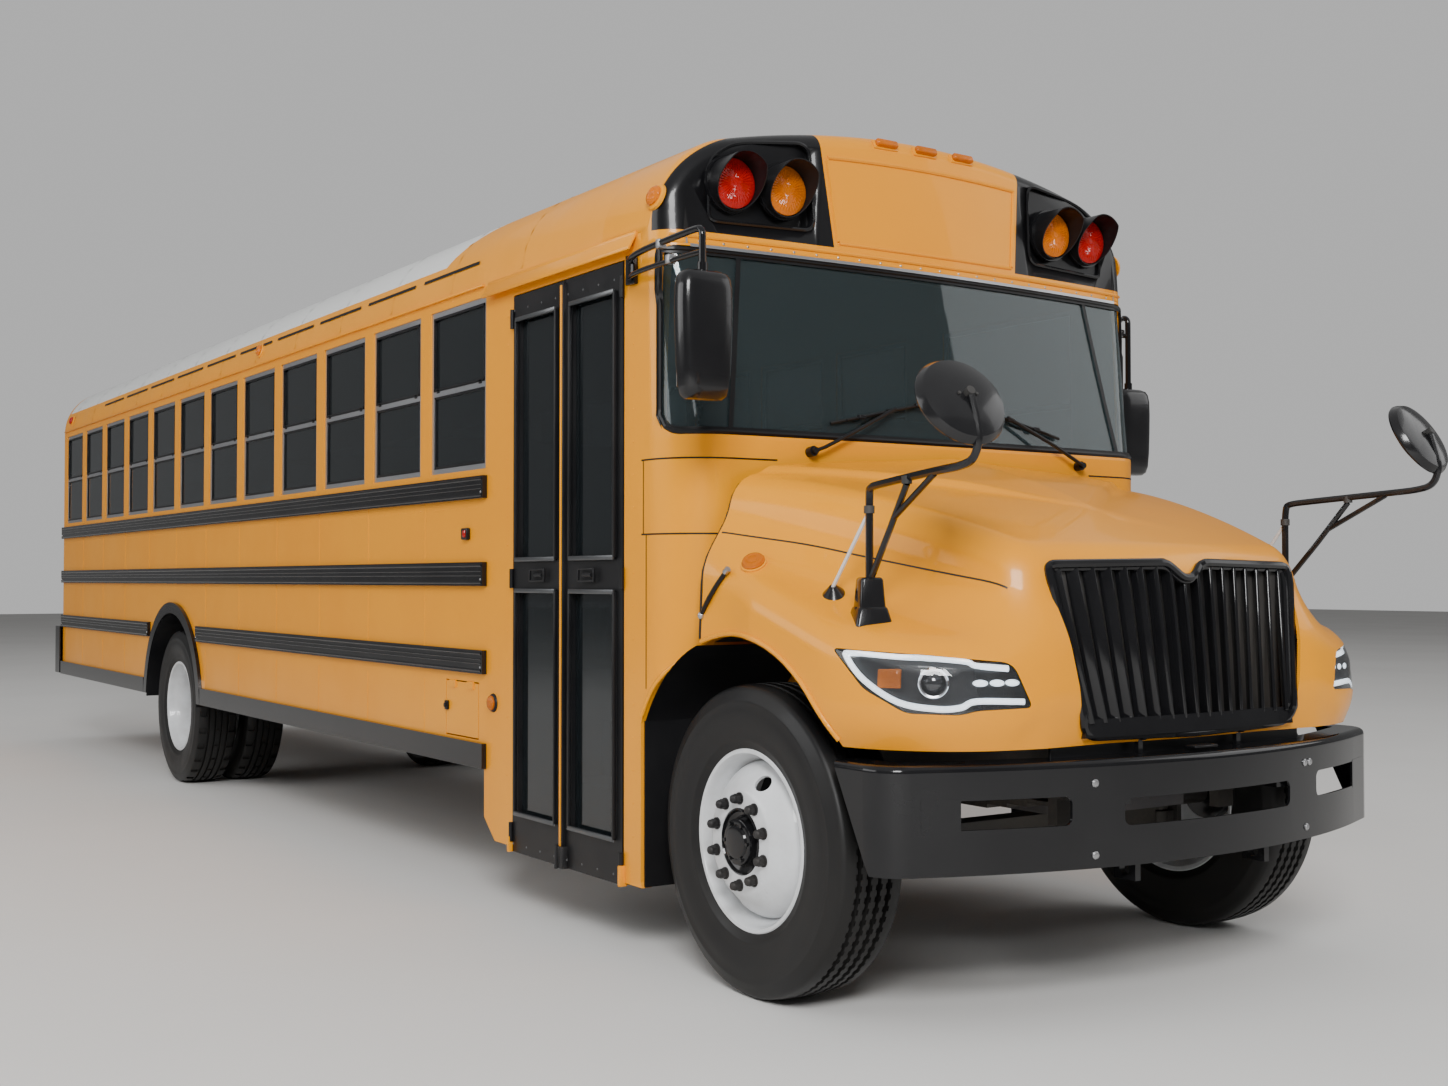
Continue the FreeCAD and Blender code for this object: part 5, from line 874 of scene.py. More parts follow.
VANES = 17
grille = bmesh.new()
frame_path = [Vector((x * 0.985, nose_y(x * 0.985, min(max(z, 0.90), 1.43)) - 0.004, z))
              for x, z in grille_outline]
tube(grille, frame_path + frame_path[:2], 0.0145, 14, 2)
inner_path = [Vector((p.x * 0.968, p.y + 0.010, 1.17 + (p.z - 1.17) * 0.955)) for p in frame_path]
tube(grille, inner_path + inner_path[:2], 0.013, 12, 2)
vane_top, vane_foot = 1.432, 0.935
for index in range(VANES):
    share = (index - (VANES - 1) / 2) / ((VANES - 1) / 2)
    top_x, foot_x = share * 0.545, share * 0.478
    top = vane_top - 0.043 * max(0.0, 1 - abs(top_x) / 0.07)
    start = Vector((foot_x, nose_y(foot_x, 1.05) + 0.030, vane_foot))
    end = Vector((top_x, nose_y(top_x, 1.38) + 0.028, top))
    # nose lean between the two heights carries the vane's foot forward
    start.y -= 0.123 * (1.05 - vane_foot)
    run = end - start
    slab(grille, (start + end) / 2, run.to_track_quat("Z", "Y").to_matrix().to_4x4(),
         (0.013, 0.042, run.length), 0.005, 3)
for x0, x1 in zip(np.linspace(-0.5, 0.5, 15)[:-1], np.linspace(-0.5, 0.5, 15)[1:]):
    y = (nose_y(x0, 0.96) + nose_y(x1, 0.96)) / 2
    turn = Matrix.Rotation(math.atan2(nose_y(x1, 0.96) - nose_y(x0, 0.96), x1 - x0), 4, "Z")
    block(grille, (x0 - 0.002, x1 + 0.002), (y - 0.002, y + 0.035), (0.893, 0.950), 0.0, 1,
          turn @ Matrix.Rotation(-0.12, 4, "X"))
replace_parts(close_piece(grille, "grille_vanes", "hood", gloss_black, 40), "grille")
backing = bmesh.new()
block(backing, (-0.56, 0.56), (at(-0.80), at(-0.785)), (0.90, 1.43))
close_piece(backing, "radiator_screen", "hood", chassis_black)


# %% [markdown]
# ## Fittings on the hood
# The crossover mirrors stand on moulded boots. A thin stay runs back to a small foot. Each side
# has a ribbed turn lamp and a rubber strap that holds the hood down on the cowl.

# %% Turn lamps, straps and boots
lamps, straps, boots, hardware, strap_metal = blanks(5)
for side in (-1, 1):
    seat, out = on_hood((side * 1.085, at(0.055), 1.435), 0.0)
    turned(lamps, ((0, 0.0), (0, 0.040), (0.012, 0.041), (0.020, 0.036), (0.0235, 0.027),
                   (0.022, 0.018), (0.026, 0.010), (0.027, 0.0)), seat, out, 32)
    turned(hardware, ((-0.004, 0.045), (0.006, 0.046), (0.008, 0.041), (0.004, 0.039)), seat,
           out, 32)
    upper, _ = on_hood((side * 1.12, at(0.13), 1.395), 0.014)
    middle, _ = on_hood((side * 1.15, at(0.20), 1.33), 0.018)
    lower = Vector((side * 1.165, at(0.262), 1.262))
    tube(straps, [upper, middle, lower], 0.0085, 10, 3)
    bar(strap_metal, upper + Vector((0, -0.012, 0.010)), upper + Vector((0, 0.006, -0.002)),
        0.011, 10)
    ball(strap_metal, lower, 0.014, sides=10)
    # boot: a tall soft pyramid with rounded edges, cut off by the fender under it
    seat, _ = on_hood((side * 1.015, at(-0.475), 1.25))
    for low, tall, wide, narrow in ((-0.040, 0.165, 0.066, 0.050), (-0.050, 0.085, 0.094, 0.064)):
        place = Matrix.Translation((side * 1.015, at(-0.475), seat.z + low + tall / 2))
        made = bmesh.ops.create_cone(
            boots, cap_ends=True, segments=4, radius1=wide, radius2=narrow, depth=tall,
            matrix=place @ Matrix.Rotation(math.radians(45 + side * 22), 4, "Z"))["verts"]
        new_part(boots, made, 0.010, 3)
    foot, up = on_hood((side * 1.005, at(-0.28), 1.33))
    bmesh.ops.create_cone(boots, cap_ends=True, segments=20, radius1=0.042, radius2=0.012,
                          depth=0.034, matrix=Matrix.Translation(foot + up * 0.012)
                          @ frame_of(up) @ Matrix.Diagonal((1, 1.3, 1, 1)))
close_piece(lamps, "hood_turn_lamps", "hood", amber_lens, 30)
close_piece(hardware, "turn_lamp_rings", "hood", yellow)
close_piece(straps, "hood_straps", "hood", satin_black)
close_piece(strap_metal, "hood_strap_pulls", "hood", steel)
close_piece(boots, "mirror_boots", "hood", mirror_black, 30)

# %% Crossover mirrors
MIRROR_HEAD = Vector((1.100, at(-1.0), 1.897))
MIRROR_BACK = Vector((0.10, -0.86, 0.50)).normalized()
POST = (1.020, at(-0.48))


def crossover(side):
    """One braced arm and its round head: a black bowl, a rubber rim and a convex glass."""
    def flip(x, y, z):
        return Vector((side * x, y, z))
    tube(tubes, [flip(*POST, 1.27), flip(*POST, 1.50), flip(*POST, 1.66),
                 flip(POST[0] + 0.008, at(-0.495), 1.674), flip(POST[0] + 0.02, at(-0.56), 1.680),
                 flip(1.094, at(-0.885), 1.702), flip(1.098, at(-0.985), 1.708),
                 flip(1.100, at(-1.045), 1.722),
                 flip(1.100, at(-1.068), 1.775), flip(1.100, at(-1.060), 1.83),
                 flip(1.100, at(-1.035), 1.905)], 0.0125, 14, 3)
    tube(tubes, [flip(*POST, 1.375), flip(POST[0] + 0.026, at(-0.60), 1.52),
                 flip(POST[0] + 0.05, at(-0.72), 1.672)], 0.0105, 12, 2)
    tube(tubes, [flip(POST[0] + 0.036, at(-0.645), 1.575), flip(1.088, at(-0.865), 1.694)],
         0.0095, 12, 2)
    for place, size in ((flip(*POST, 1.605), 0.017), (flip(*POST, 1.345), 0.018),
                        (flip(POST[0] + 0.05, at(-0.72), 1.684), 0.016)):
        turned(clamps, ((-0.012, size * 0.8), (-0.012, size), (0.012, size), (0.012, size * 0.8)),
               place, (0, 0, 1), 16)
    seat, up = on_hood((side * 1.005, at(-0.28), 1.33))
    tube(stays, [flip(*POST, 1.585) + Vector((0, 0.012, 0)), seat + up * 0.026], 0.0065, 10, 2)
    head = flip(*MIRROR_HEAD)
    back = Vector((side * MIRROR_BACK.x, MIRROR_BACK.y, MIRROR_BACK.z))
    turned(heads, ((0.028, 0.0), (0.027, 0.045), (0.021, 0.095), (0.008, 0.132), (-0.008, 0.143),
                   (-0.016, 0.1455), (-0.022, 0.143), (-0.022, 0.134), (-0.012, 0.130),
                   (-0.010, 0.0)), head, back, 64)
    turned(glasses, ((-0.060, 0.0), (-0.058, 0.030), (-0.052, 0.062), (-0.041, 0.095),
                     (-0.025, 0.124), (-0.014, 0.133), (-0.012, 0.0)), head, back, 64)
    bar(clamps, head + back * 0.024, head + back * 0.048, 0.014, 12)
    across = back.cross(Vector((0, 0, 1))).normalized()
    for step in (-0.03, 0.03):
        bar(clamps, head + back * 0.020 + across * step, head + back * 0.033 + across * step,
            0.005, 8)
    bar(clamps, head + back * 0.034, flip(1.100, at(-1.035), 1.905), 0.009, 12)


tubes, clamps, stays, heads, glasses = blanks(5)
for side in (-1, 1):
    crossover(side)
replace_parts(close_piece(tubes, "crossover_arms", "hood", mirror_black),
            "crossover_mirrors")
close_piece(clamps, "crossover_clamps", "hood", casting)
close_piece(stays, "crossover_stays", "hood", white_paint)
close_piece(heads, "crossover_bowls", "hood", mirror_black, 30)
close_piece(glasses, "crossover_glasses", "hood", mirror_glass, 30)


# %% [markdown]
# ## Tyres
# A tyre is one profile turned round the axle. The steering tyres have plain ribs, with fine nicks
# along the rib edges. The driving tyres at the rear have cross slots, too. A nick or slot is made
# on the turned mesh: every few faces of one band are extruded towards the axle.

# %% Treaded tyres
SPIN_STEPS = 168
CROWN_HALF, CROWN_RADIUS = 0.108, 0.5145
GROOVES = [(-1 + 2 * (i + 1) / 5) * CROWN_HALF * 0.94 for i in range(4)]
TYRE_HALF = 0.14  # from the side of a tyre to its middle
TWIN_SPACING = 0.322  # between the middles of twin wheels


def tyre_profile(groove):
    """Half the section is mirrored: (along the axle, radius) from bead to bead."""
    side = [(0.100, 0.290), (0.112, 0.296), (0.118, 0.312), (0.126, 0.330), (0.1285, 0.334),
            (0.1285, 0.340), (0.134, 0.372), (0.1390, 0.405), (0.1395, 0.432), (0.1365, 0.456),
            (0.1375, 0.460), (0.1365, 0.466), (0.1315, 0.478), (0.1270, 0.490),
            (0.1235, 0.500), (0.1180, 0.509), (CROWN_HALF, CROWN_RADIUS)]
    crown = []
    width = 0.007
    for place in GROOVES:
        top = CROWN_RADIUS + 0.0055 * (1 - (place / CROWN_HALF) ** 2)
        for offset, down in ((-width - 0.006, 0), (-width, 0.0), (-width * 0.6, groove),
                             (width * 0.6, groove), (width, 0.0), (width + 0.006, 0)):
            crown.append((place + offset, top - down))
    crown.sort()
    left = [(-u, r) for u, r in side]
    return left + crown + side[::-1]


def notch_bands(bm, centre, radius_low, bands, every, wide, deep):
    """Pushes every few tread faces of the chosen bands towards the axle."""
    picked = []
    for face in bm.faces:
        middle = face.calc_center_median()
        out = math.hypot(middle.y - centre.y, middle.z - centre.z)
        if out < radius_low:
            continue
        along = middle.x - centre.x
        for low, high in bands:
            if low < along < high:
                turn = math.atan2(middle.z - centre.z, middle.y - centre.y) / math.tau % 1
                if round(turn * SPIN_STEPS - 0.5) % every < wide:
                    picked.append(face)
    grown = bmesh.ops.extrude_face_region(bm, geom=picked)["geom"]
    verts = [item for item in grown if isinstance(item, bmesh.types.BMVert)]
    for vert in verts:
        flat = Vector((0, vert.co.y - centre.y, vert.co.z - centre.z))
        vert.co -= flat.normalized() * deep
    bmesh.ops.delete(bm, geom=picked, context="FACES_ONLY")


def tyre_mesh(bm, centre, drive):
    """Adds one tyre to a bmesh."""
    local = bmesh.new()
    turned(local, tyre_profile(0.013), centre, (1, 0, 0), SPIN_STEPS)
    if drive:
        notch_bands(local, centre, 0.5, ((-0.118, -0.072), (0.072, 0.118)), 6, 2, 0.011)
        notch_bands(local, centre, 0.51, ((-0.03, 0.03),), 6, 1, 0.008)
    else:
        edges = [(place + a, place + b) for place in GROOVES
                 for a, b in ((-0.0135, -0.0068), (0.0068, 0.0135))]
        notch_bands(local, centre, 0.513, edges, 2, 1, 0.005)
    pour(bm, local)


def centre_of(node):
    low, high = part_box(node)
    return (low + high) / 2


for word in ("right", "left"):
    steer, drive = blanks(2)
    tyre_mesh(steer, centre_of("front_%s_tyre" % word), False)
    piece = close_piece(steer, "front_%s_tread" % word, "front_%s_wheel" % word,
                        rubber, 35)
    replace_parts(piece, "front_%s_tyre" % word)
    low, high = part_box("rear_%s_tyres" % word)
    for along in (low.x + TYRE_HALF, high.x - TYRE_HALF):
        tyre_mesh(drive, Vector((along, (low.y + high.y) / 2, (low.z + high.z) / 2)), True)
    piece = close_piece(drive, "rear_%s_treads" % word, "rear_%s_wheel" % word,
                        rubber, 35)
    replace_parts(piece, "rear_%s_tyres" % word)


# %% [markdown]
# ## Wheels
# A steel disc wheel is a rolled rim with a dished disc welded into it. The front discs bulge
# outwards and the outer rear ones are dished in. Two round hand holes go through each disc. Ten
# capped nuts on a 286 mm circle hold it to a dark hub.

# %% Wheel shapes
RIM = ((0.115, 0.304), (0.118, 0.301), (0.117, 0.290), (0.108, 0.284), (0.090, 0.282),
       (0.070, 0.274), (0.045, 0.262), (-0.035, 0.260), (-0.070, 0.272), (-0.095, 0.281),
       (-0.112, 0.286), (-0.118, 0.300), (-0.115, 0.304), (-0.108, 0.296), (-0.090, 0.289),
       (-0.035, 0.268), (0.045, 0.270), (0.090, 0.289), (0.106, 0.296), (0.115, 0.304))
FRONT_DISC = ((0.030, 0.264), (0.055, 0.259), (0.078, 0.247), (0.103, 0.226), (0.125, 0.203),
              (0.141, 0.184), (0.149, 0.172), (0.152, 0.162), (0.152, 0.111))
REAR_DISC = [(-u, r) for u, r in FRONT_DISC]
DISC_FACE = 0.152


def disc_piece(profile, centre, outward, name):
    """A solid disc with two hand holes, as a bmesh."""
    bm = bmesh.new()
    front = [(u * outward, r) for u, r in profile]
    back = [((u - 0.011) * outward, r - 0.004 * (r > 0.2)) for u, r in reversed(profile)]
    turned(bm, front + back + front[:1], centre, (1, 0, 0), 96)
    bmesh.ops.remove_doubles(bm, verts=bm.verts, dist=1e-6)
    bmesh.ops.recalc_face_normals(bm, faces=bm.faces)
    disc, holes = as_object(bm, name), bmesh.new()
    for turn in (HAND_HOLE_TURN, HAND_HOLE_TURN + math.pi):
        spot = Vector((0, math.cos(turn) * 0.203, math.sin(turn) * 0.203)) + centre
        lean = 0.9 if profile[0][0] > 0 else -0.9
        tip = Vector((outward, lean * math.cos(turn), lean * math.sin(turn))).normalized()
        spot.x += outward * profile[3][0]
        bar(holes, spot - tip * 0.05, spot + tip * 0.05, 0.031, 40)
    cutter = as_object(holes, "hand_holes")
    boolean(disc, cutter)
    bake_modifiers(disc)
    discard([cutter])
    result = bmesh.new()
    result.from_mesh(disc.data)
    bpy.data.objects.remove(disc)
    return result


HAND_HOLE_TURN = math.radians(112)
NUT_CIRCLE = 0.143


def hub_and_nuts(wheel, middle, outward, face, cap):
    """Ten nuts on the disc's face and a stepped hub with its cap, closed as two pieces."""
    hub, nuts = blanks(2)
    ahead = Vector((outward, 0, 0))
    for step in range(10):
        turn = math.tau * (step + 0.5) / 10
        spot = middle + Vector((face * outward, NUT_CIRCLE * math.cos(turn),
                                NUT_CIRCLE * math.sin(turn)))
        bar(nuts, spot, spot + ahead * 0.005, 0.0205, 20)
        bar(nuts, spot + ahead * 0.005, spot + ahead * 0.022, 0.0170, 6)
        bar(nuts, spot + ahead * 0.021, spot + ahead * 0.028, 0.0148, 16)
        ball(nuts, spot + ahead * 0.028, 0.0148, (1, 1, 0.7), frame_of(ahead), 12)
    turned(hub, [(u * outward, r) for u, r in (
        (face - 0.06, 0.0), (face - 0.06, 0.110), (face - 0.002, 0.110), (face + 0.004, 0.104),
        (face - 0.006, 0.098), (face - 0.012, 0.082), (face + cap * 0.55, 0.076),
        (face + cap * 0.62, 0.072), (face + cap * 0.62, 0.058), (face + cap * 0.9, 0.054),
        (face + cap, 0.044), (face + cap, 0.0))], middle, (1, 0, 0), 48)
    for step in range(6):
        turn = math.tau * step / 6
        spot = middle + Vector(((face + cap * 0.62) * outward, 0.065 * math.cos(turn),
                                0.065 * math.sin(turn)))
        bar(hub, spot, spot + Vector((outward * 0.008, 0, 0)), 0.0065, 6)
    close_piece(hub, wheel + "_hub", wheel + "_wheel", gloss_black, 30)
    close_piece(nuts, wheel + "_nuts", wheel + "_wheel", nut_metal, 30)


for side, word in ((-1, "right"), (1, "left")):
    middle = centre_of("front_%s_tyre" % word)
    wheel = disc_piece(FRONT_DISC, middle, side, "front_disc")
    turned(wheel, [(u * side, r) for u, r in RIM], middle, (1, 0, 0), 96)
    piece = close_piece(wheel, "front_%s_disc" % word, "front_%s_wheel" % word,
                        wheel_white, 38)
    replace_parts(piece, "front_%s_wheel" % word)
    hub_and_nuts("front_" + word, middle, side, DISC_FACE, 0.022)

    low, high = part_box("rear_%s_tyres" % word)
    outer = Vector(((high.x if side > 0 else low.x) - side * TYRE_HALF, rear_axle_y, axle_z))
    inner = outer - Vector((side * TWIN_SPACING, 0, 0))
    wheel = disc_piece(REAR_DISC, outer, side, "rear_disc")
    turned(wheel, [(u * side, r) for u, r in RIM], outer, (1, 0, 0), 96)
    turned(wheel, [(u * -side, r) for u, r in RIM], inner, (1, 0, 0), 96)
    pour(wheel, disc_piece(REAR_DISC, inner, -side, "rear_disc"))
    piece = close_piece(wheel, "rear_%s_discs" % word, "rear_%s_wheel" % word,
                        wheel_white, 38)
    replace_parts(piece, "rear_%s_wheels" % word)
    hub_and_nuts("rear_" + word, outer, side, -DISC_FACE, 0.13)


# %% [markdown]
# ## Drawing on the shell
# Trim follows the surface of the piece it lies on. A ray is cast at that piece's mesh, and the hit
# gives the place and the normal.

# %% Casting onto a node
def surface(*names):
    """A function that casts a ray at these nodes: it gives the first place hit and its normal."""
    corners, faces = [], []
    for name in names:
        mesh = nodes[name].data
        start = len(corners)
        corners += [nodes[name].matrix_world @ vert.co for vert in mesh.vertices]
        faces += [[start + index for index in polygon.vertices] for polygon in mesh.polygons]
    tree = BVHTree.FromPolygons(corners, faces)

    def hit(origin, direction):
        place, normal, _, _ = tree.ray_cast(Vector(origin), Vector(direction).normalized())
        if place is None:
            return None
        if normal.dot(Vector(direction)) > 0:
            normal = -normal
        return place, normal
    return hit


SUNK = 0.4  # share of a bead that lies below the surface


def bead(bm, hit, places, radius):
    """A round bead along places (x, z) on the front, partly sunk in the surface."""
    pairs = [pair for pair in (hit((x, at(-1), z), (0, 1, 0)) for x, z in places) if pair]
    tube(bm, [p + n * radius * (1 - 2 * SUNK) for p, n in pairs], radius, 10, 2)


# %% [markdown]
# ## Front cap
# The moulded cap carries two lamp boxes. Each is a rounded recess with a red lamp outboard and an
# amber one inboard, in a black field that fills the cap's shoulder. The field between them is
# framed by a raised bead.

# %% Lamp boxes
BOX_OUTLINE = ((-1.010, 2.700), (-1.004, 2.890), (-0.975, 2.938), (-0.900, 2.985), (-0.830, 3.003),
               (-0.600, 3.030), (-0.566, 3.005), (-0.556, 2.730), (-0.580, 2.697), (-0.985, 2.688))
LAMP_Z, LAMP_RADIUS = 2.832, 0.098
LAMP_OUTER, LAMP_INNER = 0.916, 0.693
BOX_BACK = 0.436


cap_mesh = nodes["front_cap"].data.copy()
cap_mesh.transform(nodes["front_cap"].matrix_world)
cap = bpy.data.objects.new("front_cap_shell", cap_mesh)
bpy.context.scene.collection.objects.link(cap)
box_cutters = []
for side in (-1, 1):
    loop = smooth_corners([Vector((x * -side, z, 0)) for x, z in BOX_OUTLINE], 0.022, 5)
    box_cutters.append(prism_cutter("lamp_box", [Vector((p.x, at(0.2), p.y)) for p in loop],
                                    (0, 1, 0), BOX_BACK - 0.2 + 0.026))
for cutter in box_cutters:
    boolean(cap, cutter)
bake_modifiers(cap)
discard(box_cutters)
sharpen(cap, 30)
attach(cap, "bus")
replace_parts(cap, "front_cap")

on_cap = surface("front_cap")
rims = bmesh.new()
for side in (-1, 1):
    loop = smooth_corners([Vector((x * -side, z, 0)) for x, z in BOX_OUTLINE], 0.030, 6)
    bead(rims, on_cap, [(p.x, p.y) for p in loop + loop[:2]], 0.0075)
close_piece(rims, "lamp_box_rims", "bus", gloss_black)

# %% Ribbed lamps and visors
RIBS = 36


def ribbed_lamp(bm, centre, outward, radius, proud, ribs=RIBS, rings=7):
    """A shallow dome whose face carries radial ribs, with a plain middle and rim."""
    turn = frame_of(outward)
    loops = []
    for ring in range(rings + 1):
        share = 1 - ring / (rings + 1)
        rise = proud * math.sqrt(max(0.0, 1 - (share * 0.96) ** 2))
        ribbed = 0.0022 * radius / 0.098 * math.sin(math.pi * min(1, max(0, (share - 0.18) / 0.72)))
        loops.append([bm.verts.new(centre + turn @ Vector((
            radius * share * math.cos(math.tau * i / (ribs * 2)),
            radius * share * math.sin(math.tau * i / (ribs * 2)),
            rise + ribbed * (1 if i % 2 else -1)))) for i in range(ribs * 2)])
    skirt = [bm.verts.new(vert.co - Vector(outward).normalized() * 0.03) for vert in loops[0]]
    loops.insert(0, skirt)
    join_rows(bm, loops)
    bm.faces.new(loops[-1])


def visor(bm, centre, outward, radius, reach, low_reach, wall=0.004, steps=48):
    """A tube whose mouth slants: long above the lamp, short below it."""
    turn = frame_of(outward)
    up = Vector((0, 0, 1))
    loops = []
    for shell, mouth in ((radius, 0), (radius, 1), (radius + wall, 1), (radius + wall, 0)):
        loop = []
        for i in range(steps):
            angle = math.tau * i / steps
            spoke = turn @ Vector((math.cos(angle), math.sin(angle), 0))
            high = (spoke.dot(up) + 1) / 2
            length = low_reach + (reach - low_reach) * min(1.0, high * 1.25) ** 1.3
            loop.append(bm.verts.new(centre + spoke * shell
                                     + Vector(outward) * (length if mouth else -0.012)))
        loops.append(loop)
    join_rows(bm, loops + loops[:1])


reds, ambers, visors, seats_black = blanks(4)
ahead = Vector((0, -1, 0))
for side in (-1, 1):
    for middle, lens_mesh in ((LAMP_OUTER, reds), (LAMP_INNER, ambers)):
        spot = Vector((side * middle, at(BOX_BACK + 0.012 - (0.014 if middle < 0.8 else 0)),
                       LAMP_Z))
        turned(seats_black, ((-0.008, 0.0), (-0.008, LAMP_RADIUS + 0.012),
                             (0.006, LAMP_RADIUS + 0.010), (0.006, LAMP_RADIUS - 0.004)),
               spot, ahead, 56)
        ribbed_lamp(lens_mesh, spot + ahead * 0.016, ahead, LAMP_RADIUS - 0.006, 0.020)
        visor(visors, spot + ahead * 0.006, ahead, LAMP_RADIUS - 0.002, 0.115, 0.016)
close_piece(seats_black, "front_lamp_seats", "bus", gloss_black, 30)
close_piece(visors, "front_lamp_visors", "bus", satin_black, 40)
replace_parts(close_piece(reds, "front_red_lamps", "bus", red_lens, 20), "warning_lamps")
close_piece(ambers, "front_amber_lamps", "bus", amber_lens, 20)


# %% Black fields, by a mask on the cap's own material
def black_fields(material):
    """Mixes black over the cap's shoulders: outside a slanted line and inside a round outline."""
    tree = material.node_tree
    _, axes = object_places(tree)
    across = maths(tree, "ABSOLUTE", axes["X"], 0)
    high = axes["Z"]
    slant = maths(tree, "MULTIPLY", maths(tree, "SUBTRACT", high, 2.637), 0.11)
    inner = ramp_between(tree, maths(tree, "SUBTRACT", maths(tree, "SUBTRACT", across, slant),
                                     0.467), 0.0, 0.0015)
    low = ramp_between(tree, high, 2.644, 2.6455)
    wide = maths(tree, "POWER", maths(tree, "DIVIDE", across, 1.2), 4)
    tall = maths(tree, "POWER", maths(tree, "DIVIDE", maths(
        tree, "MAXIMUM", maths(tree, "SUBTRACT", high, 2.65), 0.0), 0.44), 2.05)
    rounded = ramp_between(tree, maths(tree, "ADD", wide, tall), 1.006, 1.0)
    front = ramp_between(tree, axes["Y"], at(0.546), at(0.544))
    mask = maths(tree, "MULTIPLY", maths(tree, "MULTIPLY", inner, low),
                 maths(tree, "MULTIPLY", rounded, front))
    paint_over(material, mask, (0.006, 0.006, 0.007, 1))
    return material


cap_finish = black_fields(lined(yellow_paint("cap_yellow"), 1.0, 1))
cap.data.materials.clear()
cap.data.materials.append(cap_finish)

# %% Centre field, markers, clearance lights and lip rivets
trim = bmesh.new()
for side in (-1, 1):
    bead(trim, on_cap, [(side * (0.446 + 0.11 * (z - 2.637)), z)
                        for z in np.linspace(2.668, 2.985, 12)], 0.0075)
bead(trim, on_cap, [(x, 2.992 + 0.012 * (1 - (x / 0.47) ** 2))
                    for x in np.linspace(-0.482, 0.482, 24)], 0.0075)
bead(trim, on_cap, [(x, 2.662) for x in np.linspace(-0.446, 0.446, 20)], 0.006)
bead(trim, on_cap, [(x, 2.625) for x in np.linspace(-1.16, 1.16, 60)], 0.007)
close_piece(trim, "cap_beads", "bus", yellow)
marker_bodies, marker_seats = blanks(2)
for x in (-0.197, 0.0, 0.197):
    place, out = on_cap((x, at(-1), 3.079), (0, 1, 0))
    out = (out + Vector((0, -0.6, 0.2))).normalized()
    turn = frame_of(out)
    slab(marker_seats, place, turn, (0.118, 0.040, 0.012), 0.005)
    slab(marker_bodies, place + out * 0.014, turn, (0.104, 0.030, 0.024), 0.009, 3)
for side in (-1, 1):
    place, out = on_cap((side * 3, at(0.541), 2.769), (-side, 0, 0))
    turned(marker_seats, ((-0.01, 0.0), (-0.006, 0.052), (0.004, 0.050), (0.008, 0.044),
                          (0.008, 0.0)), place, out, 40)
    ribbed_lamp(marker_bodies, place + out * 0.010, out, 0.038, 0.020, 24, 5)
close_piece(marker_bodies, "cap_marker_lenses", "bus", amber_lens, 25)
close_piece(marker_seats, "cap_marker_seats", "bus", yellow, 30)
lip = bmesh.new()
for x in np.linspace(-1.05, 1.05, 22):
    pair = on_cap((float(x), at(-1), 2.607), (0, 1, 0))
    if pair:
        rivets(lip, [pair[0]], pair[1], 0.0055, 0.0025)
close_piece(lip, "cap_lip_rivets", "bus", steel)


# %% [markdown]
# ## Windshield
# A black rubber gasket runs round the glass. The lower corners are rounded. A bright strip lies
# under the cap's lip, and a narrow dark divider stands near each corner.

# %% Gasket, strip and dividers
on_glass = surface("windshield")
on_shell = surface("windshield", "cowl")
TURN_CENTRE = Vector((0, at(1.3), 0))


def round_front(angle, z):
    """Origin and direction of a ray that meets the shell's front at this angle from straight on."""
    out = Vector((math.sin(angle), -math.cos(angle), 0))
    return Vector((0, TURN_CENTRE.y, z)) + out * 3.0, -out


END = math.atan2(1.195, 1.3 - 0.500)
gasket = bmesh.new()
low_z, high_z = 1.912, 2.575
corner = 0.06
outline = []
for share in np.linspace(-1, 1, 90):
    angle = float(share) * END
    near = max(0.0, (abs(angle) - (END - 0.075)) / 0.075)
    rise = corner * (1 - math.sqrt(max(0.0, 1 - near ** 2)))
    outline.append((angle, low_z + rise))
outline += [(END, z) for z in np.linspace(low_z + corner + 0.02, high_z - 0.02, 10)]
outline += [(float(a), high_z) for a in np.linspace(END, -END, 60)]
outline += [(-END, z) for z in np.linspace(high_z - 0.02, low_z + corner + 0.02, 10)]
pairs = [on_shell(*round_front(angle, float(z))) for angle, z in outline]
pairs = [pair for pair in pairs if pair]
pairs += pairs[:2]
ribbon(gasket, pairs, 0.034, 0.007)
tube(gasket, [p + n * 0.006 for p, n in pairs], 0.0085, 8, 2)
for side in (-1, 1):
    angle = side * math.atan2(0.99, 1.3 - 0.345)
    ribbon(gasket, [on_shell(*round_front(angle, float(z)))
                    for z in np.linspace(low_z, high_z, 14)], 0.020, 0.006)
close_piece(gasket, "windshield_gasket", "bus", satin_black, 40)
strip = bmesh.new()
ribbon(strip, [on_shell(*round_front(float(a), 2.588))
               for a in np.linspace(-END * 0.93, END * 0.93, 70)], 0.012, 0.009)
close_piece(strip, "windshield_top_strip", "bus", sash, 40)

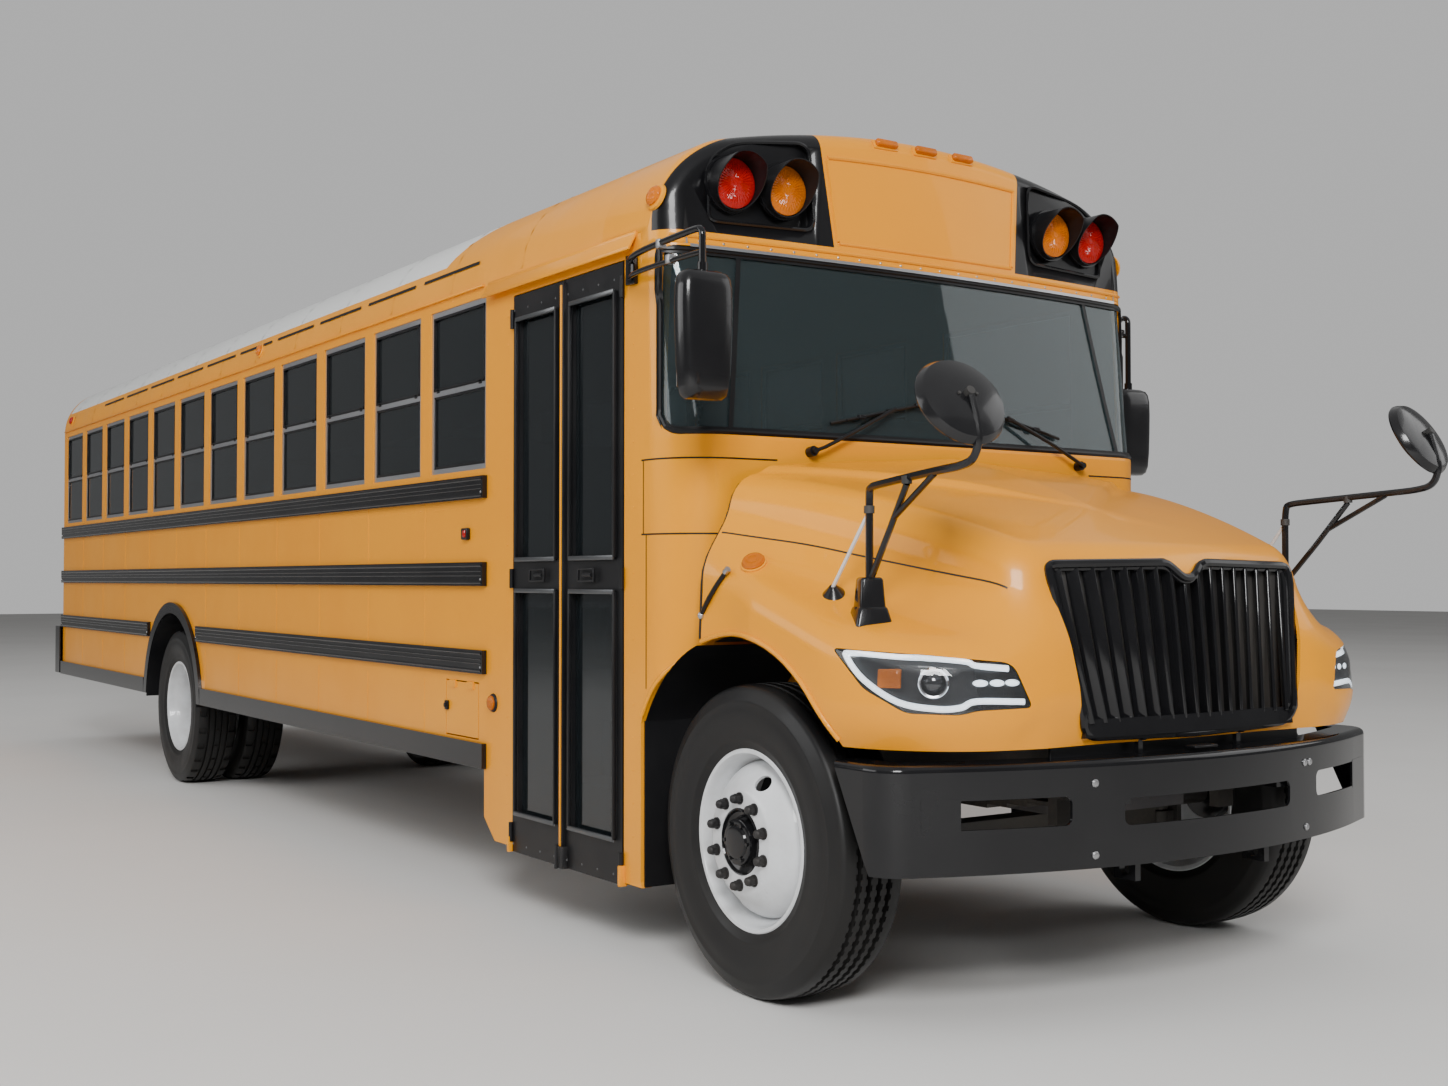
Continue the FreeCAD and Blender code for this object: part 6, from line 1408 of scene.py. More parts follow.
# %% Wipers
wipers, wiper_blades = blanks(2)
on_cowl = surface("cowl")
for side, pivot_x in ((-1, 0.657), (1, 0.727)):
    seat = on_cowl((side * pivot_x, at(-1), 1.852), (0, 1, 0))[0]
    bar(wipers, seat + Vector((0, 0.01, 0)), seat + Vector((0, -0.030, 0.004)), 0.019, 20)
    bar(wipers, seat + Vector((0, -0.030, 0.004)), seat + Vector((0, -0.044, 0.005)), 0.012, 16)
    tip = on_glass((side * (pivot_x - 0.40), at(-1), 2.035), (0, 1, 0))[0]
    elbow = seat + (tip - seat) * 0.42
    elbow.y = seat.y - 0.042
    tube(wipers, [seat + Vector((0, -0.036, 0.004)),
                  seat + (tip - seat) * 0.1 + Vector((0, -0.044, 0)), elbow,
                  tip + Vector((0, -0.030, 0))], 0.0075, 8, 2)
    low_end = on_glass((side * (pivot_x - 0.10), at(-1), 1.965), (0, 1, 0))[0]
    high_end = on_glass((side * (pivot_x - 0.66), at(-1), 2.085), (0, 1, 0))[0]
    spots = [low_end + (high_end - low_end) * step / 8 for step in range(9)]
    line = [on_glass((spot.x, at(-1), spot.z), (0, 1, 0))[0] for spot in spots]
    tube(wiper_blades, [p + Vector((0, -0.014, 0)) for p in line], 0.0065, 6, 2)
    tube(wipers, [p + Vector((0, -0.024, 0)) for p in line[1:-1]], 0.0045, 6, 2)
    for p in (line[2], line[4], line[6]):
        block(wipers, (p.x - 0.016, p.x + 0.016), (p.y - 0.034, p.y - 0.012),
              (p.z - 0.008, p.z + 0.008), 0.003, 1)
close_piece(wipers, "wiper_arms", "bus", satin_black, 40)
close_piece(wiper_blades, "wiper_blades", "bus", rubber, 40)

# %% Cowl seams
seams = bmesh.new()
for z in (1.818, 1.549):
    for side in (-1, 1):
        ribbon(seams, [on_cowl(*round_front(side * float(a), z))
                       for a in np.linspace(math.atan2(0.80, 0.98), END + 0.12, 24)], 0.006, 0.0012)
close_piece(seams, "cowl_seams", "bus", satin_black, 40)


# %% [markdown]
# ## Side walls
# The rub rails are pressed strips: a round bead along the top and fine grooves below it, with
# capped ends. Windows have a gasket inside each sash, and thumb latches on the upper sash. Rows of
# rivets follow the window pillars and the rails.

# %% Rub rails with pressed ribs
def loose_parts(node):
    """Boxes round the separate shells of a node: (low corner, high corner) for each."""
    bm = bmesh.new()
    bm.from_mesh(nodes[node].data)
    bmesh.ops.remove_doubles(bm, verts=bm.verts, dist=1e-5)
    seen, found = set(), []
    for vert in bm.verts:
        if vert in seen:
            continue
        stack, group = [vert], []
        seen.add(vert)
        while stack:
            here = stack.pop()
            group.append(nodes[node].matrix_world @ here.co)
            for edge in here.link_edges:
                other = edge.other_vert(here)
                if other not in seen:
                    seen.add(other)
                    stack.append(other)
        found.append(tuple(Vector(pick(p[i] for p in group) for i in range(3))
                           for pick in (min, max)))
    bm.free()
    return found


rail_parts = loose_parts("rub_rails")
ribs, end_rivets = blanks(2)
for low, high in rail_parts:
    if high.y - low.y < 0.5 or high.z - low.z > 0.14 or low.z < 0.60:
        continue
    side = 1 if low.x > 0 else -1
    face = high.x if side > 0 else low.x
    tall = high.z - low.z
    for share, radius in ((0.86, 0.0085), (0.62, 0.0045), (0.44, 0.0045), (0.14, 0.0085)):
        z = low.z + tall * share
        x = face - side * radius * 0.55
        bar(ribs, (x, low.y + 0.012, z), (x, high.y - 0.012, z), radius, 10)
    for y in (low.y + 0.020, high.y - 0.020):
        rivets(end_rivets, [Vector((face, y, low.z + tall * 0.28))], (side, 0, 0), 0.006, 0.003)
close_piece(ribs, "rub_rail_ribs", "bus", gloss_black, 40)
close_piece(end_rivets, "rub_rail_rivets", "bus", steel)

# %% Rivets and panel seams
window_pitch, window_first, window_wide = 0.705, 1.915, 0.590
window_low, window_high = 1.865, 2.610
REAR_ARCH_Y, REAR_ARCH_Z = 6.850, 0.520
studs, seams = blanks(2)
for side in (-1, 1):
    wall = side * skin_x
    pillars = [window_first + window_pitch * index - (window_pitch - window_wide) / 2
               for index in range(1, 12)]
    columns = [(pillar + offset, window_low + 0.03, window_high, 0.075, 0.0042)
               for pillar in pillars for offset in (-0.030, 0.030)]
    for z in (2.636, 1.700, 1.848):
        rivets(studs, [Vector((wall, at(float(y)), z)) for y in np.arange(2.0, 10.25, 0.0881)],
               (side, 0, 0), 0.0042, 0.0020)
    for pillar in pillars:
        for low_z, high_z in ((1.46, 1.74), (0.98, 1.37), (0.66, 0.93)):
            if low_z > 1.3 or abs(pillar - REAR_ARCH_Y) > 0.72:
                bar(seams, (wall, at(pillar), low_z), (wall, at(pillar), high_z), 0.0016, 6)
                columns.append((pillar + 0.013, low_z + 0.03, high_z - 0.02, 0.07, 0.0038))
    for y, low_z, high_z, pitch, radius in columns:
        rivets(studs, [Vector((wall, at(y), float(z))) for z in np.arange(low_z, high_z, pitch)],
               (side, 0, 0), radius, 0.0020 if radius > 0.004 else 0.0018)
close_piece(studs, "wall_rivets", "bus", yellow, 60)
close_piece(seams, "wall_panel_seams", "bus", yellow, 60)

# %% Window gaskets and latches
gaskets, latches = blanks(2)
edge = 0.010
for side in (-1, 1):
    for index in range(12):
        front = window_first + window_pitch * index
        front_y, back_y = at(front), at(front + window_wide)
        a, b = front_y + 0.025, back_y - 0.025
        for low_z, high_z, depth in ((window_low + 0.026, 2.222, 0.010),
                                     (2.248, window_high - 0.026, 0.004)):
            xs = (side * (skin_x - depth), side * (skin_x - depth - 0.012))
            for ys, zs in (((a, a + edge), (low_z, high_z)), ((b - edge, b), (low_z, high_z)),
                           ((a, b), (low_z, low_z + edge)), ((a, b), (high_z - edge, high_z))):
                block(gaskets, xs, ys, zs)
        for share in (0.12, 0.88):
            y = front_y + (back_y - front_y) * share
            block(latches, (side * (skin_x - 0.016), side * (skin_x - 0.004)),
                  (y - 0.016, y + 0.016), (2.238, 2.258), 0.003)
close_piece(gaskets, "window_gaskets", "bus", satin_black, 40)
close_piece(latches, "window_latches", "bus", satin_black, 40)

# %% Gutters, side lamps and small fittings
gutters, side_lamps, lamp_rings, brackets, small_red = blanks(5)
for side in (-1, 1):
    wall = side * skin_x
    start = 1.93 if side < 0 else 0.70  # the curb side's gutter starts behind the doorway
    block(gutters, (wall - side * 0.002, wall + side * 0.014), (at(start), at(10.33)),
          (2.652, 2.662), 0.003)
    seat = Vector((wall, at(1.831), 0.862))
    turned(lamp_rings, ((0, 0.0), (0, 0.040), (0.006, 0.038), (0.010, 0.033), (0.010, 0.0)), seat,
           (side, 0, 0), 36)
    ribbed_lamp(side_lamps, seat + Vector((side * 0.012, 0, 0)), (side, 0, 0), 0.031, 0.014, 18, 4)
block(brackets, (-skin_x - 0.020, -skin_x + 0.001), (at(2.068), at(2.128)), (1.560, 1.612), 0.006)
block(small_red, (-skin_x - 0.026, -skin_x - 0.014), (at(2.076), at(2.102)), (1.570, 1.602), 0.005)
block(brackets, (-skin_x - 0.012, -skin_x), (at(2.284), at(2.314)), (0.803, 0.845), 0.004)
bar(brackets, (-skin_x - 0.010, at(2.299), 0.824), (-skin_x - 0.018, at(2.299), 0.824), 0.010, 16)
close_piece(gutters, "window_gutters", "bus", yellow, 40)
close_piece(side_lamps, "side_marker_lenses", "bus", amber_lens, 25)
close_piece(lamp_rings, "side_marker_rings", "bus", satin_black, 40)
close_piece(brackets, "side_fittings", "bus", satin_black, 40)
close_piece(small_red, "outside_release_lamp", "bus", red_lens, 40)


# %% [markdown]
# ## Entry door
# The two leaves fold on seals. Bright strips hold the panes at top and foot, each leaf has a
# recessed pull, and a drip channel runs over the doorway.

# %% Door trim on its leaves
STILE = 0.062  # width of a leaf's upright frame


def upright(bm, corner, xs, ys, zs, bevel):
    """A block whose limits are counted from a corner of the leaf."""
    block(bm, *[[start + step for step in steps] for start, steps in zip(corner, (xs, ys, zs))],
          bevel)


for word, (low, high), inward, shoe, foot in (
        ("front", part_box("door_front_leaf"), -1, (-0.026, -0.001), (-0.002, 0.013, 0.075)),
        ("rear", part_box("door_rear_leaf"), 1, (-0.004, 0.028), (-0.014, 0.002, 0.062))):
    body, out_x = "entry_door_" + word, low.x
    strips, pulls, seals, shoes, gold_shoes = blanks(5)
    a, b = low.y + STILE - 0.006, high.y - STILE + 0.006
    for z in (0.425, 1.340, 1.468, 2.460):
        block(strips, (out_x - 0.004, out_x + 0.008), (a, b), (z - 0.009, z + 0.009), 0.003)
    for y in (a, b):
        for zs in ((0.425, 1.340), (1.468, 2.460)):
            block(seals, (out_x - 0.003, out_x + 0.012), (y - 0.007, y + 0.007), zs, 0.003)
    pull_y = (low.y + high.y) / 2 - inward * 0.030
    for y0, y1, z0, z1 in ((-0.062, 0.062, 1.376, 1.384), (-0.062, 0.062, 1.422, 1.430),
                           (-0.066, -0.056, 1.376, 1.430), (0.056, 0.066, 1.376, 1.430)):
        block(pulls, (out_x - 0.007, out_x + 0.002), (pull_y + y0, pull_y + y1), (z0, z1), 0.002)
    bar(pulls, (out_x - 0.006, pull_y - 0.052, 1.403), (out_x - 0.006, pull_y + 0.010, 1.403),
        0.008, 12)
    # the leaves meet at the seal; the other edge is the jamb's
    edge, jamb = (low.y, high.y)[::inward]
    block(seals, (out_x - 0.002, out_x + 0.030), (edge, edge + inward * 0.010),
          (low.z + 0.01, high.z - 0.01), 0.004)
    for z in (0.30, 0.42, 2.50):
        spots = [Vector((out_x, y, z)) for y in np.linspace(low.y + 0.05, high.y - 0.05, 4)]
        rivets(strips, spots, (-1, 0, 0), 0.005, 0.0025)
    upright(shoes, (low.x, edge, low.z), (-0.010, 0.030), shoe, (-0.002, 0.085), 0.004)
    if word == "rear":
        bar(shoes, (low.x - 0.012, low.y + 0.012, low.z - 0.004),
            (low.x - 0.012, low.y + 0.012, low.z + 0.09), 0.007, 12)
        gold = bmesh.new()
        block(gold, (low.x - 0.004, low.x + 0.02), (low.y - 0.003, low.y + 0.007),
              (low.z + 0.02, high.z - 0.02), 0.002)
        close_piece(gold, "rear_leaf_gold_edge", body, yellow, 40)
    upright(gold_shoes, (low.x, jamb, low.z), (-0.005, 0.030), foot[:2], (-0.002, foot[2]), 0.003)
    close_piece(strips, word + "_leaf_glazing_strips", body, dark_strip, 40)
    close_piece(pulls, word + "_leaf_pull", body, satin_black, 40)
    close_piece(seals, word + "_leaf_seals", body, satin_black, 40)
    close_piece(shoes, word + "_leaf_shoe", body, nut_metal, 40)
    close_piece(gold_shoes, word + "_leaf_foot", body, yellow, 40)

frame_trim = bmesh.new()
slab(frame_trim, (-skin_x - 0.016, at(1.262), 2.628), Matrix.Rotation(math.radians(28), 4, "Y"),
     (0.010, 1.24, 0.070), 0.003)
block(frame_trim, (-skin_x - 0.010, -skin_x + 0.004), (at(0.645), at(1.885)), (2.640, 2.662), 0.004)
block(frame_trim, (-skin_x - 0.038, -skin_x - 0.028), (at(0.642), at(1.882)), (2.590, 2.606), 0.003)
for z in np.arange(0.45, 2.5, 0.12):
    for y in (0.665, 1.70):
        rivets(frame_trim, [Vector((-skin_x, at(y), float(z)))], (-1, 0, 0), 0.0045, 0.0022)
close_piece(frame_trim, "doorway_frame_trim", "bus", yellow, 40)


# %% [markdown]
# ## Wheel wells, arch lips and bumper fittings
# Each wheel well has a black liner. At the front, the part over the tyre belongs to the hood and
# swings with it, and the rear part belongs to the cowl. A rounded lip follows the front arch.
# Two small plates over the bumper's outer slots end them where they should.

# %% Liners and lips
HOOD_REAR = 0.262
LINER_FRONT = math.radians(151)  # the tyre needs the rest of the arch at full lock


def arch_place(angle, radius, centre=(ARCH_Y, ARCH_Z)):
    """Y and Z on a wheel arch's circle; the angle is measured from straight back, upwards."""
    return at(centre[0] + radius * math.cos(angle)), centre[1] + radius * math.sin(angle)


def liner(bm, side, angles, radius, inner_x, outer_x, centre=(ARCH_Y, ARCH_Z)):
    """A curved black sheet under the arch."""
    rows = []
    for angle in angles:
        y, z = arch_place(angle, radius, centre)
        rows.append([bm.verts.new((side * x, y, z)) for x in (inner_x, outer_x)])
    join_rows(bm, rows, False)


split = math.acos((HOOD_REAR - ARCH_Y) / ARCH_RADIUS)
cowl_end = math.acos((0.606 - ARCH_Y) / ARCH_RADIUS)
arch_foot = ARCH_Z + ARCH_RADIUS * math.sin(cowl_end)
hood_liner, cowl_liner, hood_lip, cowl_lip, rear_liner = blanks(5)
for side in (-1, 1):
    liner(hood_liner, side, np.linspace(split + 0.02, LINER_FRONT, 22), 0.6185, 0.62, 1.12)
    liner(cowl_liner, side, np.linspace(cowl_end, split, 16), 0.612, 0.62, 1.188)
    y = at(0.606)
    block(cowl_liner, (side * 0.62, side * 1.190), (y - 0.010, y - 0.004), (0.275, arch_foot))
    places = []
    for angle in np.linspace(split + 0.01, math.radians(150), 40):
        y, z = arch_place(float(angle), ARCH_RADIUS + 0.004)
        places.append(push_to_hood(np.array([(side * 2.0, y, z)]), np.array((0.0, y, z)))[0])
    tube(hood_lip, [Vector(p) for p in places], 0.010, 10, 2)
    places = []
    for angle in np.linspace(cowl_end, split - 0.01, 28):
        y, z = arch_place(float(angle), ARCH_RADIUS + 0.006)
        pair = on_cowl((side * 3, y, z), (-side, 0, 0))
        if pair:
            places.append(pair[0])
    tube(cowl_lip, places, 0.010, 10, 2)
    liner(rear_liner, side, np.linspace(math.radians(3), math.radians(177), 49), 0.6325, 0.60,
          1.2185, (REAR_ARCH_Y, REAR_ARCH_Z))
close_piece(rear_liner, "rear_wheel_liners", "bus", satin_black, 60, False)
close_piece(hood_liner, "hood_wheel_liners", "hood", satin_black, 60, False)
close_piece(cowl_liner, "cowl_wheel_liners", "bus", satin_black, 60, False)
close_piece(hood_lip, "hood_arch_lips", "hood", yellow, 60)
close_piece(cowl_lip, "cowl_arch_lips", "bus", yellow, 60)

# %% Bumper bolts and the plate between bumper and hood
bolts, valance, fillers = blanks(3)
on_bumper = surface("front_bumper")
for x, z in ((-0.51, 0.764), (-0.51, 0.545), (0.50, 0.764), (0.535, 0.764), (0.51, 0.545)):
    place, out = on_bumper((x, at(-2), z), (0, 1, 0))
    turned(bolts, ((0, 0.0), (0, 0.0125), (0.003, 0.0125), (0.007, 0.009), (0.008, 0.0)), place,
           out, 20)
FILLER_LOW, FILLER_HIGH, FILLER_DEPTH = 0.634, 0.734, 0.010
for side in (-1, 1):
    rows = []
    for x in np.linspace(0.945, 1.062, 12):
        y = on_bumper((side * float(x), at(-2), 0.75), (0, 1, 0))[0].y - 0.0008
        rows.append([fillers.verts.new((side * float(x), y + back, z)) for back, z in (
            (0.0, FILLER_LOW), (0.0, FILLER_HIGH), (FILLER_DEPTH, FILLER_HIGH),
            (FILLER_DEPTH, FILLER_LOW))])
    join_rows(fillers, rows)
    for end in (rows[0], rows[-1]):
        fillers.faces.new(end)
close_piece(fillers, "bumper_slot_plates", "bus", gloss_black, 30)
block(valance, (-0.60, 0.60), (at(-0.84), at(-0.83)), (0.79, 0.875), 0.002, 1)
block(valance, (-0.055, 0.055), (at(-0.945), at(-0.90)), (0.842, 0.852), 0.003, 1)
close_piece(bolts, "bumper_bolts", "bus", steel, 30)
close_piece(valance, "bumper_valance", "bus", satin_black, 40)


# %% [markdown]
# ## Seats
# Bench cushions and backs are padded bodies: boxes with round edges, swollen a little in places.

# %% Padded benches
def crowned(bm, low, high, swell):
    """A box with rounded edges. Points on one part of each former face are moved outwards."""
    slab(bm, (low + high) / 2, Matrix(), high - low)
    bmesh.ops.bevel(bm, geom=bm.edges[:], offset=min(high - low) * 0.28, segments=3, profile=0.6,
                    affect="EDGES")
    faces = bm.faces[:]
    bmesh.ops.subdivide_edges(bm, edges=bm.edges[:], cuts=2, use_grid_fill=True)
    middle, half = (low + high) / 2, (high - low) / 2
    # after the subdivision the old list names one small face of each group
    for vert in {vert for face in faces if face.is_valid for vert in face.verts}:
        share = [(vert.co[i] - middle[i]) / half[i] for i in range(3)]
        for axis in range(3):
            others = [share[i] for i in range(3) if i != axis]
            lift = max(0.0, 1 - others[0] ** 4) * max(0.0, 1 - others[1] ** 4)
            vert.co[axis] += share[axis] ** 3 * lift * swell


def padded_parts(node, name, swell):
    """Crowned pieces in place of every separate shell of a node."""
    bm = bmesh.new()
    for low, high in loose_parts(node):
        local = bmesh.new()
        inset = Vector((swell, swell, swell))
        crowned(local, low + inset, high - inset, swell)
        pour(bm, local)
    piece = close_piece(bm, name, "bus", vinyl, 50)
    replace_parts(piece, node)


padded_parts("seat_cushions", "bench_cushions", 0.010)
padded_parts("seat_backs", "bench_backs", 0.009)
padded_parts("driver_seat", "driver_seat_pads", 0.010)


# %% [markdown]
# ## Rear
# The rear wall repeats the four warning lamps and adds stop, turn and reversing lamps, reflectors,
# a blank number plate and the emergency door's handle. The bumper gets its bolts.

# %% Rear lamps
behind = Vector((0, 1, 0))
tail_reds, tail_ambers, tail_rims, tail_clears, rear_visors = blanks(5)
for side in (-1, 1):
    for middle, lens_mesh in ((LAMP_OUTER, tail_reds), (LAMP_INNER, tail_ambers)):
        spot = Vector((side * middle, rear_face + 0.004, LAMP_Z - 0.020))
        turned(tail_rims, ((-0.006, 0.0), (-0.006, LAMP_RADIUS + 0.016),
                           (0.010, LAMP_RADIUS + 0.014), (0.014, LAMP_RADIUS + 0.004),
                           (0.012, LAMP_RADIUS - 0.006)), spot, behind, 56)
        ribbed_lamp(lens_mesh, spot + behind * 0.010, behind, LAMP_RADIUS - 0.006, 0.020)
        visor(rear_visors, spot + behind * 0.006, behind, LAMP_RADIUS - 0.002, 0.075, 0.014)
    # stop lamp, turn lamp and reversing lamp, from the outside in
    for x, z, radius, lens_mesh in ((0.985, 1.665, 0.092, tail_reds),
                                    (0.985, 1.445, 0.052, tail_reds),
                                    (0.760, 1.665, 0.092, tail_ambers),
                                    (0.760, 1.445, 0.052, tail_clears)):
        spot = Vector((side * x, rear_face + 0.002, z))
        turned(tail_rims, ((-0.006, 0.0), (-0.006, radius + 0.014), (0.008, radius + 0.012),
                           (0.012, radius + 0.003), (0.010, radius - 0.005)), spot, behind, 48)
        ribbed_lamp(lens_mesh, spot + behind * 0.008, behind, radius - 0.004, 0.016)
    # a reflector low on the corner
    spot = Vector((side * 1.055, rear_face, 1.10))
    turned(tail_reds, ((0.0, 0.0), (0.0, 0.040), (0.006, 0.039), (0.010, 0.034), (0.010, 0.0)),
           spot, behind, 32)
on_rear = surface("rear_wall")
for x in (-0.197, 0.0, 0.197):
    place, out = on_rear((x, at(12), 3.055), (0, -1, 0))
    slab(tail_reds, place + out * 0.010, frame_of(out), (0.104, 0.034, 0.028), 0.009, 3)
close_piece(tail_reds, "rear_red_lamps", "bus", red_lens, 20)
close_piece(tail_ambers, "rear_amber_lamps", "bus", amber_lens, 20)
close_piece(tail_clears, "reversing_lamps", "bus", white_lens, 20)
close_piece(tail_rims, "rear_lamp_rims", "bus", gloss_black, 30)
close_piece(rear_visors, "rear_lamp_visors", "bus", satin_black, 40)

# %% Plate, beads, handle and bumper bolts
plate, rear_trim, rear_steel, rear_gaskets, door_trim, door_handle = blanks(6)
block(plate, (0.615, 0.925), (rear_face - 0.001, rear_face + 0.004), (1.118, 1.282), 0.002)
for x in (-1, 1):
    for z in (-1, 1):
        rivets(rear_steel, [Vector((0.770 + x * 0.0889, rear_face + 0.004, 1.2 + z * 0.0603))],
               (0, 1, 0), 0.008, 0.003)
for z in (1.842, 2.60, 1.365, 1.04):
    for side in (-1, 1):
        bar(rear_trim, (side * 0.47, rear_face - 0.002, z), (side * 1.10, rear_face - 0.002, z),
            0.008, 10)
for x in (-0.452, 0.452):
    bar(rear_trim, (x, rear_face - 0.001, 1.0), (x, rear_face - 0.001, 2.575), 0.007, 10)
bar(rear_trim, (-0.452, rear_face - 0.001, 2.575), (0.452, rear_face - 0.001, 2.575), 0.007, 10)
for side in (-1, 1):
    for z in np.arange(1.10, 2.55, 0.09):
        rivets(rear_steel, [Vector((side * 0.50, rear_face, float(z)))], (0, 1, 0), 0.0045, 0.002)
for x in np.linspace(-1.0, 1.0, 9):
    if abs(x) > 0.3:
        turned(rear_steel, ((0, 0.0), (0, 0.016), (0.004, 0.016), (0.009, 0.010), (0.009, 0.0)),
               Vector((float(x), at(10.600), 0.78)), behind, 18)
close_piece(plate, "number_plate_blank", "bus", white_paint, 40)
close_piece(rear_trim, "rear_wall_beads", "bus", yellow, 60)
close_piece(rear_steel, "rear_rivets_and_bolts", "bus", steel, 40)

# %% Emergency door and rear window gaskets
door_y = at(10.450) - 0.002
for z0, z1 in ((1.862, 2.453), (1.107, 1.448)):
    for x in (-0.347, 0.347):
        block(door_trim, (x - 0.012, x + 0.012), (door_y - 0.004, door_y + 0.008), (z0, z1),
              0.004)
    for z in (z0, z1):
        block(door_trim, (-0.359, 0.359), (door_y - 0.004, door_y + 0.008),
              (z - 0.012, z + 0.012), 0.004)
bar(door_handle, (0.30, door_y + 0.030, 1.545), (0.30, door_y + 0.052, 1.545), 0.016, 20)
tube(door_handle, [Vector((0.30, door_y + 0.048, 1.545)), Vector((0.22, door_y + 0.055, 1.545)),
                   Vector((0.12, door_y + 0.050, 1.548))], 0.010, 12, 2)
block(door_handle, (0.245, 0.385), (door_y + 0.004, door_y + 0.034), (1.520, 1.570), 0.006)
low_x, high_x, low_z, high_z, edge = 0.55, 1.05, 1.865, 2.50, 0.020
depth = (rear_face - 0.002, rear_face + 0.007)
for side in (-1, 1):
    for a, b in ((low_x, low_x + edge), (high_x - edge, high_x)):
        block(rear_gaskets, (side * a, side * b), depth, (low_z, high_z), 0.003)
    for a, b in ((low_z, low_z + edge), (high_z - edge, high_z)):
        block(rear_gaskets, (side * low_x, side * high_x), depth, (a, b), 0.003)
close_piece(rear_gaskets, "rear_window_gaskets", "bus", satin_black, 40)
close_piece(door_trim, "emergency_door_gaskets", "emergency_door", satin_black, 40)
close_piece(door_handle, "emergency_door_handle", "emergency_door", gloss_black, 40)


# %% [markdown]
# ## Roof, stop arm and side mirrors
# Roof bows show as faint seams. Each hatch lid has a raised panel. The stop arm is a red octagon
# with a plain white border.

# %% Roof seams and hatch lids
HATCHES = {"front": 3.0, "rear": 7.9}  # metres behind the front axle
on_roof = surface("roof")
roof_beads = bmesh.new()
for y in np.arange(1.58, 10.2, 0.705):
    outs = [Vector((math.sin(angle), 0, math.cos(angle)))
            for angle in np.linspace(-math.radians(80), math.radians(80), 44)]
    pairs = [on_roof(Vector((0, at(float(y)), 2.3)) + out * 3, -out) for out in outs]
    pairs = [pair for pair in pairs if pair and pair[0].z > 2.66]
    if any(abs(y - hatch) < 0.34 for hatch in HATCHES.values()):
        for side in (-1, 1):
            ribbon(roof_beads, [p for p in pairs if side * p[0].x > 0.33], 0.022, 0.0025)
    else:
        ribbon(roof_beads, pairs, 0.022, 0.0025)
close_piece(roof_beads, "roof_seams", "bus", nodes["roof"].data.materials[0], 60)
for name, middle in HATCHES.items():
    top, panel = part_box("roof_hatch_" + name)[1].z, bmesh.new()
    block(panel, (-0.235, 0.235), (at(middle) - 0.235, at(middle) + 0.235),
          (top - 0.006, top + 0.008), 0.006, 3)
    close_piece(panel, "roof_hatch_%s_panel" % name, "roof_hatch_" + name,
                white_roof, 40)

# %% Roof edge strip and its markers
strip, marks, mark_seats, red_marks = blanks(4)


def roof_side(side, y, z):
    return on_roof((side * 3, at(y), z), (-side, 0, 0))


for side in (-1, 1):
    for index in range(10):
        start = 2.02 + index * window_pitch
        ribbon(strip, [roof_side(side, float(y), 2.772)
                       for y in np.linspace(start, start + 0.60, 8)], 0.016, 0.004)
    for y, mesh in ((5.03, marks), (10.12, red_marks)):
        place, out = roof_side(side, y, 2.742)
        turned(mark_seats, ((-0.008, 0.0), (-0.004, 0.046), (0.004, 0.044), (0.007, 0.038),
                            (0.007, 0.0)), place, out, 32)
        ribbed_lamp(mesh, place + out * 0.009, out, 0.033, 0.018, 20, 4)
close_piece(strip, "roof_edge_strips", "bus", satin_black, 60)
close_piece(marks, "roof_side_amber_markers", "bus", amber_lens, 25)
close_piece(red_marks, "roof_side_red_markers", "bus", red_lens, 25)
close_piece(mark_seats, "roof_marker_seats", "bus", yellow, 30)

# %% Stop arm face
arm_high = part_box("stop_arm")[1]
arm_mid = Vector((arm_high.x, arm_high.y - 0.247 * math.cos(math.pi / 8), 1.5))
borders, lamps_red = blanks(2)
turns = [math.tau * (step + 0.5) / 8 for step in range(8)]
join_rows(borders, [[borders.verts.new(arm_mid + Vector((
    0.0015, radius * math.cos(turn), radius * math.sin(turn)))) for turn in turns]
    for radius in (0.240, 0.222)])
for rise in (-0.165, 0.165):
    turned(lamps_red, ((0, 0.0), (0, 0.040), (0.008, 0.039), (0.014, 0.028), (0.016, 0.0)),
           arm_mid + Vector((0, 0, rise)), (1, 0, 0), 32)
close_piece(borders, "stop_arm_border", "stop_arm", white_paint, 40, False)
close_piece(lamps_red, "stop_arm_lamps", "stop_arm", red_lens, 30)


# %% Side mirror heads, their brackets and the hood's rear lip
def mirror_head(bm, centre, half, tall, depth_front=0.058, depth_rear=0.030):
    """A rounded housing, widest above its middle, flat at the back where the glass sits."""
    levels = ((0.0, 0.66, 0.55), (0.03, 0.80, 0.80), (0.10, 0.87, 0.95), (0.25, 0.93, 1.0),
              (0.5, 0.98, 1.0), (0.72, 1.0, 1.0), (0.86, 0.985, 0.98), (0.94, 0.93, 0.90),
              (0.98, 0.84, 0.76), (1.0, 0.66, 0.50))
    steps, rows = 40, []
    for share, wide, deep in levels:
        row = []
        for step in range(steps):
            turn = math.tau * step / steps
            across = math.copysign(abs(math.cos(turn)) ** 0.5, math.cos(turn))
            along = math.copysign(abs(math.sin(turn)) ** 0.6, math.sin(turn))
            depth = depth_rear if along > 0 else depth_front
            row.append(bm.verts.new(centre + Vector((across * half * wide, along * depth * deep,
                                                     (share - 0.5) * tall))))
        rows.append(row)
    join_rows(bm, rows)
    bm.faces.new(list(reversed(rows[0])))
    bm.faces.new(rows[-1])


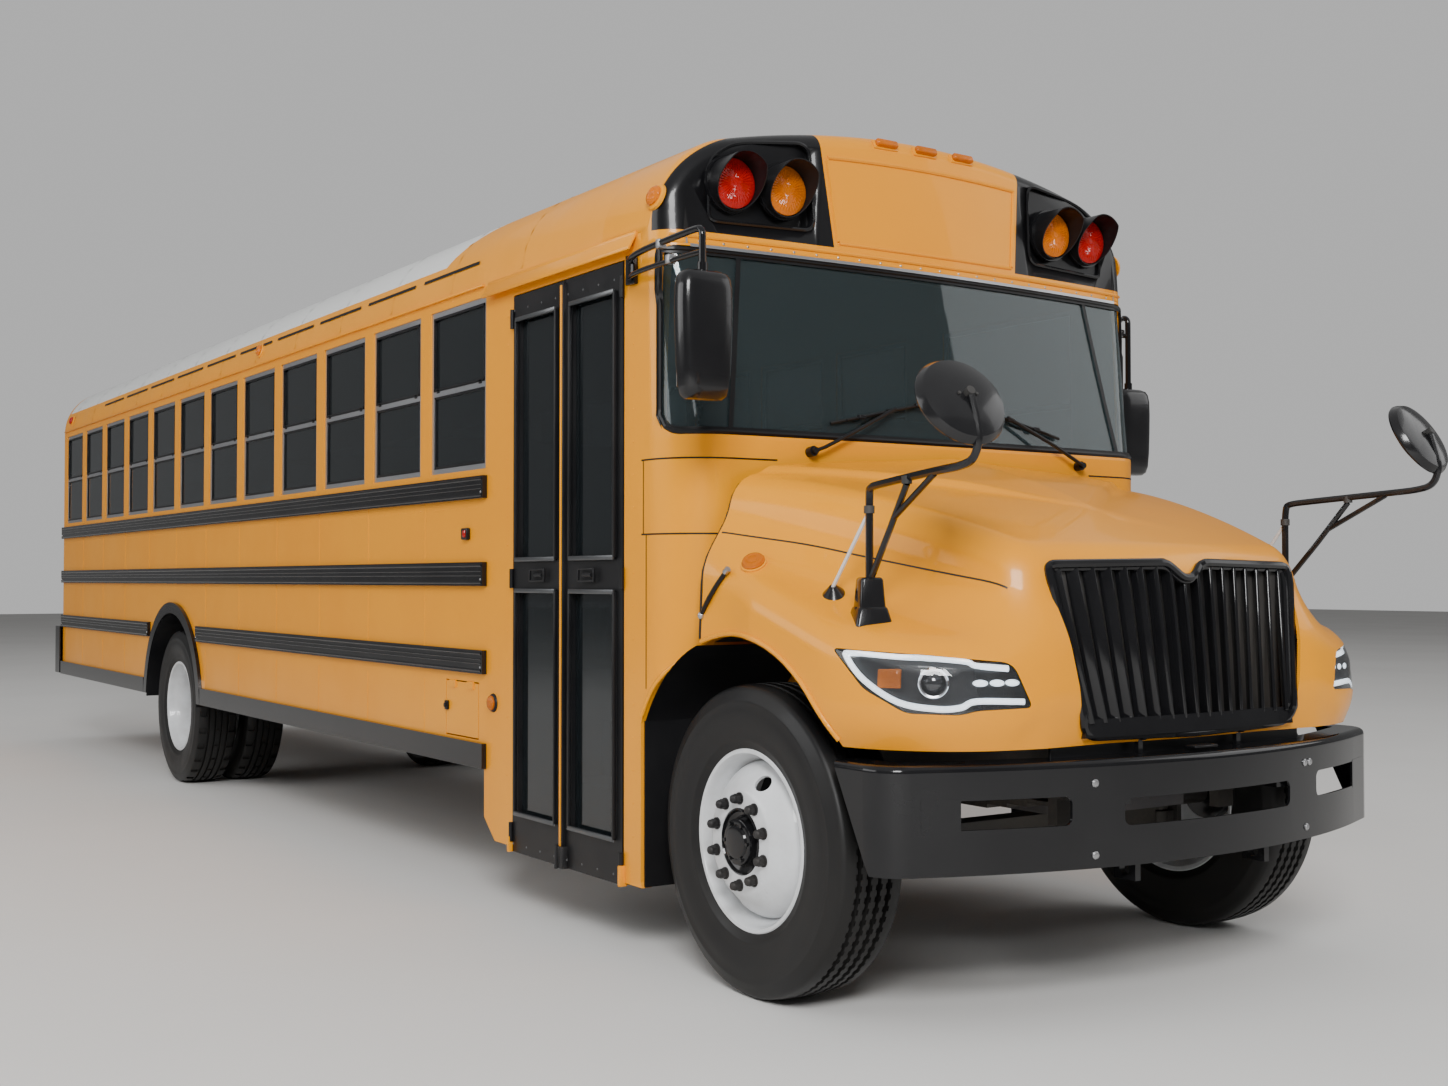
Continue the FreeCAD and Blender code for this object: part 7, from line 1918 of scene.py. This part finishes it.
heads, brackets, clamps, reflectors = blanks(4)
root_y = at(0.660)
for side, along, high_z, tall, arm in ((-1, 0.040, 2.192, 0.425, 2.550),
                                       (1, 0.560, 2.043, 0.381, 2.555)):
    x, y = side * 1.305, at(along)
    top = high_z + tall / 2
    mirror_head(heads, Vector((x, y, high_z)), 0.103, tall)
    block(reflectors, (x - 0.082, x + 0.082), (y + 0.0285, y + 0.0325),
          (high_z - tall * 0.40, high_z + tall * 0.42), 0.002)
    root_x, knee_x, knee_y = side * 1.21, side * 1.262, root_y - 0.025
    block(brackets, (side * 1.200, side * 1.222), (root_y - 0.030, root_y + 0.030),
          (arm - 0.085, arm + 0.025), 0.004)
    tube(brackets, [(root_x, root_y, arm), (knee_x, knee_y, arm + 0.003),
                    (x, min(root_y - 0.06, y + 0.05), arm + 0.006), (x, y, arm),
                    (x, y, arm - 0.05), (x, y, top - 0.02)], 0.0125, 12, 3)
    tube(brackets, [(root_x, root_y, arm - 0.062), (knee_x, knee_y, arm - 0.062),
                    (x, y + 0.03, arm - 0.075), (x, y, arm - 0.080)], 0.0105, 12, 3)
    bar(brackets, (x, y, top - 0.006), (x, y, top + 0.030), 0.017, 20)
    for share, drop in ((0.50, 0.0), (0.62, -0.066)):
        spot = Vector((knee_x, knee_y, arm + drop)).lerp(Vector((x, y, arm + drop)), share)
        block(clamps, (spot.x - 0.016, spot.x + 0.016), (spot.y - 0.014, spot.y + 0.014),
              (spot.z - 0.016, spot.z + 0.018), 0.005)
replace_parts(close_piece(heads, "side_mirror_heads", "bus", mirror_black, 40),
            "side_mirrors")
close_piece(brackets, "side_mirror_arms", "bus", gloss_black, 50)
close_piece(clamps, "side_mirror_clamps", "bus", steel, 40)
close_piece(reflectors, "side_mirror_glasses", "bus", mirror_glass, 40)

lip = bmesh.new()
heart = np.array([0.0, at(0.252), 1.02])
angles = np.radians(np.linspace(-100, 100, 90))
rays = np.stack([np.sin(angles), np.zeros(90), np.cos(angles)], axis=1) * 0.5
around = push_to_hood(heart + rays, heart)
edge = [Vector((p[0], at(0.2675), p[2] - 0.003)) for p in around if p[2] > 1.175]
tube(lip, edge, 0.0055, 8, 2)
close_piece(lip, "hood_rear_seal", "hood", rubber, 60)

# %% Upright seams on the cowl
uprights = bmesh.new()
for side in (-1, 1):
    for y, z0, z1 in ((0.592, 1.549, 1.818), (0.572, 0.992, 1.549)):
        ribbon(uprights, [on_cowl((side * 3, at(y), float(z)), (-side, 0, 0))
                          for z in np.linspace(z0, z1, 10)], 0.005, 0.0012)
close_piece(uprights, "cowl_upright_seams", "bus", satin_black, 40)


# %% [markdown]
# ## Floor, light and camera
# A pale floor that runs into a pale world, one broad key light over the entry side and front,
# and weak fills. The camera stands low on the entry side, ahead of the bus, as a person would.

# %% Floor and soft light
ground = bmesh.new()
bmesh.ops.create_grid(ground, x_segments=1, y_segments=1, size=60)
floor = as_object(ground, "studio_floor")
floor.data.materials.append(finish("studio_floor", (0.80, 0.79, 0.77), (0.76, 0.75, 0.73),
                                   (0.7, 0.85), bump=0.0004, grain_scale=60, cloud_scale=0.4))


def soft_light(name, place, target, size, power):
    light = bpy.data.lights.new(name, "AREA")
    light.shape = "RECTANGLE"
    light.size, light.size_y = size
    light.energy = power
    lamp = bpy.data.objects.new(name, light)
    lamp.location = place
    lamp.rotation_euler = (Vector(target) - Vector(place)).to_track_quat("-Z", "Y").to_euler()
    bpy.context.scene.collection.objects.link(lamp)


middle = (0, at(3.5), 1.4)
soft_light("key", (-8, at(-10), 8.5), (0, at(2), 1.2), (5, 4), 2100)
soft_light("side_fill", (-13, at(7), 6), middle, (12, 5), 620)
soft_light("far_fill", (10, at(-4), 7), middle, (8, 6), 240)
soft_light("overhead", (0, at(4), 16), (0, at(4), 0), (44, 44), 2400)
world = bpy.data.worlds.new("studio")
world.use_nodes = True
sky = world.node_tree
bright = feed(sky, sky.nodes.new("ShaderNodeMapRange"), {
    "Value": sky.nodes.new("ShaderNodeLightPath").outputs["Is Camera Ray"],
    "To Min": 0.22, "To Max": 0.62})
feed(sky, sky.nodes["Background"], {"Color": (0.86, 0.86, 0.86, 1),
                                    "Strength": bright.outputs["Result"]})
bpy.context.scene.world = world

# %% Camera
camera = bpy.data.objects.new("camera", bpy.data.cameras.new("camera"))
camera.location = (-4.192, at(-4.408), 1.387)
camera.rotation_euler = (math.radians(91.29), 0, math.radians(-33.76))
camera.data.lens = 40.0
camera.data.sensor_width = 36.0
camera.data.clip_end = 300
bpy.context.scene.collection.objects.link(camera)
bpy.context.scene.camera = camera
